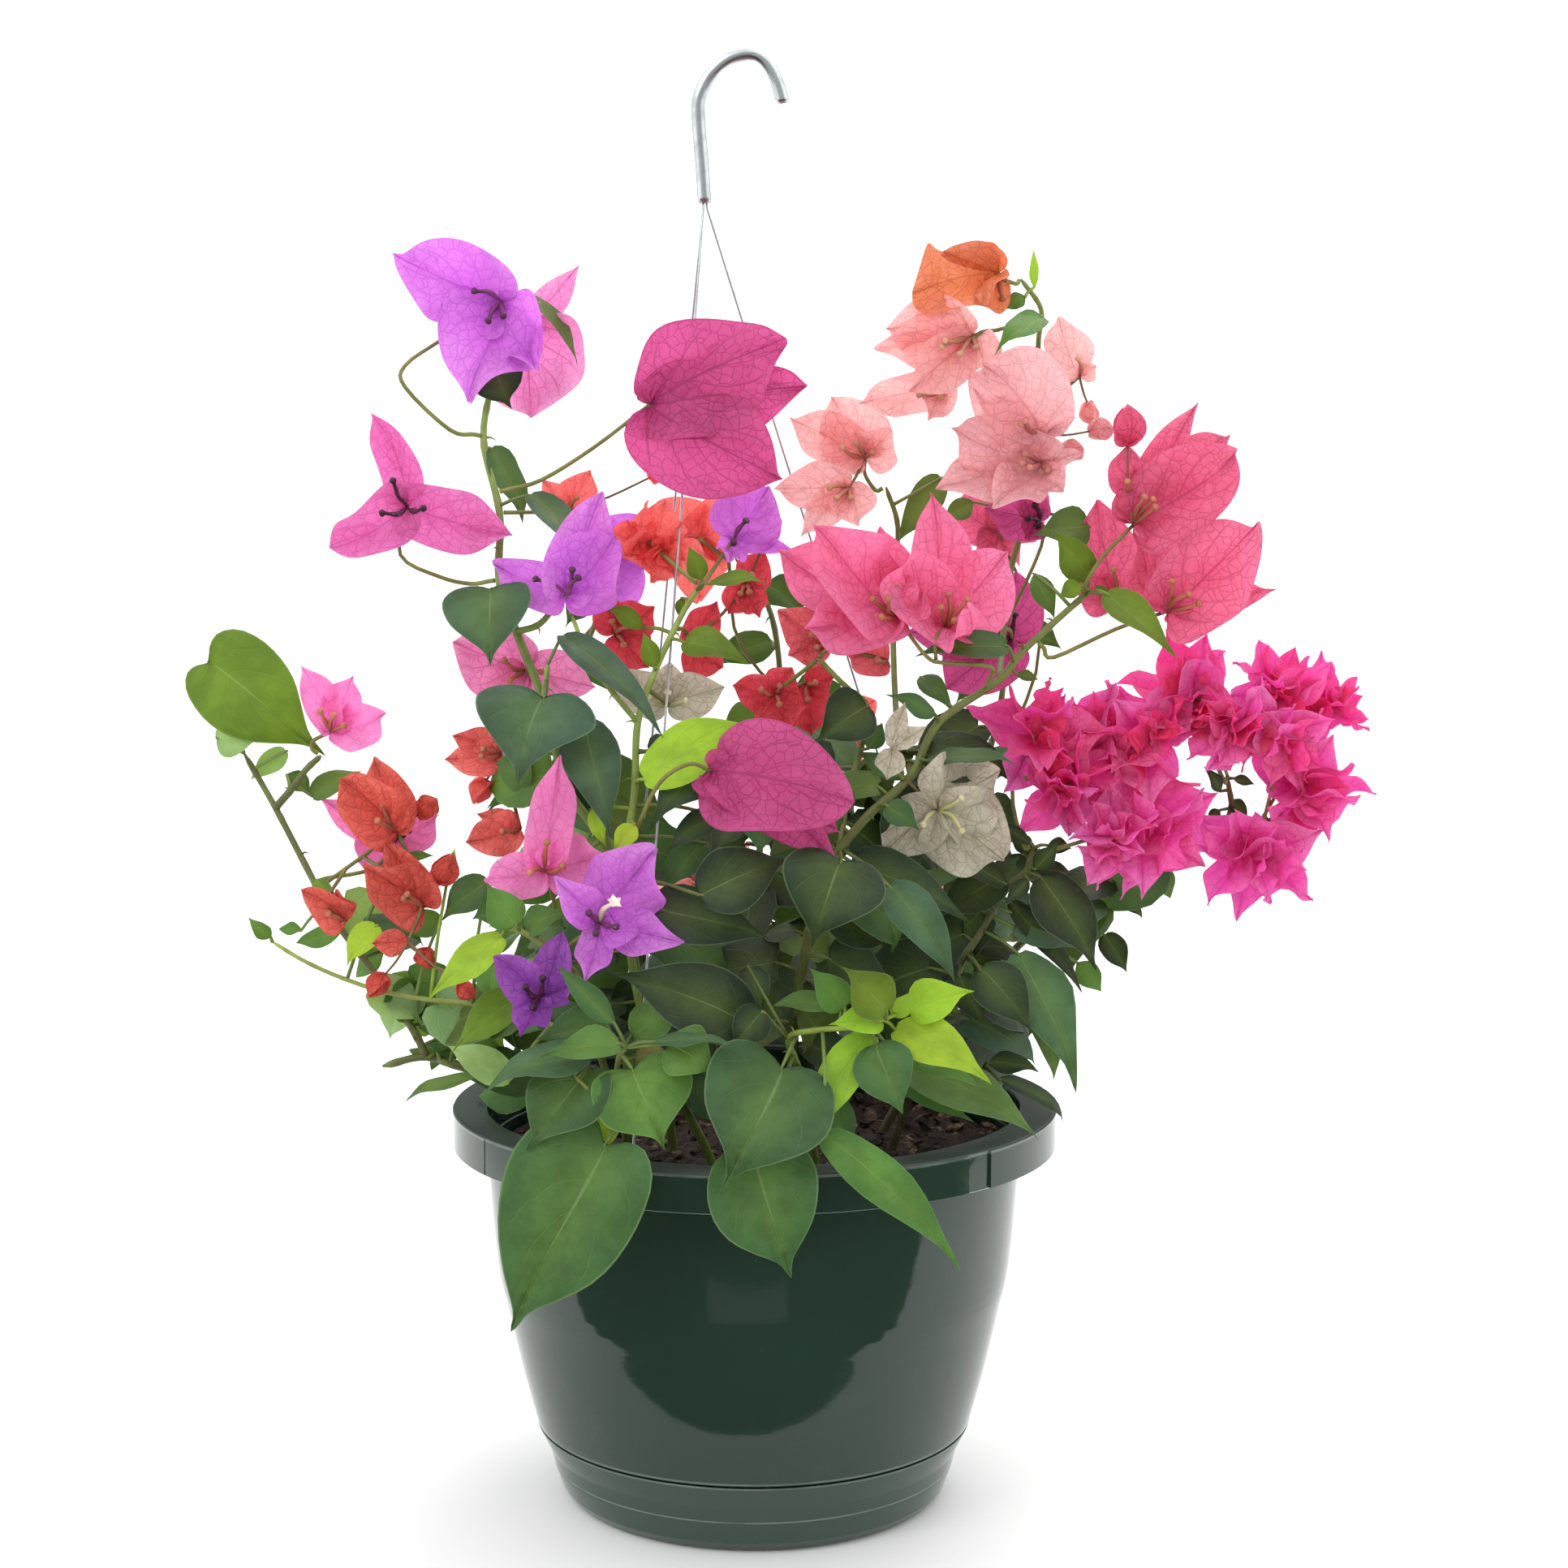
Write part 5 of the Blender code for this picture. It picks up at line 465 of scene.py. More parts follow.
# Sprays: colour, the cane each hangs on, the stalk's line (x, z, y) up to the first bloom, then the
# blooms as a hub (x, z, y), the yaw and pitch that it opens to, and its bracts (x, z, y, width)
SPRAYS = {
    "spray_violet_top": ("violet", "cane_left", [(-125.8, 450.6, -20), (-144, 468, -22), (-144, 477, -20),
                                                 (-128, 488, -10)], [
        ((-104, 503, -18), (-10, 0), [(-146, 521, -34, 33), (-119.5, 467.5, -36, 38), (-93, 478, -40, 20)])]),
    "spray_pink_top": ("pink", "cane_left", [], [
        ((-95, 494, 12), (10, 10), [(-72, 518, 8, 13), (-92, 455.5, 10, 45), (-113, 466, 16, 24)])]),
    "spray_violet_left": ("lilac_pink", "cane_left", [(-118, 387, -26), (-131, 390, -30), (-147, 399, -34)], [
        ((-143.8, 419, -34), (-10, 10), [(-157.5, 458, -36, 17), (-102, 408, -42, 24),
                                         (-177, 401, -44, 24)])]),
    "spray_magenta_top": ("magenta_net", "cane_left", [(-88, 430, -22), (-66, 443.5, -32)], [
        ((-43, 461, -44), (165, -10), [(14.2, 487.6, -54, 44), (22.1, 467.7, -40, 30),
                                       (11.4, 430.5, -38, 42)])]),
    "spray_violet_mid": ("violet", "cane_centre", [], [
        ((-77.8, 382, -54), (0, 10), [(-64.5, 425, -50, 24), (-58, 407, -66, 30), (-111, 397, -42, 20)])]),
    "spray_violet_small": ("violet", "cane_centre", [], [
        ((-8, 406, -34), (0, 0), [(6, 427, -36, 27), (-9.6, 396.5, -42, 15), (17.5, 400.7, -30, 8)])]),
    "spray_red_top": ("red", "cane_left", [], [
        ((-77, 417, -6), (10, 0), [(-66, 437, -8, 19), (-88, 431, -2, 12)])]),
    "spray_red_double": ("red", "cane_centre", [], []),
    "spray_red_mid": ("red_dark", "cane_left", [], [
        ((-58, 366, -30), (0, 0), [(-61, 386, -30, 17), (-41, 378, -34, 18), (-44, 352, -32, 20)])]),
    "spray_red_low": ("red_dark", "cane_centre", [], [
        ((-27, 361, -28), (10, 0), [(-15, 380, -28, 15), (-13, 352, -32, 20)]),
        ((-3, 387, -22), (0, 0), [(5, 400, -22, 15), (-11, 374, -26, 13), (2, 373.5, -30, 13)])]),
    "spray_red_right": ("red_dark", "cane_right", [], [
        ((9, 341, -36), (0, 10), [(16, 352, -38, 15), (15, 325, -44, 20), (-9, 345, -34, 15)]),
        ((22, 345, -30), (0, 0), [(24, 323, -36, 18), (34, 348, -28, 14)])]),
    "spray_cream_left": ("cream", "cane_centre", [], [
        ((-36, 336, -44), (0, 0), [(-60, 350, -46, 18), (-35, 355, -42, 14), (-12, 344, -42, 18)])]),
    "spray_pink_mid": ("pink_net", "cane_left", [], [
        ((-95, 351, -26), (0, 10), [(-125.6, 363, -30, 30), (-67, 344.5, -32, 22), (-115, 335, -26, 18)])]),
    "spray_coral_small": ("coral", "cane_left", [(-112.6, 326, -40)], [
        ((-106, 316, -38), (-20, 0), [(-126.5, 324, -42, 14), (-129.8, 313.6, -38, 15)]),
        ((-98, 284, -36), (-20, 10), [(-121.4, 278, -40, 18), (-117, 290.5, -34, 11)])]),
    "spray_pink_low": ("pink", "cane_low_left", [(-84, 250, -90)], [
        ((-88, 266, -94), (0, 10), [(-82, 314, -98, 19), (-118.5, 262, -106, 22), (-62, 273, -98, 22)])]),
    "spray_violet_star": ("violet", "cane_low_left", [], [
        ((-65, 244, -108), (0, 10), [(-41, 276, -118, 32), (-82, 261, -116, 16), (-71, 223, -126, 14),
                                     (-35, 237, -124, 18)])]),
    "spray_violet_low": ("violet_deep", "cane_low_left", [], [
        ((-90, 212, -112), (-10, 10), [(-110, 231, -114, 17), (-82, 240, -112, 16), (-99, 195, -122, 14),
                                       (-74, 219, -118, 12)])]),
    "spray_pink_far_left": ("pink", "cane_far_left", [], [
        ((-177, 325, -22), (0, 10), [(-188.8, 353, -22, 15), (-168.5, 349, -20, 17),
                                     (-154.5, 333, -26, 19)])]),
    "spray_magenta_left": ("magenta", "cane_far_left", [], [
        ((-150, 280, -14), (0, 10), [(-183, 297.5, -8, 14), (-167, 270, -14, 24), (-133, 290, -16, 20)])]),
    "spray_orange_left": ("orange_red", "cane_far_left", [], [
        ((-150, 283, -32), (-10, 0), [(-173.5, 305, -46, 27), (-161, 315, -26, 20)]),
        ((-139, 251, -40), (-10, 0), [(-168.7, 270, -54, 28), (-157, 278.5, -40, 17), (-141, 268, -32, 12)]),
        ((-146, 236, -52), (-10, 0), [(-161.6, 235, -54, 12)]),
        ((-172, 245, -38), (-20, 0), [(-191, 258, -46, 18), (-177, 258, -34, 12)])]),
    "spray_magenta_droop": ("magenta_net", "cane_centre", [(-50, 282, -84), (-40, 303, -98),
                                                           (-27, 311.5, -100)], [
        ((-18, 308.5, -98), (170, -25), [(42.3, 295.7, -122, 45), (35.2, 271.5, -114, 22),
                                         (37.5, 283, -92, 24)])]),
    "spray_orange_top": ("orange", "cane_right", [], [
        ((101, 514.5, -14), (150, -10), [(65, 506, -36, 34), (67.5, 527, -8, 25), (91, 497, -38, 20)])]),
    "spray_salmon_top": ("salmon", "cane_right", [(112, 494, -26)], [
        ((90, 489, -32), (0, -20), [(54.7, 492.6, -44, 27), (49, 483, -26, 22), (66, 466.5, -48, 22),
                                    (97, 474, -40, 17)]),
        ((79, 468, -20), (0, -10), [(43.5, 461.6, -26, 18), (72, 453, -32, 17)])]),
    "spray_salmon_left": ("salmon", "cane_right", [], [
        ((46.4, 439, -8), (0, -10), [(32.1, 464, -10, 27), (15, 455.5, -16, 22), (57, 450, -18, 20)]),
        ((40, 427, -18), (-10, 0), [(9.2, 426.4, -24, 20), (20.6, 408, -30, 14), (44, 411, -24, 17)])]),
    "spray_salmon_right": ("salmon", "cane_right", [(128.6, 466.6, -8)], [
        ((134.7, 472.6, -10), (10, 0), [(126, 497, -14, 20), (141.7, 477, -10, 10)])]),
    "spray_salmon_mid": ("salmon_pink", "cane_right", [], [
        ((119, 449, -26), (-20, 0), [(94.3, 478, -50, 38), (86, 470, -36, 16), (133.5, 456, -24, 10)]),
        ((119, 437, -22), (-10, 10), [(81.3, 451.4, -46, 25), (76, 426.5, -40, 25), (101, 422, -48, 22),
                                       (130.6, 423, -26, 17), (140.6, 442.6, -22, 10)])]),
    "spray_coral_centre": ("coral_pink", "cane_right", [(99, 352.5, -62), (80, 354, -72), (72, 357, -72)], [
        ((60, 373, -66), (10, 10), [(30.7, 409.5, -88, 34), (9, 400, -62, 30), (51.5, 410, -60, 23),
                                     (20, 368, -80, 24)]),
        ((80, 369, -62), (10, 20), [(77.6, 425, -62, 24), (106.5, 401.5, -72, 32), (62, 399, -86, 26),
                                     (92, 372, -92, 20)])]),
    "spray_brick_centre": ("brick_pink", "cane_right", [], [
        ((30, 362, -42), (0, 0), [(10, 376, -48, 18), (15, 357, -46, 16)]),
        ((56, 355, -50), (0, 0), [(38, 358, -58, 15)])]),
    "spray_magenta_centre": ("magenta_net", "cane_right", [], [
        ((108, 364, 4), (0, 10), [(110, 397.5, 6, 27), (80, 343, 6, 32), (64, 367, 2, 22)]),
        ((119, 413, -14), (0, 0), [(96.5, 418, -20, 23), (110, 402.5, -24, 16), (112, 431, -12, 13)])]),
    "spray_pink_right": ("hot_pink", "cane_right", [(148, 398, -36)], [
        ((158, 411.5, -34), (-10, 10), [(202.5, 442, -56, 36), (184, 464, -30, 16), (200, 455, -22, 25)]),
        ((155.5, 424, -30), (-10, 0), [(155, 444.5, -32, 15)])]),
    "spray_pink_right_low": ("hot_pink", "cane_right", [(125.5, 356.3, -44), (151, 368, -40)], [
        ((172.5, 375.5, -36), (10, 10), [(208, 408.5, -58, 36), (217.5, 384.5, -26, 17),
                                         (167, 413, -24, 24)]),
        ((150.7, 381, -22), (0, 10), [(142.5, 422, -18, 27), (134.5, 384, -18, 18)])]),
    "spray_cream_right": ("cream", "cane_right", [], [
        ((58, 318, -80), (0, 10), [(63.5, 338, -82, 9), (75, 329, -84, 9), (56, 305, -84, 12)]),
        ((77, 292, -66), (0, 0), [(104, 309, -66, 36), (106, 270, -60, 34), (50, 270, -70, 26)])]),
    "spray_double_low": ("magenta_double", "cane_low_right", [], []),
    "spray_double_mid": ("magenta_double", "cane_low_right", [], []),
    "spray_double_high": ("magenta_double", "cane_far_right", [], []),
    "spray_double_far": ("magenta_double", "cane_far_right", [], []),
    "spray_back_pink": ("hot_pink", "cane_back_right", [], [
        ((146, 300, 88), (120, 10), [(170, 316, 96, 30), (164, 278, 96, 28), (138, 292, 120, 28)]),
        ((106, 408, 46), (150, 20), [(124, 426, 54, 26), (90, 424, 60, 26), (110, 386, 68, 26)])]),
    "spray_back_violet": ("violet", "cane_back_left", [], [
        ((-64, 396, 66), (190, 10), [(-84, 410, 78, 28), (-46, 412, 78, 26), (-64, 372, 84, 28)]),
        ((-108, 326, 96), (220, 10), [(-124, 344, 100, 24), (-116, 300, 108, 24), (-92, 334, 122, 24)])]),
    "spray_back_red": ("red", "cane_back", [], [
        ((-24, 404, 62), (180, 20), [(-46, 418, 72, 26), (-4, 420, 74, 26), (-24, 380, 84, 28)]),
        ((36, 312, 128), (170, 10), [(18, 332, 140, 24), (56, 328, 134, 24), (38, 288, 146, 26)])]),
    "spray_back_salmon": ("salmon", "cane_back_low", [], [
        ((-28, 240, 150), (185, 20), [(-52, 256, 156, 26), (-4, 258, 158, 26), (-30, 216, 164, 28)]),
        ((84, 240, 128), (150, 20), [(64, 258, 140, 24), (108, 256, 130, 26), (90, 216, 140, 26)])]),
}

# Double heads, whose flowers have turned to layers of bracts: centre (x, z, y), radius, yaw, pitch
HEADS = {
    "spray_red_double": [(-43, 404, -36, 19, -10, 10)],
    "spray_double_low": [(118, 324, -44, 24, 0, 30), (133, 303, -52, 21, 0, 10), (146, 322, -30, 20, 10, 40)],
    "spray_double_mid": [(163, 286, -50, 28, 0, 10), (150, 278, -60, 15, -20, 0)],
    "spray_double_high": [(183, 340, -34, 25, 0, 30), (166, 320, -42, 24, -10, 10),
                          (202, 327, -46, 21, 5, 20), (219, 343, -24, 21, 0, 40)],
    "spray_double_far": [(213, 272, -36, 25, 10, 0), (231, 302, -30, 23, 10, 10), (222, 322, -44, 17, 10, 10),
                         (240, 335, -14, 20, 20, 30)],
}

# The tone of each leaf in the order of the table above, one letter a leaf: blue green, deep, middle,
# fresh, lime, yellow, olive, pale and reddish
LEAF_TONES = {
    "cane_left": "ODMBBBBBDG", "cane_centre": "YYYYYYLDDMLLDDD", "cane_right": "GLGOOMDMMOYYYYGOMMBMMDDB",
    "cane_far_left": "YPPMOLGGPGODY", "cane_low_left": "LGGYGMMPGLGG", "shoot_left": "GGBRGGMBMMML",
    "shoot_right": "YLLLLGLMGGMMGDMD", "cane_low_right": "DDDDDDDDBDODDGDODG",
    "cane_far_right": "DDDDDDDDDM", "cane_back_left": "MBMBMGMB", "cane_back": "BMMBGMMB",
    "cane_back_right": "MBBMMGBM", "cane_back_low": "BMMGMBMMG",
}
# Colours on a scale of 0 to 255, as a screen shows them
LEAF_COLOURS = {
    "B": (60, 90, 66), "D": (30, 50, 29), "M": (56, 92, 48), "G": (76, 118, 50), "L": (158, 198, 46),
    "Y": (86, 114, 8), "O": (84, 104, 50), "P": (146, 176, 122), "R": (112, 106, 62),
}
# Canes and stalks: the colour at the root and at the tip
CANE_COLOURS = {
    "cane_left": ((104, 122, 52), (132, 160, 74)), "cane_centre": ((112, 138, 60), (150, 176, 84)),
    "cane_right": ((86, 94, 46), (122, 140, 66)), "cane_far_left": ((92, 88, 58), (104, 120, 58)),
    "cane_low_left": ((96, 110, 56), (150, 168, 76)), "shoot_left": ((92, 110, 52), (126, 140, 66)),
    "shoot_right": ((100, 118, 52), (150, 176, 60)), "cane_low_right": ((70, 70, 42), (104, 110, 58)),
    "cane_far_right": ((84, 82, 50), (112, 108, 66)),
}
HIDDEN_CANE = ((92, 96, 56), (116, 130, 66))
GREEN_STALK = (128, 146, 66)
BROWN_STALK = (126, 96, 62)
# Bracts by colour: at the throat, in the middle, at the edge, and of the veins; how strongly the
# veins show, how deep the sheet is quilted between them, and how much light comes through
BRACTS = {
    "violet": ((190, 72, 196), (216, 112, 226), (242, 164, 244), (146, 46, 166), 0.40, 0.9, 0.46),
    "violet_deep": ((120, 44, 140), (152, 74, 178), (184, 108, 204), (92, 28, 116), 0.35, 0.8, 0.42),
    "lilac_pink": ((216, 76, 152), (230, 106, 178), (246, 154, 216), (176, 50, 122), 0.60, 1.0, 0.46),
    "pink": ((232, 80, 150), (244, 134, 200), (252, 206, 236), (190, 50, 116), 0.75, 0.6, 0.52),
    "pink_mid": ((224, 84, 150), (240, 130, 184), (250, 176, 216), (176, 48, 112), 0.65, 0.7, 0.48),
    "pink_low": ((238, 98, 172), (252, 138, 206), (254, 178, 228), (204, 62, 134), 0.40, 0.8, 0.54),
    "magenta_net": ((190, 58, 118), (208, 80, 142), (226, 106, 166), (126, 28, 76), 0.75, 0.7, 0.46),
    "magenta": ((222, 82, 150), (240, 120, 180), (248, 156, 208), (184, 50, 116), 0.50, 0.7, 0.48),
    "magenta_double": ((248, 66, 84), (236, 66, 168), (255, 172, 228), (186, 24, 138), 0.30, 0.8, 0.52),
    "hot_pink": ((222, 72, 108), (228, 94, 130), (246, 146, 182), (170, 38, 82), 0.70, 1.2, 0.45),
    "coral_pink": ((242, 96, 118), (250, 120, 168), (254, 166, 208), (190, 50, 100), 0.60, 1.1, 0.50),
    "coral": ((220, 84, 80), (236, 104, 98), (244, 130, 122), (176, 56, 54), 0.50, 1.1, 0.36),
    "brick_pink": ((210, 78, 84), (226, 98, 106), (236, 124, 130), (164, 54, 62), 0.50, 1.0, 0.38),
    "red": ((246, 86, 82), (254, 120, 114), (255, 152, 146), (198, 58, 56), 0.45, 1.1, 0.46),
    "red_dark": ((190, 44, 56), (220, 66, 78), (236, 96, 104), (146, 28, 40), 0.45, 1.1, 0.38),
    "orange_red": ((214, 78, 62), (218, 90, 78), (232, 118, 104), (160, 46, 38), 0.60, 1.4, 0.34),
    "orange": ((212, 94, 42), (222, 118, 68), (240, 164, 138), (172, 70, 38), 0.60, 1.1, 0.44),
    "salmon": ((234, 138, 132), (250, 182, 180), (254, 216, 216), (202, 108, 108), 0.60, 1.1, 0.56),
    "salmon_pink": ((228, 140, 144), (242, 176, 180), (251, 208, 210), (194, 112, 120), 0.60, 1.1, 0.52),
    "cream": ((176, 166, 130), (206, 198, 174), (230, 226, 210), (130, 118, 90), 0.70, 1.2, 0.44),
}
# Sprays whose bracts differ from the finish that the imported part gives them
OWN_TINTS = {"spray_pink_mid": "pink_mid", "spray_pink_low": "pink_low", "spray_pink_far_left": "pink_low"}
# Flower tubes by the bracts' colour: how the tube looks and how its mouth looks
PLUM = ((92, 34, 70), (54, 18, 40))
FLOWERS = {
    "violet": ((140, 66, 128), (88, 34, 78)), "violet_deep": PLUM, "lilac_pink": PLUM,
    "magenta_net": PLUM, "magenta": PLUM, "cream": ((176, 184, 120), (214, 208, 170)),
    "salmon": ((180, 108, 90), (206, 150, 120)), "salmon_pink": ((176, 92, 94), (196, 126, 112)),
}
PLAIN_FLOWER = ((168, 84, 68), (190, 116, 88))
STAR_FLOWER = ((206, 190, 150), (246, 242, 226))
STAR_SPRAY = "spray_violet_star"
STARS = 1
# Closed bracts at the tips of sprays: spray, place (x, z, y) and width
BUDS = (
    ("spray_red_top", -43, 431, -20, 9), ("spray_orange_left", -133.5, 261, -40, 11),
    ("spray_orange_left", -141.5, 290, -26, 9), ("spray_orange_left", -156, 222, -52, 9),
    ("spray_coral_small", -112, 305, -38, 9), ("spray_orange_left", -142, 232, -50, 8),
    ("spray_orange_left", -125, 218, -56, 7), ("spray_pink_right", 155, 444, -30, 13),
    ("spray_salmon_right", 138, 462, -12, 8), ("spray_salmon_mid", 139, 450, -20, 9),
    ("spray_red_low", 6, 409, -24, 7), ("spray_brick_centre", 34, 372, -44, 9),
    ("spray_salmon_mid", 128, 440, -16, 9), ("spray_orange_left", -150, 262, -34, 8),
)
# Leaves that fill the plant out inside, between these heights, behind this depth and this near the
# middle: how far apart along a cane, the turn from one to the next, how long their stalks, how far
# they droop, their lengths, breadths and tones, and the side where they are fresher
FILL_HEIGHTS = (168.0, 322.0)
FILL_DEPTH = -66.0
FILL_REACH = 146.0
FILL_STEP = 5.0
FILL_TURN = math.radians(137.5)
FILL_STALKS = (6.0, 13.0)
FILL_DROOP = 0.35
FILL_LENGTHS = (22.0, 40.0)
FILL_BREADTHS = (0.56, 0.76)
FILL_TONES = "DDDDBMO"
FRESH_TONES = "GGMOPB"
FRESH_SIDE = -62.0
FILL_CANES = ("cane_left", "cane_centre", "cane_right", "cane_low_left", "cane_low_right",
              "cane_far_right", "cane_back", "cane_back_left", "cane_back_right", "cane_back_low",
              "cane_far_left")
# Colours, in the light that Blender works in, that the materials mix in
LEAF_DEEP = (0.66, 0.70, 0.66)
LEAF_BRIGHT = (0.42, 0.52, 0.26)
LEAF_SCAR = (0.30, 0.32, 0.22)
LEAF_THROUGH = (0.34, 0.56, 0.04)
STEM_DEEP = (0.62, 0.56, 0.48)
STEM_PORE = (0.30, 0.26, 0.15)
PLASTIC_AGED = (0.06, 0.11, 0.09)
SAUCER_AGED = (0.06, 0.10, 0.08)
PLASTIC_DUST = (0.30, 0.34, 0.30)
PLASTIC_SPECK = (0.40, 0.42, 0.38)
# The pale of the painted highlight lines along the plastic's edges, partly wear at the skirt's lower edge
PLASTIC_HIGHLIGHT_AND_WEAR = (0.34, 0.42, 0.37)
PLASTIC_SETTLED = (0.22, 0.25, 0.22)
MIX_DEEP = (0.30, 0.26, 0.25)
MIX_FIBRE = (0.30, 0.19, 0.10)
STEEL_DULL = (0.46, 0.50, 0.51)
WHITE = (1.0, 1.0, 1.0)
# The mix and its chips, as a screen shows them
MIX_TONE = (66, 50, 38)
CHIP_TONES = ((74, 58, 47), (50, 39, 33), (108, 88, 70), (36, 29, 26), (152, 130, 106))
YOUNG_LEAF = (170, 200, 70)
# Patterns, in cells or waves a metre: the net of veins in a bract and in a leaf, and the scale and reach
# of what stirs them
BRACT_NET = 215.0
LEAF_NET = 330.0
STIR = (160.0, 0.0012)


def tint(red, green, blue):
    """A colour given as a screen shows it, in the linear light that Blender works in."""
    return tuple(((part / 255 + 0.055) / 1.055) ** 2.4 if part > 10 else part / 255 / 12.92
                 for part in (red, green, blue))


def blend(first, second, share):
    """The mix of two colours or points."""
    return tuple(a + (b - a) * share for a, b in zip(first, second))


def seen(x, z, y):
    """The point at depth y that the front view shows at (x, z) of the plane through the pot's axis."""
    reach = (y - EYE.y) / -EYE.y
    return EYE + (Vector((x, 0.0, z)) - EYE) * reach


def spot(node, across_and_up, depth):
    """A table's point for a node: as the front view shows it, or as it is, for what stands behind."""
    x, z = across_and_up
    return Vector((x, depth, z)) if "_back" in node else seen(x, z, depth)


def shape_for(width, shapes):
    """The name of the first outline that the width reaches."""
    return next(outline for least, outline in shapes if width >= least)


def facing(yaw, pitch):
    """A unit vector: yaw 0 looks to the front, 90 to +X, and pitch 90 looks up."""
    yaw, pitch = math.radians(yaw), math.radians(pitch)
    return Vector((math.sin(yaw) * math.cos(pitch), -math.cos(yaw) * math.cos(pitch), math.sin(pitch)))


def spoke(axis, angle):
    """The unit vector square to an axis, at an angle round it."""
    side = axis.orthogonal().normalized()
    return side * math.cos(angle) + axis.cross(side) * math.sin(angle)


def varied(form, spreads, wave, dice):
    """A blade's form with its first four shares drawn anew, and its ripples by the setting too."""
    bow, cup, ripple, droop = (share * dice.uniform(*spread) for share, spread in zip(form, spreads))
    return bow, cup, ripple * wave, droop, form[4]


def nearest_on(line, point):
    """The nearest point of a line of points, the direction there, and the share of the line there."""
    best = None
    for index, (a, b) in enumerate(zip(line, line[1:])):
        span = b - a
        share = max(0.0, min(1.0, (point - a).dot(span) / span.length_squared))
        near = a + span * share
        if best is None or (near - point).length < best[0]:
            best = ((near - point).length, near, span.normalized(), (index + share) / (len(line) - 1))
    return best[1:]


def is_gentle(line):
    """Whether a line bends little enough at each point for a tube to follow it."""
    return all((b - a).normalized().dot((c - b).normalized()) > GENTLE_TURN
               for a, b, c in zip(line, line[1:], line[2:]))


def smooth_line(points, steps=4):
    """A curve that runs evenly through points."""
    ends = [points[0] * 2 - points[1], *points, points[-1] * 2 - points[-2]]
    line = []
    for a, b, c, d in zip(ends, ends[1:], ends[2:], ends[3:]):
        for step in range(steps):
            t = step / steps
            line.append((b * 2 + (c - a) * t + (a * 2 - b * 5 + c * 4 - d) * t ** 2
                         + (b * 3 - a - c * 3 + d) * t ** 3) * 0.5)
    return line + [points[-1]]


class Cloud:
    """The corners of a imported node, which tell the bend that each of its blades and stalks was given."""

    def __init__(self, node):
        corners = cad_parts[node].data.vertices
        self.tree = KDTree(len(corners))
        for index, corner in enumerate(corners):
            self.tree.insert(corner.co / MM, index)
        self.tree.balance()

    def miss(self, point):
        """How far the nearest corner is."""
        return self.tree.find(point)[2]

    def ring_miss(self, point, radius):
        """How badly the three nearest corners fit a ring of that radius round a point."""
        return sum(abs(found[2] - radius) for found in self.tree.find_n(point, 3))


def cane_lines(name):
    """The middle lines of a cane and its branches, with their radii at both ends."""
    (x, y), thick, thin, line, branches = CANES[name]
    root = [Vector((x, y, SOIL_TOP - ROOT_DEPTH)), Vector((x, y, SOIL_TOP + 3.0))]
    lines = [(root + [spot(name, point[:2], point[2]) for point in line], thick, thin)]
    for branch in branches:
        points = [spot(name, point[:2], point[2]) for point in branch]
        fork = min((nearest_on(other, points[0])[0] for other, _, _ in lines),
                   key=lambda near: (near - points[0]).length)
        lines.append(([fork] + points[1:], thin * BRANCH_RADII[0], thin * BRANCH_RADII[1]))
    return lines


def nearest_stem(stems, point):
    """The one of a cane's stems, with its radii, that passes nearest to a point."""
    return min(stems, key=lambda stem: (nearest_on(stem[0], point)[0] - point).length)


def leaf_place(cloud, node, row):
    """A leaf's base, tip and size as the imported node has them."""
    def bent(bend):
        base_shift, tip_shift, size = bend
        base = spot(node, row[:2], row[2] + base_shift)
        return base, base + (spot(node, row[3:5], row[5] + tip_shift) - base) * size, size

    places = [bent(bend) for bend in LEAF_BENDS]
    return min(places, key=lambda place: cloud.miss(place[1]) + cloud.ring_miss(place[0], LEAF_STALK_RING))


def bract_place(cloud, node, hub, row):
    """A bract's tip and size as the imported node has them."""
    places = []
    for tip_shift, size in BRACT_BENDS:
        places.append((hub + (spot(node, row[:2], row[2] + tip_shift) - hub) * size, size))
    return min(places, key=lambda place: cloud.miss(place[0]))


def stalk_line(cloud, stem, through, hub):
    """A spray's stalk from its cane to its first bloom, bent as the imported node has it."""
    line, thick, thin = stem
    first = through[0] if through else hub
    nearest, heading, _ = nearest_on(line, first)
    best = None
    for slide in STALK_SLIDES:
        origin, along, share = nearest_on(line, nearest + heading * slide)
        outward = first - origin
        outward = (outward - along * outward.dot(along)).normalized()
        start = origin + outward * (thick + (thin - thick) * share + STALK_GAP)
        lead = start + outward * STALK_LEAD
        span = (hub - lead).length
        for sway, push, lift in STALK_BENDS:
            bend = Vector((sway, push, lift)) * span
            if through:
                points = [start, lead, *[point + bend * STALK_SWAY_AT_POINTS for point in through], hub]
            else:
                points = [start, lead, (lead + hub) / 2 + bend, hub]
            if is_gentle(points):
                miss = sum(cloud.ring_miss(point, STALK_RING) for point in points[:-1])
                if best is None or miss < best[0] - CLEARLY_BETTER:
                    best = miss, points
    return best[1]


def twig_line(cloud, line, hub):
    """A side stalk of a spray, from its main stalk to another hub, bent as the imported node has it."""
    nearest, heading, _ = nearest_on(line, hub)
    best = None
    for slide in STALK_SLIDES:
        origin = nearest_on(line, nearest + heading * slide)[0]
        span = (hub - origin).length
        for sway, push, lift in STALK_BENDS:
            middle = (origin + hub) / 2 + Vector((sway, push, lift)) * span
            miss = cloud.ring_miss(middle, TWIG_RING)
            if best is None or miss < best[0] - CLEARLY_BETTER:
                best = miss, [origin, middle, hub]
    return best[1]


def new_shell():
    """An empty mesh with the layers that the plant's materials read."""
    shell = bmesh.new()
    shell.verts.layers.float_color.new("paint")
    shell.loops.layers.uv.new("share")
    return shell


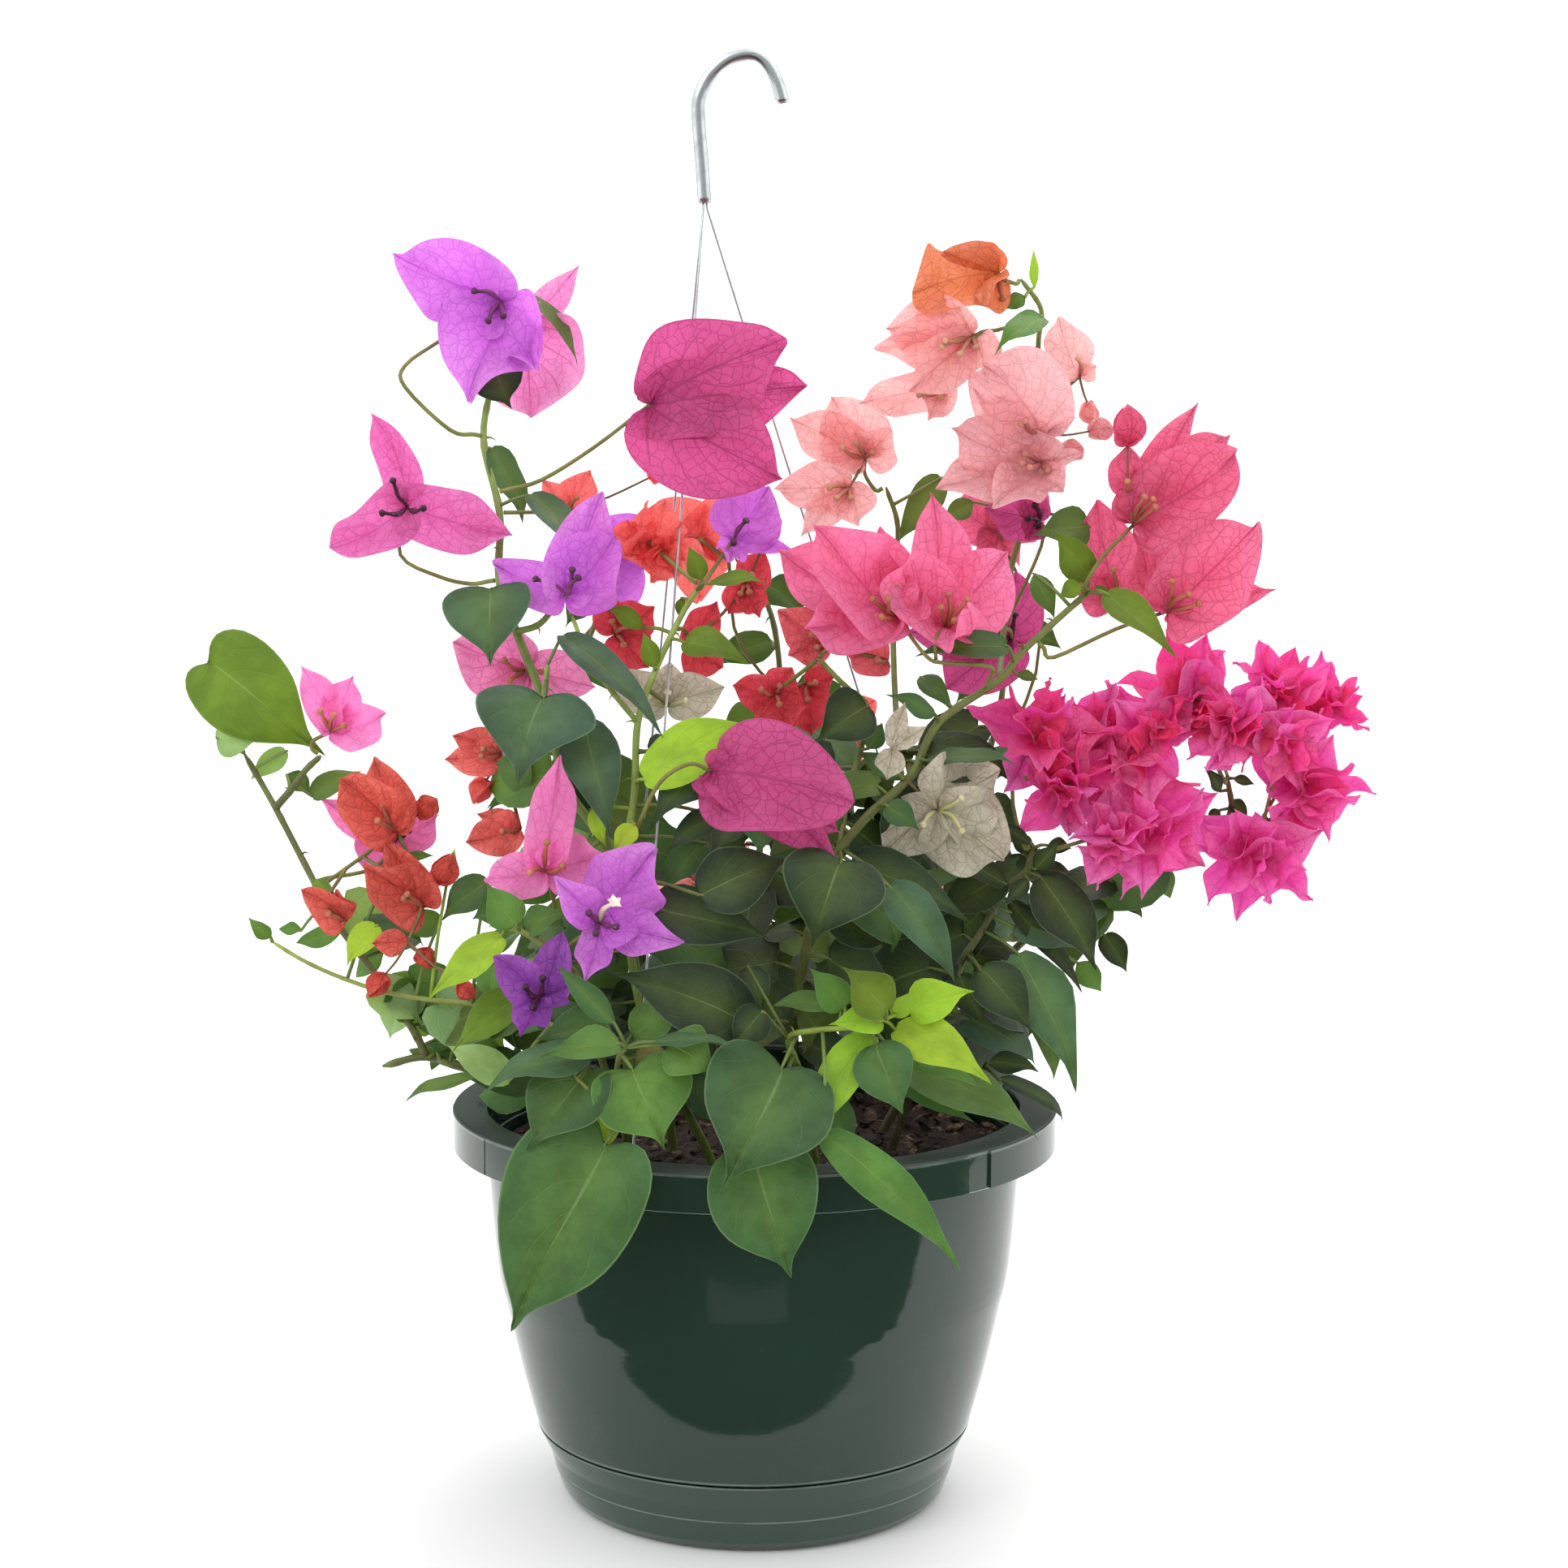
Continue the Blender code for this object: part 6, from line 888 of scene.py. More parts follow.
def draw_tube(shell, line, radii, sides, colours, finish=0):
    """A closed tube: a circle extruded from point to point of a line, with a radius and colour at each."""
    paint = shell.verts.layers.float_color["paint"]
    uv = shell.loops.layers.uv["share"]
    last = len(line) - 1
    heading = (line[1] - line[0]).normalized()
    turn = UP.rotation_difference(heading).to_matrix()
    ring = None
    faces = set()
    for index, point in enumerate(line):
        ahead = (line[min(index + 1, last)] - line[max(index - 1, 0)]).normalized()
        turn = heading.rotation_difference(ahead).to_matrix() @ turn
        heading = ahead
        share = index / last
        radius = radii(share)
        stand = Matrix.Translation(point) @ turn.to_4x4() @ Matrix.Scale(radius, 4)
        if ring is None:
            made = bmesh.ops.create_circle(shell, cap_ends=True, segments=sides, radius=1.0, matrix=stand)
            ring = made["verts"]
            faces.update(ring[0].link_faces)
            edges = list({edge for corner in ring for edge in corner.link_edges})
        else:
            made = bmesh.ops.extrude_edge_only(shell, edges=edges)
            ring = [part for part in made["geom"] if isinstance(part, bmesh.types.BMVert)]
            edges = [part for part in made["geom"] if isinstance(part, bmesh.types.BMEdge)]
            edges = [edge for edge in edges if all(corner in ring for corner in edge.verts)]
            bmesh.ops.transform(shell, matrix=stand @ before.inverted(), verts=ring)
            faces.update(face for corner in ring for face in corner.link_faces)
        before = stand
        for corner in ring:
            corner[paint] = (*colours(share), 1.0)
    faces.update(bmesh.ops.contextual_create(shell, geom=edges)["faces"])
    bmesh.ops.recalc_face_normals(shell, faces=list(faces))
    for face in faces:
        face.material_index = finish
        face.smooth = True
        for corner in face.loops:
            corner[uv].uv = (0.5, 0.5)


def outline_rows(outline, count):
    """Points evenly along the smooth curve of a half outline, from the base to the tip."""
    curve = smooth_line([Vector(point) for point in OUTLINES[outline]], 8)
    rows = []
    for index in range(count + 1):
        place = index / count * (len(curve) - 1)
        low = min(int(place), len(curve) - 2)
        rows.append(curve[low].lerp(curve[low + 1], place - low))
    return rows


def draw_blade(shell, base, tip, width, up, outline, form, fineness, colours, dice, finish=0):
    """One leaf or bract: a grid laid over its outline, then curved, with its upper face towards up.

    Rows of the grid run from the rib out to the edge, as side veins do. The sheet folds at the rib,
    ripples along its edge, bulges between its side veins and has an uneven margin.
    """
    paint = shell.verts.layers.float_color["paint"]
    uv = shell.loops.layers.uv["share"]
    bow, cup, wave, droop, quilt = form
    across_count, along_count = fineness
    length = (tip - base).length
    ahead = (tip - base) / length
    normal = (up - ahead * up.dot(ahead)).normalized()
    side = ahead.cross(normal)
    rows = outline_rows(outline, along_count)
    phases = dice.random(), dice.random()
    ripples = dice.uniform(*RIPPLES)
    sweep = dice.uniform(-SWEEP, SWEEP) * length
    creases = Vector([dice.uniform(0, NOISE_REACH) for _ in range(3)])
    grid = bmesh.ops.create_grid(shell, x_segments=across_count, y_segments=along_count, size=1.0)
    marks = {}
    for corner in grid["verts"]:
        u, row = corner.co.x, round((corner.co.y + 1) / 2 * along_count)
        t = row / along_count
        edge_along, edge_across = rows[row]
        out = abs(u)
        middle = 4 * t * (1 - t)
        along = t ** BUNCHING * (1 - out) + edge_along * out
        uneven = 1.0 + UNEVEN * noise.noise(creases + Vector((u * 0.7, t * 3.6, 7.0))) * middle
        across = edge_across * u * uneven
        ripple = math.sin(2 * math.pi * (ripples * t + phases[u > 0])) * out ** 2 * middle ** 0.5
        crease = noise.noise(creases + Vector((u * 1.1, t * 1.9, 0.0))) * out
        fold = abs(across) - FOLD_EASE * across ** 2
        puff = abs(math.sin(math.pi * SIDE_VEINS * (t - VEIN_SLANT * out))) * (out * (1 - out)) ** 0.5
        rise = bow * length * 4 * along * (1 - along) + cup * fold * width + quilt * width * puff
        bent = max(0.0, along - DROOP_FROM) ** 2 * DROOP_GAIN
        rise += wave * width * (ripple + crease) - droop * length * bent
        corner.co = (base + ahead * (along * length) + side * (across * width + sweep * middle)
                     + normal * rise)
        corner[paint] = (*colours(out, t), 1.0)
        marks[corner] = (0.5 + 0.5 * u, t)
    faces = {face for corner in grid["verts"] for face in corner.link_faces}
    for face in faces:
        face.material_index = finish
        face.smooth = True
        for corner in face.loops:
            corner[uv].uv = marks[corner.vert]
    top = [corner for corner, (_, t) in marks.items() if t == 1.0]
    bmesh.ops.pointmerge(shell, verts=top, merge_co=tip - normal * (droop * length))


class Value:
    """A number on a node's socket, which plain arithmetic turns into more nodes."""

    def __init__(self, graph, socket):
        self.graph = graph
        self.socket = socket

    def __add__(self, other):
        return self.graph.math("ADD", self, other)

    def __sub__(self, other):
        return self.graph.math("SUBTRACT", self, other)

    def __rsub__(self, other):
        return self.graph.math("SUBTRACT", other, self)

    def __mul__(self, other):
        return self.graph.math("MULTIPLY", self, other)

    __radd__ = __add__
    __rmul__ = __mul__


class Graph:
    """The nodes of one material or of the world."""

    def __init__(self, owner):
        owner.use_nodes = True
        self.tree = owner.node_tree
        self.tree.nodes.clear()

    def node(self, kind, settings=None, sockets=None):
        """Add a node: first its settings, then a number, colour or link for each socket named."""
        made = self.tree.nodes.new(kind)
        for name, setting in (settings or {}).items():
            setattr(made, name, setting)
        for name, value in (sockets or {}).items():
            socket = made.inputs[name]
            if isinstance(value, Value):
                value = value.socket
            if isinstance(value, bpy.types.NodeSocket):
                self.tree.links.new(value, socket)
            elif socket.type == "RGBA":
                socket.default_value = (*value, 1.0)
            else:
                socket.default_value = value
        return made

    def math(self, operation, *numbers, clamp=False):
        """The outcome of a Math node."""
        settings = {"operation": operation, "use_clamp": clamp}
        made = self.node("ShaderNodeMath", settings, dict(enumerate(numbers)))
        return Value(self, made.outputs[0])

    def highest(self, number, *others):
        """The highest of some numbers."""
        for other in others:
            number = self.math("MAXIMUM", number, other)
        return number

    def step(self, number, low, high):
        """0 below low, 1 above high, and a soft rise between."""
        made = self.node("ShaderNodeMapRange", {"interpolation_type": "SMOOTHSTEP"},
                         {"Value": number, "From Min": low, "From Max": high})
        return Value(self, made.outputs["Result"])

    def mix(self, share, first, second, how="MIX"):
        """The mix of two colours."""
        made = self.node("ShaderNodeMix", {"data_type": "RGBA", "blend_type": how},
                         {0: share, 6: first, 7: second})
        return made.outputs[2]

    def lightness(self, colour):
        """How light a colour is."""
        return Value(self, self.node("ShaderNodeRGBToBW", None, {"Color": colour}).outputs[0])

    def place(self):
        """The point of the piece, in metres."""
        return self.node("ShaderNodeTexCoord").outputs["Object"]

    def noise(self, place, scale, detail=3.0, roughness=0.5):
        """Cloudy values about a half, with so many waves a metre."""
        made = self.node("ShaderNodeTexNoise", None,
                         {"Vector": place, "Scale": scale, "Detail": detail, "Roughness": roughness})
        return Value(self, made.outputs["Fac"])

    def cells(self, place, scale, feature="DISTANCE_TO_EDGE"):
        """How far a point is from the border of its cell, or with F1 from the cell's own point."""
        made = self.node("ShaderNodeTexVoronoi", {"feature": feature}, {"Vector": place, "Scale": scale})
        return Value(self, made.outputs["Distance"])

    def stirred(self, place, scale, reach):
        """Points shifted at random by up to a reach, so that a pattern on them is less even."""
        swirl = self.node("ShaderNodeTexNoise", None, {"Vector": place, "Scale": scale}).outputs["Color"]
        middle = self.node("ShaderNodeVectorMath", {"operation": "SUBTRACT"}, {0: swirl, 1: (0.5, 0.5, 0.5)})
        shift = self.node("ShaderNodeVectorMath", {"operation": "SCALE"},
                          {0: middle.outputs[0], "Scale": reach * 2})
        return self.node("ShaderNodeVectorMath", {"operation": "ADD"},
                         {0: place, 1: shift.outputs[0]}).outputs[0]

    def stretched(self, place, scale):
        """Points scaled along each axis."""
        return self.node("ShaderNodeMapping", None, {"Vector": place, "Scale": scale}).outputs[0]

    def painted(self):
        """The colour painted on the mesh."""
        return self.node("ShaderNodeAttribute", {"attribute_name": "paint"}).outputs["Color"]

    def shares(self):
        """How far across a blade a point is, 0 at the rib and 1 at the edge, and how far along."""
        made = self.node("ShaderNodeUVMap", {"uv_map": "share"})
        parts = self.node("ShaderNodeSeparateXYZ", None, {"Vector": made.outputs["UV"]})
        across = Value(self, parts.outputs["X"])
        return self.math("ABSOLUTE", across * 2.0 - 1.0), Value(self, parts.outputs["Y"])

    def bump(self, height, strength, distance):
        """The normals of a surface with fine relief."""
        made = self.node("ShaderNodeBump", None,
                         {"Height": height, "Strength": strength, "Distance": distance})
        return made.outputs["Normal"]

    def shader(self, sockets):
        """The main surface."""
        return self.node("ShaderNodeBsdfPrincipled", None, sockets).outputs[0]

    def lit_through(self, share, sheet, colour):
        """A sheet that lets a share of the light through, in a colour of its own."""
        through = self.node("ShaderNodeBsdfTranslucent", None, {"Color": colour}).outputs[0]
        return self.node("ShaderNodeMixShader", None, {0: share, 1: sheet, 2: through}).outputs[0]

    def finish(self, surface):
        """Make a surface the material's outcome."""
        self.node("ShaderNodeOutputMaterial", None, {"Surface": surface})


def new_material(name):
    """A material and its empty graph."""
    made = bpy.data.materials.new(name)
    return made, Graph(made)


def blade_veins(graph, place, net_scale):
    """Masks of a blade: its midrib, side veins, the net between them and a finer one, and its margin."""
    out, along = graph.shares()
    rib = 1.0 - graph.step(out, 0.008, 0.042)
    wobble = graph.noise(place, 90.0, detail=1.0) * 0.3
    wave = graph.math("PINGPONG", (along - out * VEIN_SLANT) * SIDE_VEINS + wobble, 0.5)
    side = (1.0 - graph.step(wave, 0.012, 0.050)) * (1.0 - graph.step(out, 0.70, 0.98))
    bent = graph.stirred(place, *STIR)
    net = 1.0 - graph.step(graph.cells(bent, net_scale), 0.0, 0.048)
    fine = 1.0 - graph.step(graph.cells(bent, net_scale * 2.7), 0.0, 0.12)
    margin = graph.step(out, 0.962, 0.985)
    return rib, side, net, fine, margin


def bract_material(slot, colours):
    """Thin papery bract: netted veins, soft cloudy colour, and light coming through."""
    throat, middle, edge, vein, strength, quilt, glow = BRACTS[slot]
    made, graph = new_material(f"bract_{slot}")
    place = graph.place()
    rib, side, net, fine, margin = blade_veins(graph, place, BRACT_NET)
    veins = graph.highest(net * 0.72, side * 0.8, rib, fine * 0.22, margin * 0.5)
    cloud = graph.noise(place, 70.0, detail=4.0, roughness=0.6)
    blotch = graph.noise(place, 24.0, detail=2.0)
    pale = graph.mix(graph.step(cloud, 0.42, 0.70) * 0.38, graph.painted(), tint(*edge))
    pale = graph.mix(graph.step(blotch, 0.48, 0.72) * 0.30, pale, tint(*throat))
    shown = graph.math("MULTIPLY", veins, strength, clamp=True)
    colour = graph.mix(shown, pale, tint(*vein))
    paper = graph.noise(place, 900.0, detail=2.0)
    swell = graph.cells(graph.stirred(place, *STIR), BRACT_NET)
    crumple = graph.noise(graph.stirred(place, 60.0, 0.004), 170.0, detail=4.0, roughness=0.62)
    height = swell * quilt - veins * 0.45 + crumple * (1.1 * quilt) + paper * 0.10
    normal = graph.bump(height, strength=0.75, distance=0.0012)
    sheet = graph.shader({"Base Color": colour, "Roughness": 0.60 - veins * 0.08, "Normal": normal,
                          "Specular IOR Level": 0.25})
    graph.finish(graph.lit_through(glow - shown * (glow * 0.75), sheet, colours))
    return made


def leaf_material(gloss):
    """Leaf: faint pale veins, a thin light margin, mottled between, and light through young ones."""
    made, graph = new_material("bougainvillea_leaf")
    place = graph.place()
    rib, side, net, fine, margin = blade_veins(graph, place, LEAF_NET)
    cloud = graph.noise(place, 60.0, detail=5.0, roughness=0.6)
    paint = graph.painted()
    deep = graph.mix(1.0, paint, LEAF_DEEP, "MULTIPLY")
    mottled = graph.mix(graph.step(cloud, 0.36, 0.66), deep, paint)
    bright = graph.mix(0.30, paint, LEAF_BRIGHT)
    lines = graph.highest(rib * 0.50, side * 0.12, margin * 0.45, net * 0.05)
    colour = graph.mix(lines, mottled, bright)
    scars = graph.step(graph.noise(place, 150.0, detail=6.0, roughness=0.75), 0.70, 0.76)
    colour = graph.mix(scars * 0.18, colour, LEAF_SCAR)
    height = graph.cells(graph.stirred(place, *STIR), LEAF_NET) * 0.4 - side * 0.7 - rib * 0.9
    height = height - fine * 0.10 + graph.noise(place, 120.0) * 0.9
    normal = graph.bump(height, strength=0.45, distance=0.0009)
    dust = graph.noise(place, 260.0, detail=4.0)
    sheet = graph.shader({"Base Color": colour, "Roughness": dust * 0.22 + gloss, "Normal": normal,
                          "Specular IOR Level": 0.30})
    graph.finish(graph.lit_through(graph.lightness(paint) * 0.62 - lines * 0.02, sheet, LEAF_THROUGH))
    return made


def stem_material():
    """Cane, stalk and flower tube: painted colour with fine lengthwise fibres and small pores."""
    made, graph = new_material("stem_and_flower")
    place = graph.place()
    fibres = graph.noise(graph.stretched(place, (1.0, 1.0, 0.12)), 1500.0)
    cloud = graph.noise(place, 85.0)
    paint = graph.painted()
    dark = graph.mix(1.0, paint, STEM_DEEP, "MULTIPLY")
    colour = graph.mix(graph.step(cloud, 0.35, 0.7) * 0.7 + fibres * 0.3, dark, paint)
    pores = 1.0 - graph.step(graph.cells(place, 420.0, "F1"), 0.10, 0.20)
    colour = graph.mix(pores * 0.4, colour, STEM_PORE)
    normal = graph.bump(fibres + pores * 0.6, strength=0.5, distance=0.0004)
    graph.finish(graph.shader({"Base Color": colour, "Roughness": cloud * 0.2 + 0.42, "Normal": normal}))
    return made


def plastic_material(name, base, gloss, highlights_and_wear, dusty):
    """Moulded plastic, glossy and scuffed, with a painted highlight as pale lines along edges at some heights
    (partly wear too), and dust above one.
    """
    made, graph = new_material(name)
    place = graph.place()
    parts = graph.node("ShaderNodeSeparateXYZ", None, {"Vector": place})
    height = Value(graph, parts.outputs["Z"])
    # Bands at given heights that paint the highlight along rounded edges and seams, partly wear at the
    # skirt's lower edge
    highlight_bands = []
    for level, reach, strength in highlights_and_wear:
        off = graph.math("ABSOLUTE", height - level * MM)
        highlight_bands.append((1.0 - graph.step(off, reach * MM * 0.5, reach * MM)) * strength)
    broken = graph.step(graph.noise(place, 70.0), 0.30, 0.55) * 0.6 + 0.4
    edge = graph.math("MULTIPLY", sum(highlight_bands[1:], highlight_bands[0]), broken, clamp=True)
    settled = graph.step(height, (dusty - 0.8) * MM, dusty * MM)
    cloud = graph.noise(place, 9.0, detail=4.0, roughness=0.6)
    streaks = graph.stretched(place, (1.0, 1.0, 0.35))
    scuffs = graph.step(graph.noise(streaks, 160.0, detail=8.0, roughness=0.72), 0.62, 0.80)
    dust = graph.step(graph.noise(place, 26.0, detail=9.0, roughness=0.68), 0.56, 0.82)
    specks = 1.0 - graph.step(graph.cells(place, 240.0, "F1"), 0.03, 0.08)
    specks = specks * graph.step(graph.noise(place, 60.0, detail=2.0), 0.64, 0.70)
    tone = graph.mix(cloud * 0.5, base, blend(base, PLASTIC_AGED, 0.25))
    tone = graph.mix(dust * 0.05, tone, PLASTIC_DUST)
    tone = graph.mix(specks * 0.35, tone, PLASTIC_SPECK)
    # Painted highlight: the edge bands are mixed pale here
    tone = graph.mix(edge, tone, PLASTIC_HIGHLIGHT_AND_WEAR)
    tone = graph.mix(settled * (cloud * 0.10 + 0.02), tone, PLASTIC_SETTLED)
    rough = cloud * 0.04 + gloss + dust * 0.06 + scuffs * 0.06 + settled * 0.34
    peel = graph.noise(place, 420.0, detail=2.0) * 0.25 + graph.noise(place, 45.0, detail=2.0)
    normal = graph.bump(peel + scuffs * 0.1, strength=0.08, distance=0.0009)
    graph.finish(graph.shader({"Base Color": tone, "Roughness": rough, "Normal": normal,
                               "Specular IOR Level": 0.5}))
    return made


def mix_material():
    """Potting mix: dark damp crumbs, with the bark chips' own painted colours."""
    made, graph = new_material("potting_mix_crumbs")
    place = graph.place()
    crumbs = graph.noise(place, 420.0, detail=8.0, roughness=0.68)
    grains = graph.cells(graph.stirred(place, 300.0, 0.0008), 560.0, "F1")
    paint = graph.painted()
    dark = graph.mix(1.0, paint, MIX_DEEP, "MULTIPLY")
    colour = graph.mix(graph.step(crumbs, 0.36, 0.66), dark, paint)
    fibre = graph.noise(graph.stretched(place, (1.0, 0.2, 1.0)), 900.0, detail=4.0)
    colour = graph.mix(graph.step(fibre, 0.66, 0.74) * 0.35, colour, MIX_FIBRE)
    normal = graph.bump(crumbs + grains * 0.8, strength=0.9, distance=0.0016)
    graph.finish(graph.shader({"Base Color": colour, "Roughness": 0.94 - crumbs * 0.15,
                               "Normal": normal}))
    return made


def steel_material(colour):
    """Galvanised steel: bright and drawn, with dull patches."""
    made, graph = new_material("galvanised_steel_drawn")
    place = graph.place()
    drawn = graph.noise(graph.stretched(place, (1.0, 1.0, 0.06)), 700.0, detail=2.0)
    patch = graph.noise(place, 120.0, detail=5.0, roughness=0.6)
    tone = graph.mix(graph.step(patch, 0.42, 0.66) * 0.7, colour, STEEL_DULL)
    rough = graph.step(patch, 0.4, 0.75) * 0.14 + 0.28 + drawn * 0.08
    normal = graph.bump(drawn * 0.3 + patch, strength=0.03, distance=0.0001)
    graph.finish(graph.shader({"Base Color": tone, "Roughness": rough, "Metallic": 1.0, "Normal": normal}))
    return made


def smooth(shell):
    """Shade every face of a mesh smooth."""
    for face in shell.faces:
        face.smooth = True


def new_object(name, shell, finishes=()):
    """Turn a mesh into an object of the scene."""
    mesh = bpy.data.meshes.new(name)
    shell.to_mesh(mesh)
    shell.free()
    for finish in finishes:
        mesh.materials.append(finish)
    made = bpy.data.objects.new(name, mesh)
    bpy.context.scene.collection.objects.link(made)
    return made


def new_piece(name, shell, finishes, slot, *nodes):
    """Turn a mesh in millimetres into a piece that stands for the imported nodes."""
    bmesh.ops.scale(shell, vec=(MM, MM, MM), verts=shell.verts)
    piece = new_object(name, shell, finishes)
    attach(piece, "root")
    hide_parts(*nodes)
    return piece


def spun_shell(profile, steps, rounding=0.0):
    """A closed body of revolution from a section of (radius, height), its corners rounded if asked."""
    shell = new_shell()
    corners = [shell.verts.new((radius, 0.0, height)) for radius, height in profile]
    for pair in zip(corners, corners[1:]):
        shell.edges.new(pair)
    if rounding:
        off_axis = [corner for corner in corners if corner.co.x > 0.0]
        bmesh.ops.bevel(shell, geom=off_axis, offset=rounding, segments=3, profile=0.5,
                        affect="VERTICES", material=-1)
    bmesh.ops.spin(shell, geom=list(shell.verts) + list(shell.edges), cent=(0, 0, 0), axis=(0, 0, 1),
                   dvec=(0, 0, 0), angle=2 * math.pi, steps=steps, use_merge=True)
    bmesh.ops.remove_doubles(shell, verts=shell.verts, dist=0.001)
    bmesh.ops.recalc_face_normals(shell, faces=shell.faces)
    smooth(shell)
    return shell


def wire_spot(azimuth):
    """Where a wire passes the rim's flange."""
    angle = math.radians(azimuth)
    return Vector((WIRE_CIRCLE * math.cos(angle), WIRE_CIRCLE * math.sin(angle), 0.0))


def cut_holes(piece, holes):
    """Cut upright holes, each given as x, y, lowest and highest z and radius in millimetres."""
    drills = bmesh.new()
    for x, y, low, high, radius in holes:
        stand = Matrix.Translation((x * MM, y * MM, (low + high) / 2 * MM))
        bmesh.ops.create_cone(drills, cap_ends=True, segments=20, radius1=radius * MM,
                              radius2=radius * MM, depth=(high - low) * MM, matrix=stand)
    cutter = new_object("drills", drills)
    modifier = piece.modifiers.new("holes", "BOOLEAN")
    modifier.object = cutter
    modifier.solver = "EXACT"
    shaped = piece.evaluated_get(bpy.context.evaluated_depsgraph_get())
    cut = bpy.data.meshes.new_from_object(shaped)
    piece.modifiers.clear()
    whole, drilled = piece.data, cutter.data
    name = whole.name
    piece.data = cut
    bpy.data.objects.remove(cutter)
    for spent in (whole, drilled):
        bpy.data.meshes.remove(spent)
    cut.name = name


class PotSettings(PropertyGroup):
    """Sizes and finishes of the pot, its saucer and its potting mix."""

    plastic: FloatVectorProperty(name="Plastic", description="Colour of the pot and its saucer",
                                 subtype="COLOR", size=3, min=0.0, max=1.0, default=tint(29, 46, 36))
    gloss: FloatProperty(name="Roughness", description="Lowest roughness of the plastic", min=0.0,
                         max=1.0, default=0.06, subtype="FACTOR")
    rounding: FloatProperty(name="Rounding", description="Radius of the plastic's edges, in millimetres",
                            min=0.05, max=1.0, default=0.45)
    steps: IntProperty(name="Steps", description="Faces round the pot", min=48, max=360, default=192)
    chips: IntProperty(name="Bark chips", description="Chips that lie on the potting mix", min=0,
                       max=1500, default=640)


class HangerSettings(PropertyGroup):
    """Sizes and finish of the hook and its wires."""

    steel: FloatVectorProperty(name="Steel", description="Colour of the hook and wires",
                               subtype="COLOR", size=3, min=0.0, max=1.0, default=(0.68, 0.72, 0.72))
    wire_radius: FloatProperty(name="Wire radius", description="Radius of a wire, in millimetres",
                               min=0.3, max=WIRE_RADIUS, default=0.52)
    wire_sides: IntProperty(name="Wire sides", description="Faces round a wire", min=6, max=24, default=10)
    hook_sides: IntProperty(name="Hook sides", description="Faces round the hook", min=8, max=64, default=28)


class PlantSettings(PropertyGroup):
    """Form and finishes of the canes, leaves and bracts."""

    leaf_gloss: FloatProperty(name="Leaf roughness", description="Lowest roughness of a leaf", min=0.0,
                              max=1.0, default=0.40, subtype="FACTOR")
    wave: FloatProperty(name="Wave", description="How far the edges of leaves and bracts ripple", min=0.0,
                        max=3.0, default=1.0)
    slim: FloatProperty(name="Cane slimness", description="How thick canes are, as a share of the frame's",
                        min=0.5, max=1.0, default=0.82, subtype="FACTOR")
    florets: IntProperty(name="Florets", description="Tufts of bracts in a double head", min=1, max=12,
                         default=3)
    seed: IntProperty(name="Seed", description="Start of the small random differences", min=0,
                      default=7)


class StageSettings(PropertyGroup):
    """The floor, the light and the camera."""

    floor: FloatVectorProperty(name="Floor", description="Colour of the floor", subtype="COLOR", size=3,
                               min=0.0, max=1.0, default=(0.90, 0.90, 0.90))
    key: FloatProperty(name="Key light", description="Power of the main soft light", unit="POWER",
                       min=0.0, default=11.0)
    sky: FloatProperty(name="Surroundings", description="Strength of the even light from all round",
                       min=0.0, max=5.0, default=1.38)
    lens: FloatProperty(name="Lens", description="Focal length of the camera", unit="CAMERA", min=10.0,
                        default=LENS)


class MakePot(Operator):
    """Spin the pot, raise the panels on its rim, and cut the holes for the wires and for draining"""

    bl_idname = "bougainvillea.pot"
    bl_label = "Pot"

    def execute(self, context):
        sizes = context.scene.bougainvillea_pot
        wall = [(point.x, point.y) for point in smooth_line([Vector(one) for one in POT_WALL_LINE], 5)]
        rim = [(WALL_TOP_RADIUS, FLANGE_UNDER), (SKIRT_INNER, FLANGE_UNDER), (SKIRT_INNER, SKIRT_BOTTOM),
               (RIM_RADIUS, SKIRT_BOTTOM), (RIM_RADIUS, RIM_TOP), (LIP_INNER, RIM_TOP)]
        inner = [(radius - POT_WALL, height) for radius, height in reversed(wall[1:-1])]
        shell = spun_shell([*POT_UNDER, *wall, *rim, *inner, *POT_INSIDE], sizes.steps, sizes.rounding)
        for low, high, rise in RIM_PANELS:
            self.raise_panel(shell, low, high, rise)
        plastic = plastic_material("pot_plastic_glossy", sizes.plastic, sizes.gloss, POT_HIGHLIGHTS_AND_WEAR, RIM_TOP - 0.4)
        pot = new_piece("pot_shell", shell, [plastic], "pot_plastic", "pot")
        holes = []
        for azimuth in WIRE_AZIMUTHS.values():
            for turn in (0.0, -TAIL_TURN):
                hole = wire_spot(azimuth + turn)
                holes.append((hole.x, hole.y, *WIRE_HOLE_SPAN, WIRE_HOLE_RADIUS))
        for index in range(DRAINS):
            angle = 2 * math.pi / DRAINS * (index + 0.5)
            x, y = DRAIN_CIRCLE * math.cos(angle), DRAIN_CIRCLE * math.sin(angle)
            holes.append((x, y, *DRAIN_SPAN, DRAIN_RADIUS))
        cut_holes(pot, holes)
        pot.data.set_sharp_from_angle(angle=SHARP_ANGLE)
        return {"FINISHED"}

    def raise_panel(self, shell, low, high, rise):
        """Raise a stretch of the rim's skirt."""
        faces = []
        for face in shell.faces:
            middle = face.calc_center_median()
            azimuth = math.degrees(math.atan2(middle.y, middle.x))
            inside = low <= azimuth <= high or low <= azimuth + 360 <= high
            if inside and middle.xy.length > RIM_RADIUS - PANEL_NEAR and face.calc_area() > PANEL_FACE:
                faces.append(face)
        if not faces:
            raise RuntimeError("the rim has no faces where a panel should stand")
        made = bmesh.ops.extrude_face_region(shell, geom=faces)
        for corner in made["geom"]:
            if isinstance(corner, bmesh.types.BMVert):
                reach = corner.co.xy.length
                corner.co.xy *= (reach + rise) / reach


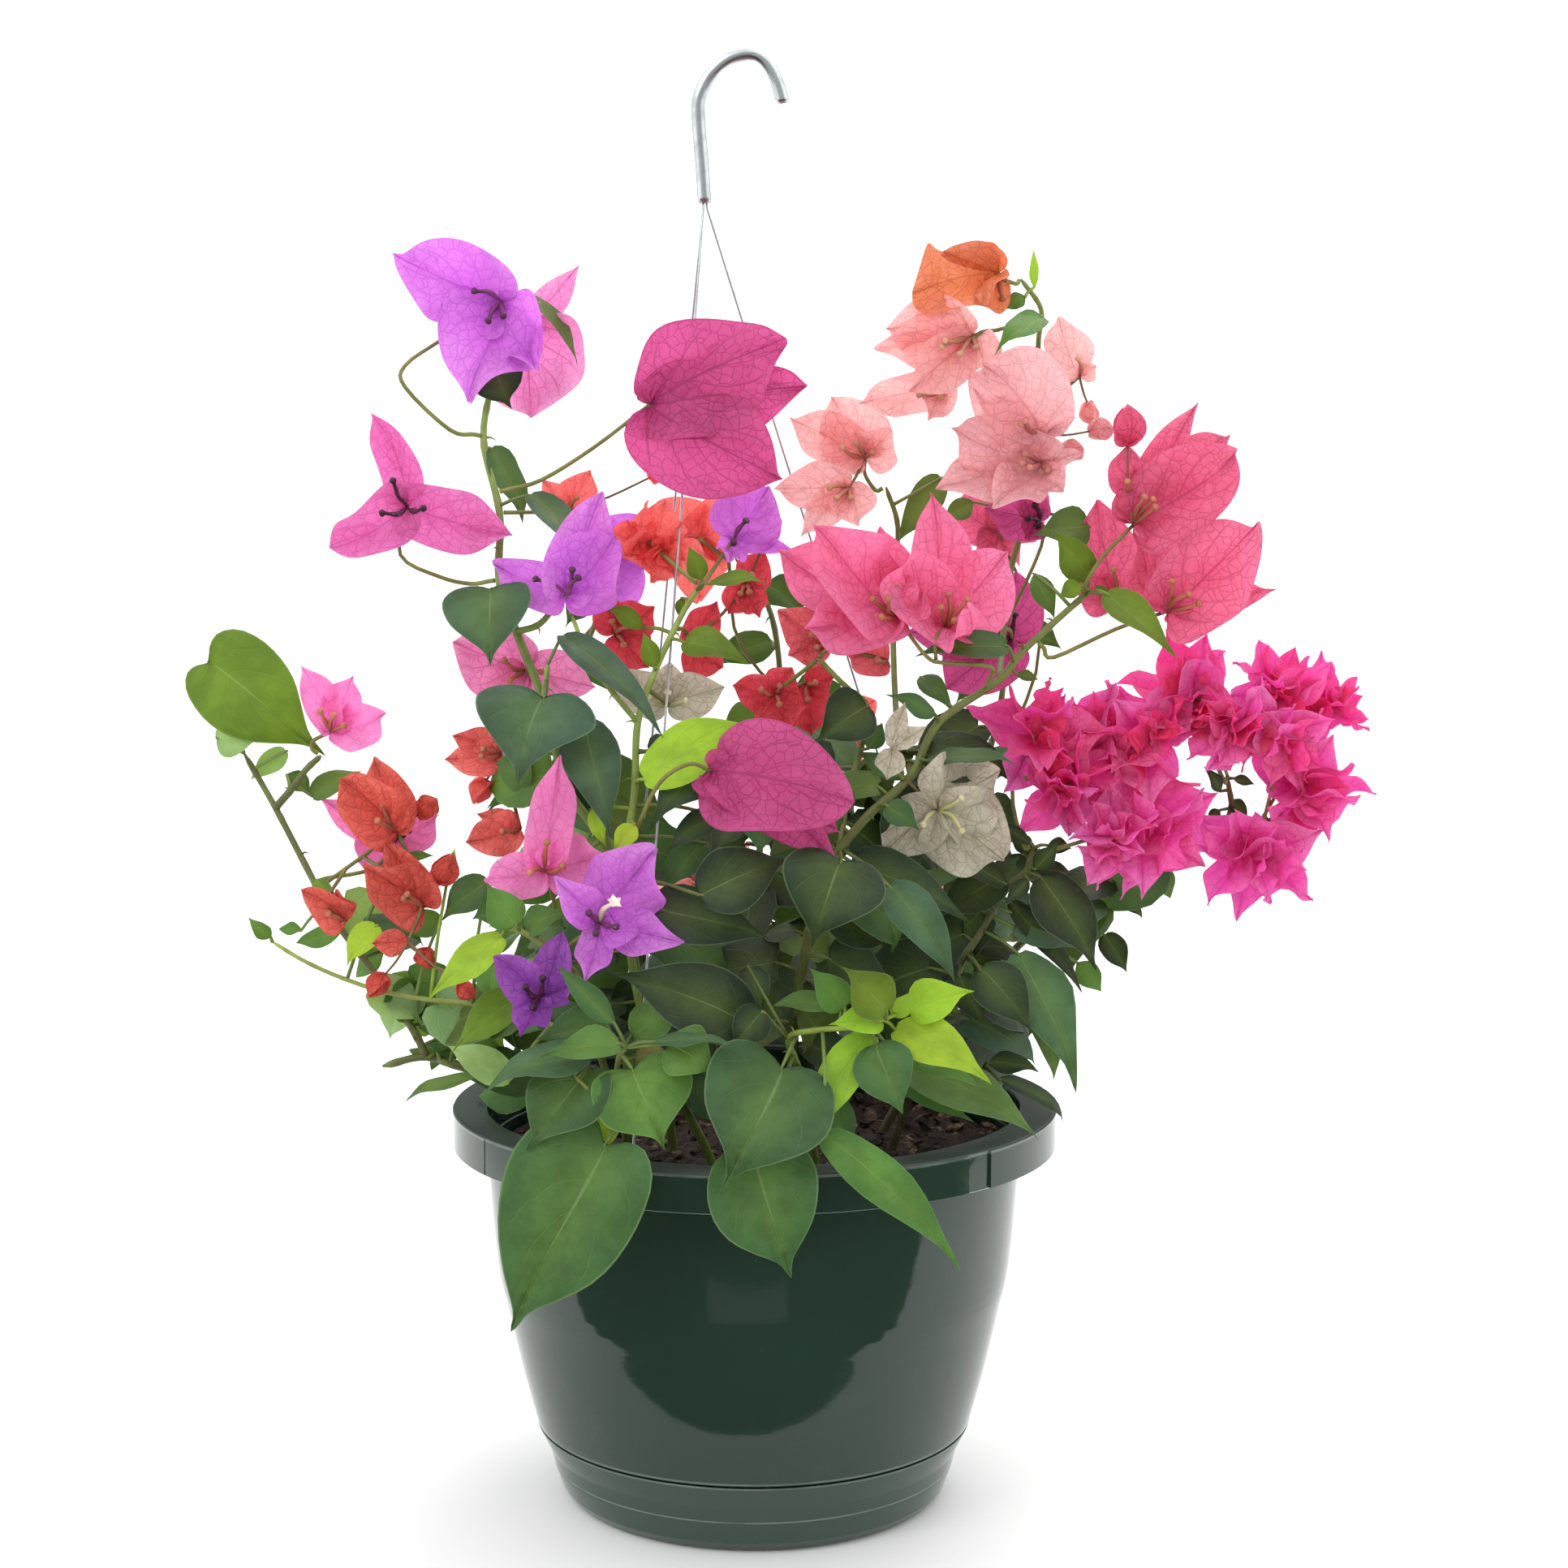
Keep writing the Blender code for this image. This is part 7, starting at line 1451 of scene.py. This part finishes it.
class MakeSaucer(Operator):
    """Spin the saucer that is clipped under the pot"""

    bl_idname = "bougainvillea.saucer"
    bl_label = "Saucer"

    def execute(self, context):
        sizes = context.scene.bougainvillea_pot
        shell = spun_shell(SAUCER_LINE, sizes.steps, sizes.rounding)
        plastic = plastic_material("saucer_plastic_glossy", blend(sizes.plastic, SAUCER_AGED, 0.25),
                                   sizes.gloss + 0.05, SAUCER_EDGE_HIGHLIGHTS, SEAM_Z + 9.0)
        saucer = new_piece("saucer_shell", shell, [plastic], "saucer_plastic", "saucer")
        saucer.data.set_sharp_from_angle(angle=SHARP_ANGLE)
        return {"FINISHED"}


class MakeSoil(Operator):
    """Lay the potting mix and scatter bark chips over it"""

    bl_idname = "bougainvillea.soil"
    bl_label = "Potting mix"

    def execute(self, context):
        top = [(radius, SOIL_TOP) for radius in SOIL_RINGS]
        shell = spun_shell([*SOIL_LINE, *top], SOIL_STEPS)
        paint = shell.verts.layers.float_color["paint"]
        for corner in shell.verts:
            corner[paint] = (*tint(*MIX_TONE), 1.0)
            if corner.co.z > SOIL_TOP - 0.5:
                corner.co.z = self.level(corner.co.x, corner.co.y)
                corner.co.z += noise.noise(corner.co * 0.45) * CRUMB_HEIGHT
        self.scatter(shell, context.scene.bougainvillea_pot.chips)
        new_piece("soil_mix", shell, [mix_material()], "potting_mix", "soil")
        return {"FINISHED"}

    def level(self, x, y):
        """The mix's height in gentle lumps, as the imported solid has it."""
        lumps = math.sin(x * 0.21 + 1.3 * math.sin(y * 0.17)) * math.cos(y * 0.23 - 0.8 * math.sin(x * 0.11))
        return SOIL_TOP + lumps * LUMP_HEIGHT

    def scatter(self, shell, count):
        """Half sink chips of bark into the mix, each a squashed and jittered ball, with some fibres."""
        paint = shell.verts.layers.float_color["paint"]
        dice = random.Random("bark chips")
        tones = [tint(*tone) for tone in CHIP_TONES]
        for index in range(count):
            reach = CHIP_REACH * math.sqrt(dice.uniform(0.02, 1.0))
            angle = dice.uniform(0, 2 * math.pi)
            x, y = reach * math.cos(angle), reach * math.sin(angle)
            lengths, shares = CHIP if index % FIBRE_EVERY else FIBRE
            long = dice.uniform(*lengths)
            slim = dice.uniform(*shares)
            turn = Matrix.Rotation(dice.uniform(0, 6.28), 4, "Z")
            turn = turn @ Matrix.Rotation(dice.gauss(0, 0.35), 4, "Y")
            shape = Matrix.Diagonal((long, long * slim, long * slim * dice.uniform(0.5, 0.9), 1))
            stand = Matrix.Translation((x, y, self.level(x, y) + dice.uniform(-0.2, 1.8))) @ turn @ shape
            made = bmesh.ops.create_icosphere(shell, subdivisions=1, radius=1.0, matrix=stand)
            tone = dice.choice(tones)
            for corner in made["verts"]:
                jitter = Vector((dice.gauss(0, 1), dice.gauss(0, 1), dice.gauss(0, 0.6)))
                corner.co += jitter * (CHIP_JITTER * long * slim)
                corner[paint] = (*tone, 1.0)


class MakeHanger(Operator):
    """Bend the tube hook and its three wires"""

    bl_idname = "bougainvillea.hanger"
    bl_label = "Hanger"

    def execute(self, context):
        sizes = context.scene.bougainvillea_hanger
        steel = steel_material(sizes.steel)
        shell = new_shell()
        line = smooth_line([Vector((x, 0.0, z)) for x, z in HOOK_LINE], 6)
        for radius in (HOOK_RADIUS, HOOK_BORE):
            self.draw_steel(shell, line, radius, sizes.hook_sides)
        self.open_ends(shell)
        new_piece("hook_tube", shell, [steel], "galvanised_steel", "hook")
        for name, azimuth in WIRE_AZIMUTHS.items():
            shell = new_shell()
            self.draw_steel(shell, self.wire_line(azimuth), sizes.wire_radius, sizes.wire_sides)
            new_piece(f"{name}_drawn", shell, [steel], "galvanised_steel", name)
        return {"FINISHED"}

    def draw_steel(self, shell, line, radius, sides):
        """A tube of one radius along a line."""
        draw_tube(shell, line, lambda share: radius, sides, lambda share: WHITE)

    def open_ends(self, shell):
        """Join the hook's outer and inner tubes at both ends into one open tube."""
        caps = [face for face in shell.faces if len(face.verts) > 4]
        pairs = (caps[0], caps[2]), (caps[1], caps[3])
        edges = [[edge for face in pair for edge in face.edges] for pair in pairs]
        bmesh.ops.delete(shell, geom=caps, context="FACES_ONLY")
        for ends in edges:
            bmesh.ops.bridge_loops(shell, edges=ends)
        bmesh.ops.recalc_face_normals(shell, faces=shell.faces)
        smooth(shell)

    def wire_line(self, azimuth):
        """A wire from inside the hook's end down to the rim, through it, and up again to its tail."""
        angle = math.radians(azimuth)
        nest = Vector((math.cos(angle), math.sin(angle), 0.0)) * WIRE_NEST
        axis = Vector((HOOK_LINE[0][0], 0.0, 0.0)) + nest
        hole, tail = wire_spot(azimuth), wire_spot(azimuth - TAIL_TURN)
        down = [axis + UP * WIRE_END + Vector((WIRE_END_LEAN, 0, 0)), axis + UP * WIRE_MOUTH,
                hole + UP * WIRE_OVER_RIM, hole + UP * WIRE_UNDER_FLANGE]
        turn = [hole.lerp(tail, share) + UP * (WIRE_TURN - WIRE_TURN_DIP * math.sin(math.pi * share))
                for share in WIRE_TURN_SHARES]
        return down + turn + [tail * share + UP * height for share, height in WIRE_TAIL]


class MakeCanes(Operator):
    """Grow the canes, their branches and their leaves"""

    bl_idname = "bougainvillea.canes"
    bl_label = "Canes and leaves"

    def execute(self, context):
        form = context.scene.bougainvillea_plant
        finishes = [leaf_material(form.leaf_gloss), stem_material()]
        for name in CANES:
            cloud = Cloud(name)
            shell = new_shell()
            stems = cane_lines(name)
            dice = random.Random(f"{name} {form.seed}")
            root, tip = (tint(*colour) for colour in CANE_COLOURS.get(name, HIDDEN_CANE))
            for index, stem in enumerate(stems):
                start = blend(root, tip, FORK_TONE) if index else root
                self.draw_stem(shell, stem, start, tip, form.slim, dice)
            for row, tone in zip(LEAVES[name], LEAF_TONES[name], strict=True):
                width, yaw, pitch = row[6:]
                base, tip, size = leaf_place(cloud, name, row)
                line = nearest_stem(stems, spot(name, row[:2], row[2]))[0]
                grid = GRIDS["wide leaf" if width * size > WIDE_LEAF else "small"]
                self.draw_leaf(shell, line, base, tip, width * size, shape_for(width, LEAF_SHAPES),
                               facing(yaw, pitch), tone, form.wave, grid, dice)
            if name in FILL_CANES:
                self.fill_out(shell, stems, form.wave, dice)
            new_piece(f"{name}_leafy", shell, finishes, "cane_and_leaf", name)
        return {"FINISHED"}

    def draw_stem(self, shell, stem, start, tip, slim, dice):
        """A stem: knuckled, with a thorn at some knuckles, and rounded off at the tip."""
        line, thick, thin = stem
        curve = smooth_line(line, 6)
        knuckles = len(curve) / KNUCKLE_EVERY

        def knuckle(share):
            return max(0.0, math.cos(2 * math.pi * share * knuckles)) ** KNUCKLE_SHARPNESS

        def radius(share):
            end = 1.0 if share < ROUNDED_FROM else ROUNDED_TO
            return (thick + (thin - thick) * share) * slim * (1.0 + KNUCKLE_SWELL * knuckle(share)) * end

        def shade(share):
            return blend(blend(start, tip, share), tint(*BROWN_STALK), KNUCKLE_BROWN * knuckle(share))

        draw_tube(shell, curve, radius, 10, shade, 1)
        for place in range(KNUCKLE_EVERY, len(curve) - KNUCKLE_EVERY, KNUCKLE_EVERY):
            if curve[place].z > THORNS_FROM and dice.random() < THORN_CHANCE:
                heading = curve[place + 1] - curve[place]
                self.draw_thorn(shell, curve[place], heading, thin * 0.5, shade(0.5), dice)

    def draw_thorn(self, shell, foot, heading, thick, colour, dice):
        """A short thorn that curves away from its cane."""
        out = heading.orthogonal().normalized()
        out.rotate(Matrix.Rotation(dice.uniform(0, 2 * math.pi), 3, heading))
        long = dice.uniform(*THORN_LENGTHS)
        tip = foot + out * long - heading.normalized() * THORN_DROOP
        draw_tube(shell, smooth_line([foot, foot + out * long * 0.6, tip], 2),
                  lambda share: (1 - 0.85 * share) * thick, 5, lambda share: colour, 1)

    def draw_leaf(self, shell, line, base, tip, width, outline, up, tone, wave, grid, dice):
        """A leaf on its stalk, from the nearest point of its stem."""
        root = nearest_on(line, base)[0]
        colour = tint(*LEAF_COLOURS[tone])
        colour = tuple(part * dice.uniform(0.84, 1.12) for part in colour)
        stalk_tone = blend(colour, tint(*GREEN_STALK), 0.55)
        middle = root.lerp(base, 0.5) + up * (0.1 * (base - root).length)
        draw_tube(shell, smooth_line([root, middle, base, base + (tip - base) * 0.04], 3),
                  lambda share: 0.85 - 0.3 * share, 6, lambda share: stalk_tone, 1)
        form = varied(LEAF_FORM, LEAF_SPREADS, wave, dice)
        young = blend(colour, tint(*YOUNG_LEAF), 0.16)

        def shade(out, along):
            return blend(young, colour, min(1.0, 0.35 + 0.9 * out * (1 - 0.4 * along)))

        draw_blade(shell, base, tip, width, up, outline, form, grid, shade, dice)

    def fill_out(self, shell, stems, wave, dice):
        """More leaves along a cane's stems, which close the plant's dark inside."""
        low, high = FILL_HEIGHTS
        for line, _, _ in stems:
            curve = smooth_line(line, 8)
            walked = 0.0
            turn = dice.uniform(0, 2 * math.pi)
            for a, b in zip(curve, curve[1:]):
                walked += (b - a).length
                if walked < FILL_STEP:
                    continue
                walked = 0.0
                turn += FILL_TURN
                inward = math.copysign(abs(math.sin(turn)) * 0.8, -b.y)
                out = Vector((math.cos(turn), inward, dice.uniform(-0.5, 0.25))).normalized()
                base = b + out * dice.uniform(*FILL_STALKS)
                tip = base + (out - UP * FILL_DROOP) * dice.uniform(*FILL_LENGTHS)
                inside = low < base.z < high and low < tip.z < high and base.y > FILL_DEPTH
                if not inside or tip.xy.length > FILL_REACH:
                    continue
                width = (tip - base).length * dice.uniform(*FILL_BREADTHS)
                up = Vector((dice.uniform(-0.5, 0.5), -1.0, dice.uniform(0.3, 1.1))).normalized()
                tone = dice.choice(FRESH_TONES if base.x < FRESH_SIDE else FILL_TONES)
                self.draw_leaf(shell, line, base, tip, width, "heart", up, tone, wave, GRIDS["filler"],
                               dice)


class MakeSprays(Operator):
    """Hang the sprays: stalks, bracts, flower tubes, buds and double heads"""

    bl_idname = "bougainvillea.sprays"
    bl_label = "Sprays of bracts"

    def execute(self, context):
        form = context.scene.bougainvillea_plant
        stem = stem_material()
        made = {}
        for name, (slot, cane, through, blooms) in SPRAYS.items():
            tints = OWN_TINTS.get(name, slot)
            if tints not in made:
                made[tints] = bract_material(tints, tint(*BRACTS[tints][1]))
            cloud = Cloud(name)
            shell = new_shell()
            dice = random.Random(f"{name} {form.seed}")
            heads = HEADS.get(name, ())
            ends = [*(hub for hub, _, _ in blooms), *heads]
            hubs = self.draw_stalks(shell, name, cloud, cane, through, ends)
            for hub, (_, opens, bracts) in zip(hubs, blooms):
                self.draw_bloom(shell, name, tints, cloud, hub, facing(*opens), bracts, form.wave, dice)
            for hub, head in zip(hubs[len(blooms):], heads):
                self.draw_head(shell, tints, hub, head[3], facing(*head[4:]), form, dice)
            for owner, x, z, y, width in BUDS:
                if owner == name:
                    self.draw_bud(shell, tints, hubs, spot(name, (x, z), y), width, dice)
            new_piece(f"{name}_papery", shell, [made[tints], stem], f"bract_{slot}", name)
        return {"FINISHED"}

    def draw_stalks(self, shell, name, cloud, cane, through, ends):
        """A spray's stalk and twigs; gives the hubs of its blooms and heads, where they end."""
        hubs = [spot(name, end[:2], end[2]) for end in ends]
        via = [spot(name, point[:2], point[2]) for point in through]
        stem = nearest_stem(cane_lines(cane), via[0] if via else hubs[0])
        route = stalk_line(cloud, stem, via, hubs[0])
        green, brown = tint(*GREEN_STALK), tint(*BROWN_STALK)
        draw_tube(shell, smooth_line(route, 4), lambda share: 1.0 - 0.25 * share, 7,
                  lambda share: blend(green, brown, share * 0.7), 1)
        for hub in hubs[1:]:
            draw_tube(shell, smooth_line(twig_line(cloud, route, hub), 4), lambda share: 0.85 - 0.15 * share,
                      6, lambda share: blend(green, brown, 0.4 + share * 0.5), 1)
        return hubs

    def shades(self, slot, dice, inner=0.0):
        """The colours over one bract, from its throat and middle to its edge."""
        throat, middle, edge, vein = (tint(*colour) for colour in BRACTS[slot][:4])
        lightness = dice.uniform(0.90, 1.06)
        deepness = dice.uniform(0.0, 0.30)

        def shade(out, along):
            colour = blend(throat, middle, min(1.0, along * 2.4 + out * 0.5))
            colour = blend(colour, edge, max(0.0, out * 0.72 + along * 0.62 - 0.38))
            colour = blend(blend(colour, vein, deepness), throat, inner)
            return tuple(part * lightness for part in colour)

        return shade

    def draw_bloom(self, shell, name, tints, cloud, hub, opens, bracts, wave, dice):
        """A bloom: its bracts round the hub, with a flower tube standing on the rib of each."""
        form = CRUMPLED_FORM if tints in CRUMPLED else CURLED_FORM if tints in CURLED else BRACT_FORM
        for index, row in enumerate(bracts):
            width = row[3]
            tip, size = bract_place(cloud, name, hub, row)
            grid = GRIDS["wide bract" if width > WIDE_BRACT else "bract"]
            curve = varied(form, BRACT_SPREADS, wave, dice)
            draw_blade(shell, hub, tip, width * size, opens, shape_for(width, BRACT_SHAPES), curve, grid,
                       self.shades(tints, dice), dice)
            if width > FLOWER_FROM:
                length = min(FLOWER_LONGEST, (tip - hub).length * FLOWER_SHARE)
                is_open = name == STAR_SPRAY and index < STARS
                tones = STAR_FLOWER if is_open else FLOWERS.get(tints, PLAIN_FLOWER)
                self.draw_flower(shell, hub, (tip - hub).normalized(), opens, length,
                                 tint(*tones[0]), tint(*tones[1]), is_open, dice)

    def draw_flower(self, shell, hub, along, opens, length, tube_tone, mouth_tone, is_open, dice):
        """A slim flower tube with an angled waist and a mouth, open as a small star or still closed."""
        ahead = (along + opens * dice.uniform(0.5, 1.2)).normalized()
        bend = opens.cross(along).normalized() * dice.uniform(-0.16, 0.16) * length
        line = smooth_line([hub, hub + ahead * length * 0.5 + bend, hub + ahead * length], 4)

        def radius(share):
            return 0.55 + 0.45 * math.sin(math.pi * min(1.0, share * 1.15)) ** 2 + 0.25 * share

        draw_tube(shell, line, radius, 7, lambda share: blend(tube_tone, mouth_tone, share ** 2), 1)
        end = line[-1]
        if not is_open:
            draw_tube(shell, [end + ahead * step for step in (-0.8, 0.2, 0.9, 1.5)],
                      lambda share: 0.8 + 0.8 * math.sin(math.pi * share), 7, lambda share: mouth_tone, 1)
            return
        for index in range(STAR_LOBES):
            out = spoke(ahead, index * 2 * math.pi / STAR_LOBES + dice.uniform(-0.1, 0.1))
            draw_blade(shell, end, end + (out * 0.9 + ahead * 0.35) * STAR_REACH, STAR_WIDTH, ahead, "petal",
                       STAR_FORM, GRIDS["lobe"], lambda across, share: mouth_tone, dice, 1)

    def draw_head(self, shell, tints, centre, radius, axis, form, dice):
        """A double head: tufts of bracts that open every way from the end of one stalk."""
        redness = min(1.0, max(LEAST_RED, (centre.z - REDDER_FROM) / REDDER_OVER))
        spin = dice.uniform(0, 2 * math.pi)
        for index in range(form.florets):
            lean = math.radians(dice.uniform(34, 66) if index else dice.uniform(0, 14))
            turn = spin + index * 2 * math.pi / max(1, form.florets - 1) + dice.uniform(-0.4, 0.4)
            outward = spoke(axis, turn)
            middle = axis * math.cos(lean) + outward * math.sin(lean)
            foot = centre + outward * (0.30 * radius * math.sin(lean)) - axis * (0.15 * radius)
            self.draw_floret(shell, tints, foot, radius * dice.uniform(0.95, 1.15), middle, redness,
                             form.wave, dice)

    def draw_floret(self, shell, tints, centre, radius, axis, redness, wave, dice):
        """A tuft: two bracts that stand up inside three that spread."""
        form, outline, breadth, reach = CRUMPLED_TUFT if tints in CRUMPLED else PLAIN_TUFT
        spin = dice.uniform(0, 2 * math.pi)
        for index in range(5):
            is_upright = index < 2
            leans, lengths, reds = STANDING if is_upright else SPREADING
            lean = math.radians(dice.uniform(*leans))
            turn = spin + index * (math.pi if is_upright else 2 * math.pi / 3) + dice.uniform(-0.5, 0.5)
            outward = spoke(axis, turn)
            ahead = axis * math.cos(lean) + outward * math.sin(lean)
            up = axis * math.sin(lean) - outward * math.cos(lean)
            length = radius * reach * dice.uniform(*lengths)
            beyond = centre.x + ahead.x * length - CAD_BOX[1].x / MM
            if beyond > 0:
                length -= min(0.5 * length, beyond / ahead.x)
            curve = varied(form, HEAD_SPREADS, wave, dice)
            red = max(0.0, redness * dice.uniform(*reds))
            draw_blade(shell, centre + ahead * 0.8, centre + ahead * length, length * dice.uniform(*breadth),
                       up, outline, curve, GRIDS["small"], self.shades(tints, dice, red), dice)

    def draw_bud(self, shell, tints, hubs, place, width, dice):
        """A closed bract bud on a thread of a stalk: three cupped bracts that meet at the tip."""
        hub = min(hubs, key=lambda one: (one - place).length)
        axis = (place - hub).normalized()
        brown = tint(*BROWN_STALK)
        draw_tube(shell, smooth_line([hub, hub.lerp(place, 0.5) - UP, place], 3),
                  lambda share: 0.6 - 0.15 * share, 5, lambda share: brown, 1)
        for index in range(3):
            out = spoke(axis, index * 2 * math.pi / 3)
            draw_blade(shell, place, place + axis * width * 1.3, width, -out, "bract", BUD_FORM,
                       GRIDS["small"], self.shades(tints, dice, 0.5), dice)


class MakeStage(Operator):
    """Set the pale floor, the soft lights, the dark cards that give the gloss its shape, and the camera"""

    bl_idname = "bougainvillea.stage"
    bl_label = "Stage"

    def execute(self, context):
        scene = context.scene
        settings = scene.bougainvillea_stage
        shell = bmesh.new()
        bmesh.ops.create_grid(shell, x_segments=2, y_segments=2, size=FLOOR_HALF)
        self.stage_piece("floor", shell, self.floor_material(settings.floor))
        self.lay_cards()
        self.light_scene(scene, settings)
        eye = bpy.data.cameras.new("front_camera")
        eye.lens = settings.lens
        eye.sensor_width = SENSOR
        eye.shift_x = SHIFT_X
        eye.clip_end = FAR_CLIP
        camera = bpy.data.objects.new("front_camera", eye)
        camera.location = EYE * MM
        camera.rotation_euler = (math.pi / 2 - EYE_PITCH, 0.0, 0.0)
        scene.collection.objects.link(camera)
        scene.camera = camera
        scene.view_settings.view_transform = "Standard"
        return {"FINISHED"}

    def stage_piece(self, name, shell, finish):
        """A thing of the stage that isn't part of the object."""
        made = new_object(name, shell, [finish])
        return made

    def lay_cards(self):
        """Cards that shape the gloss: the dark room in front, a pale patch in it, and the dim room behind."""
        line = [Vector((x, y, 0.0)) for x, y in CARD_EDGE]
        shell = bmesh.new()
        near = [shell.verts.new(point) for point in smooth_line(line, 4)]
        edges = [shell.edges.new(pair) for pair in zip(near, near[1:])]
        made = bmesh.ops.extrude_edge_only(shell, edges=edges)
        for corner in made["geom"]:
            if isinstance(corner, bmesh.types.BMVert):
                corner.co.y = CARD_FAR
        bmesh.ops.translate(shell, vec=(0.0, 0.0, CARD_LIFT), verts=shell.verts)
        self.card("floor_card", shell, CARD_GREY)
        shell = bmesh.new()
        shell.faces.new([shell.verts.new((x, y, PATCH_LIFT)) for x, y in CARD_PATCH])
        self.card("floor_patch", shell, PATCH_GREY)
        for name, (place, wide, high, grey) in UPRIGHT_CARDS.items():
            shell = bmesh.new()
            stand = (Matrix.Translation(place) @ Matrix.Rotation(math.pi / 2, 4, "X")
                     @ Matrix.Diagonal((wide, high, 1.0, 1.0)))
            bmesh.ops.create_grid(shell, x_segments=2, y_segments=2, size=1.0, matrix=stand)
            self.card(name, shell, grey)

    def card(self, name, shell, grey):
        """A matte grey card that is seen in the gloss alone."""
        made, graph = new_material(f"{name}_grey")
        soft = graph.noise(graph.place(), 4.0, detail=2.0) * 0.01 + 0.8
        graph.finish(graph.shader({"Base Color": (grey, grey, grey), "Roughness": soft,
                                   "Specular IOR Level": 0.1}))
        card = self.stage_piece(name, shell, made)
        card.visible_camera = False
        card.visible_diffuse = False
        card.visible_transmission = False
        card.visible_shadow = False

    def floor_material(self, colour):
        """A pale matte floor with the faintest unevenness."""
        made, graph = new_material("pale_floor")
        cloud = graph.noise(graph.place(), 3.0, detail=2.0)
        tone = graph.mix(cloud * 0.3, colour, blend(colour, WHITE, 0.2))
        graph.finish(graph.shader({"Base Color": tone, "Roughness": 0.7, "Specular IOR Level": 0.2}))
        return made

    def light_scene(self, scene, settings):
        """Even white surroundings, a soft key light at the front left and one high over the back."""
        scene.world = bpy.data.worlds.new("studio")
        graph = Graph(scene.world)
        around = graph.node("ShaderNodeBackground", None, {"Color": WHITE, "Strength": settings.sky})
        graph.node("ShaderNodeOutputWorld", None, {"Surface": around.outputs[0]})
        for name, (place, size, share) in LAMPS.items():
            lamp = bpy.data.lights.new(name, "AREA")
            lamp.shape = "SQUARE"
            lamp.size = size
            lamp.energy = settings.key * share
            light = bpy.data.objects.new(name, lamp)
            light.location = place
            aim = LIT_POINT - Vector(place)
            light.rotation_euler = aim.to_track_quat("-Z", "Y").to_euler()
            scene.collection.objects.link(light)


class BougainvilleaPanel(Panel):
    """The pieces of the potted bougainvillea, each with its settings"""

    bl_label = "Potted bougainvillea"
    bl_idname = "VIEW3D_PT_bougainvillea"
    bl_space_type = "VIEW_3D"
    bl_region_type = "UI"
    bl_category = "Bougainvillea"

    def draw(self, context):
        for group, steps in GROUPS.items():
            box = self.layout.box()
            settings = getattr(context.scene, group)
            for name in settings.__annotations__:
                box.prop(settings, name)
            for step in steps:
                box.operator(step.bl_idname)


GROUPS = {
    "bougainvillea_pot": (MakePot, MakeSaucer, MakeSoil),
    "bougainvillea_hanger": (MakeHanger,),
    "bougainvillea_plant": (MakeCanes, MakeSprays),
    "bougainvillea_stage": (MakeStage,),
}
SETTINGS = {
    "bougainvillea_pot": PotSettings, "bougainvillea_hanger": HangerSettings,
    "bougainvillea_plant": PlantSettings, "bougainvillea_stage": StageSettings,
}


def register():
    """Make the settings, the operators and the panel known to Blender."""
    for name, settings in SETTINGS.items():
        bpy.utils.register_class(settings)
        setattr(bpy.types.Scene, name, PointerProperty(type=settings))
    for steps in GROUPS.values():
        for step in steps:
            bpy.utils.register_class(step)
    bpy.utils.register_class(BougainvilleaPanel)


def unregister():
    """Take them away again, in the opposite order."""
    bpy.utils.unregister_class(BougainvilleaPanel)
    for steps in reversed(GROUPS.values()):
        for step in reversed(steps):
            bpy.utils.unregister_class(step)
    for name, settings in reversed(SETTINGS.items()):
        delattr(bpy.types.Scene, name)
        bpy.utils.unregister_class(settings)


def main():
    """Make every piece."""
    register()
    bpy.ops.bougainvillea.stage()
    bpy.ops.bougainvillea.pot()
    bpy.ops.bougainvillea.saucer()
    bpy.ops.bougainvillea.soil()
    bpy.ops.bougainvillea.hanger()
    bpy.ops.bougainvillea.canes()
    bpy.ops.bougainvillea.sprays()


if __name__ == "__main__":
    main()
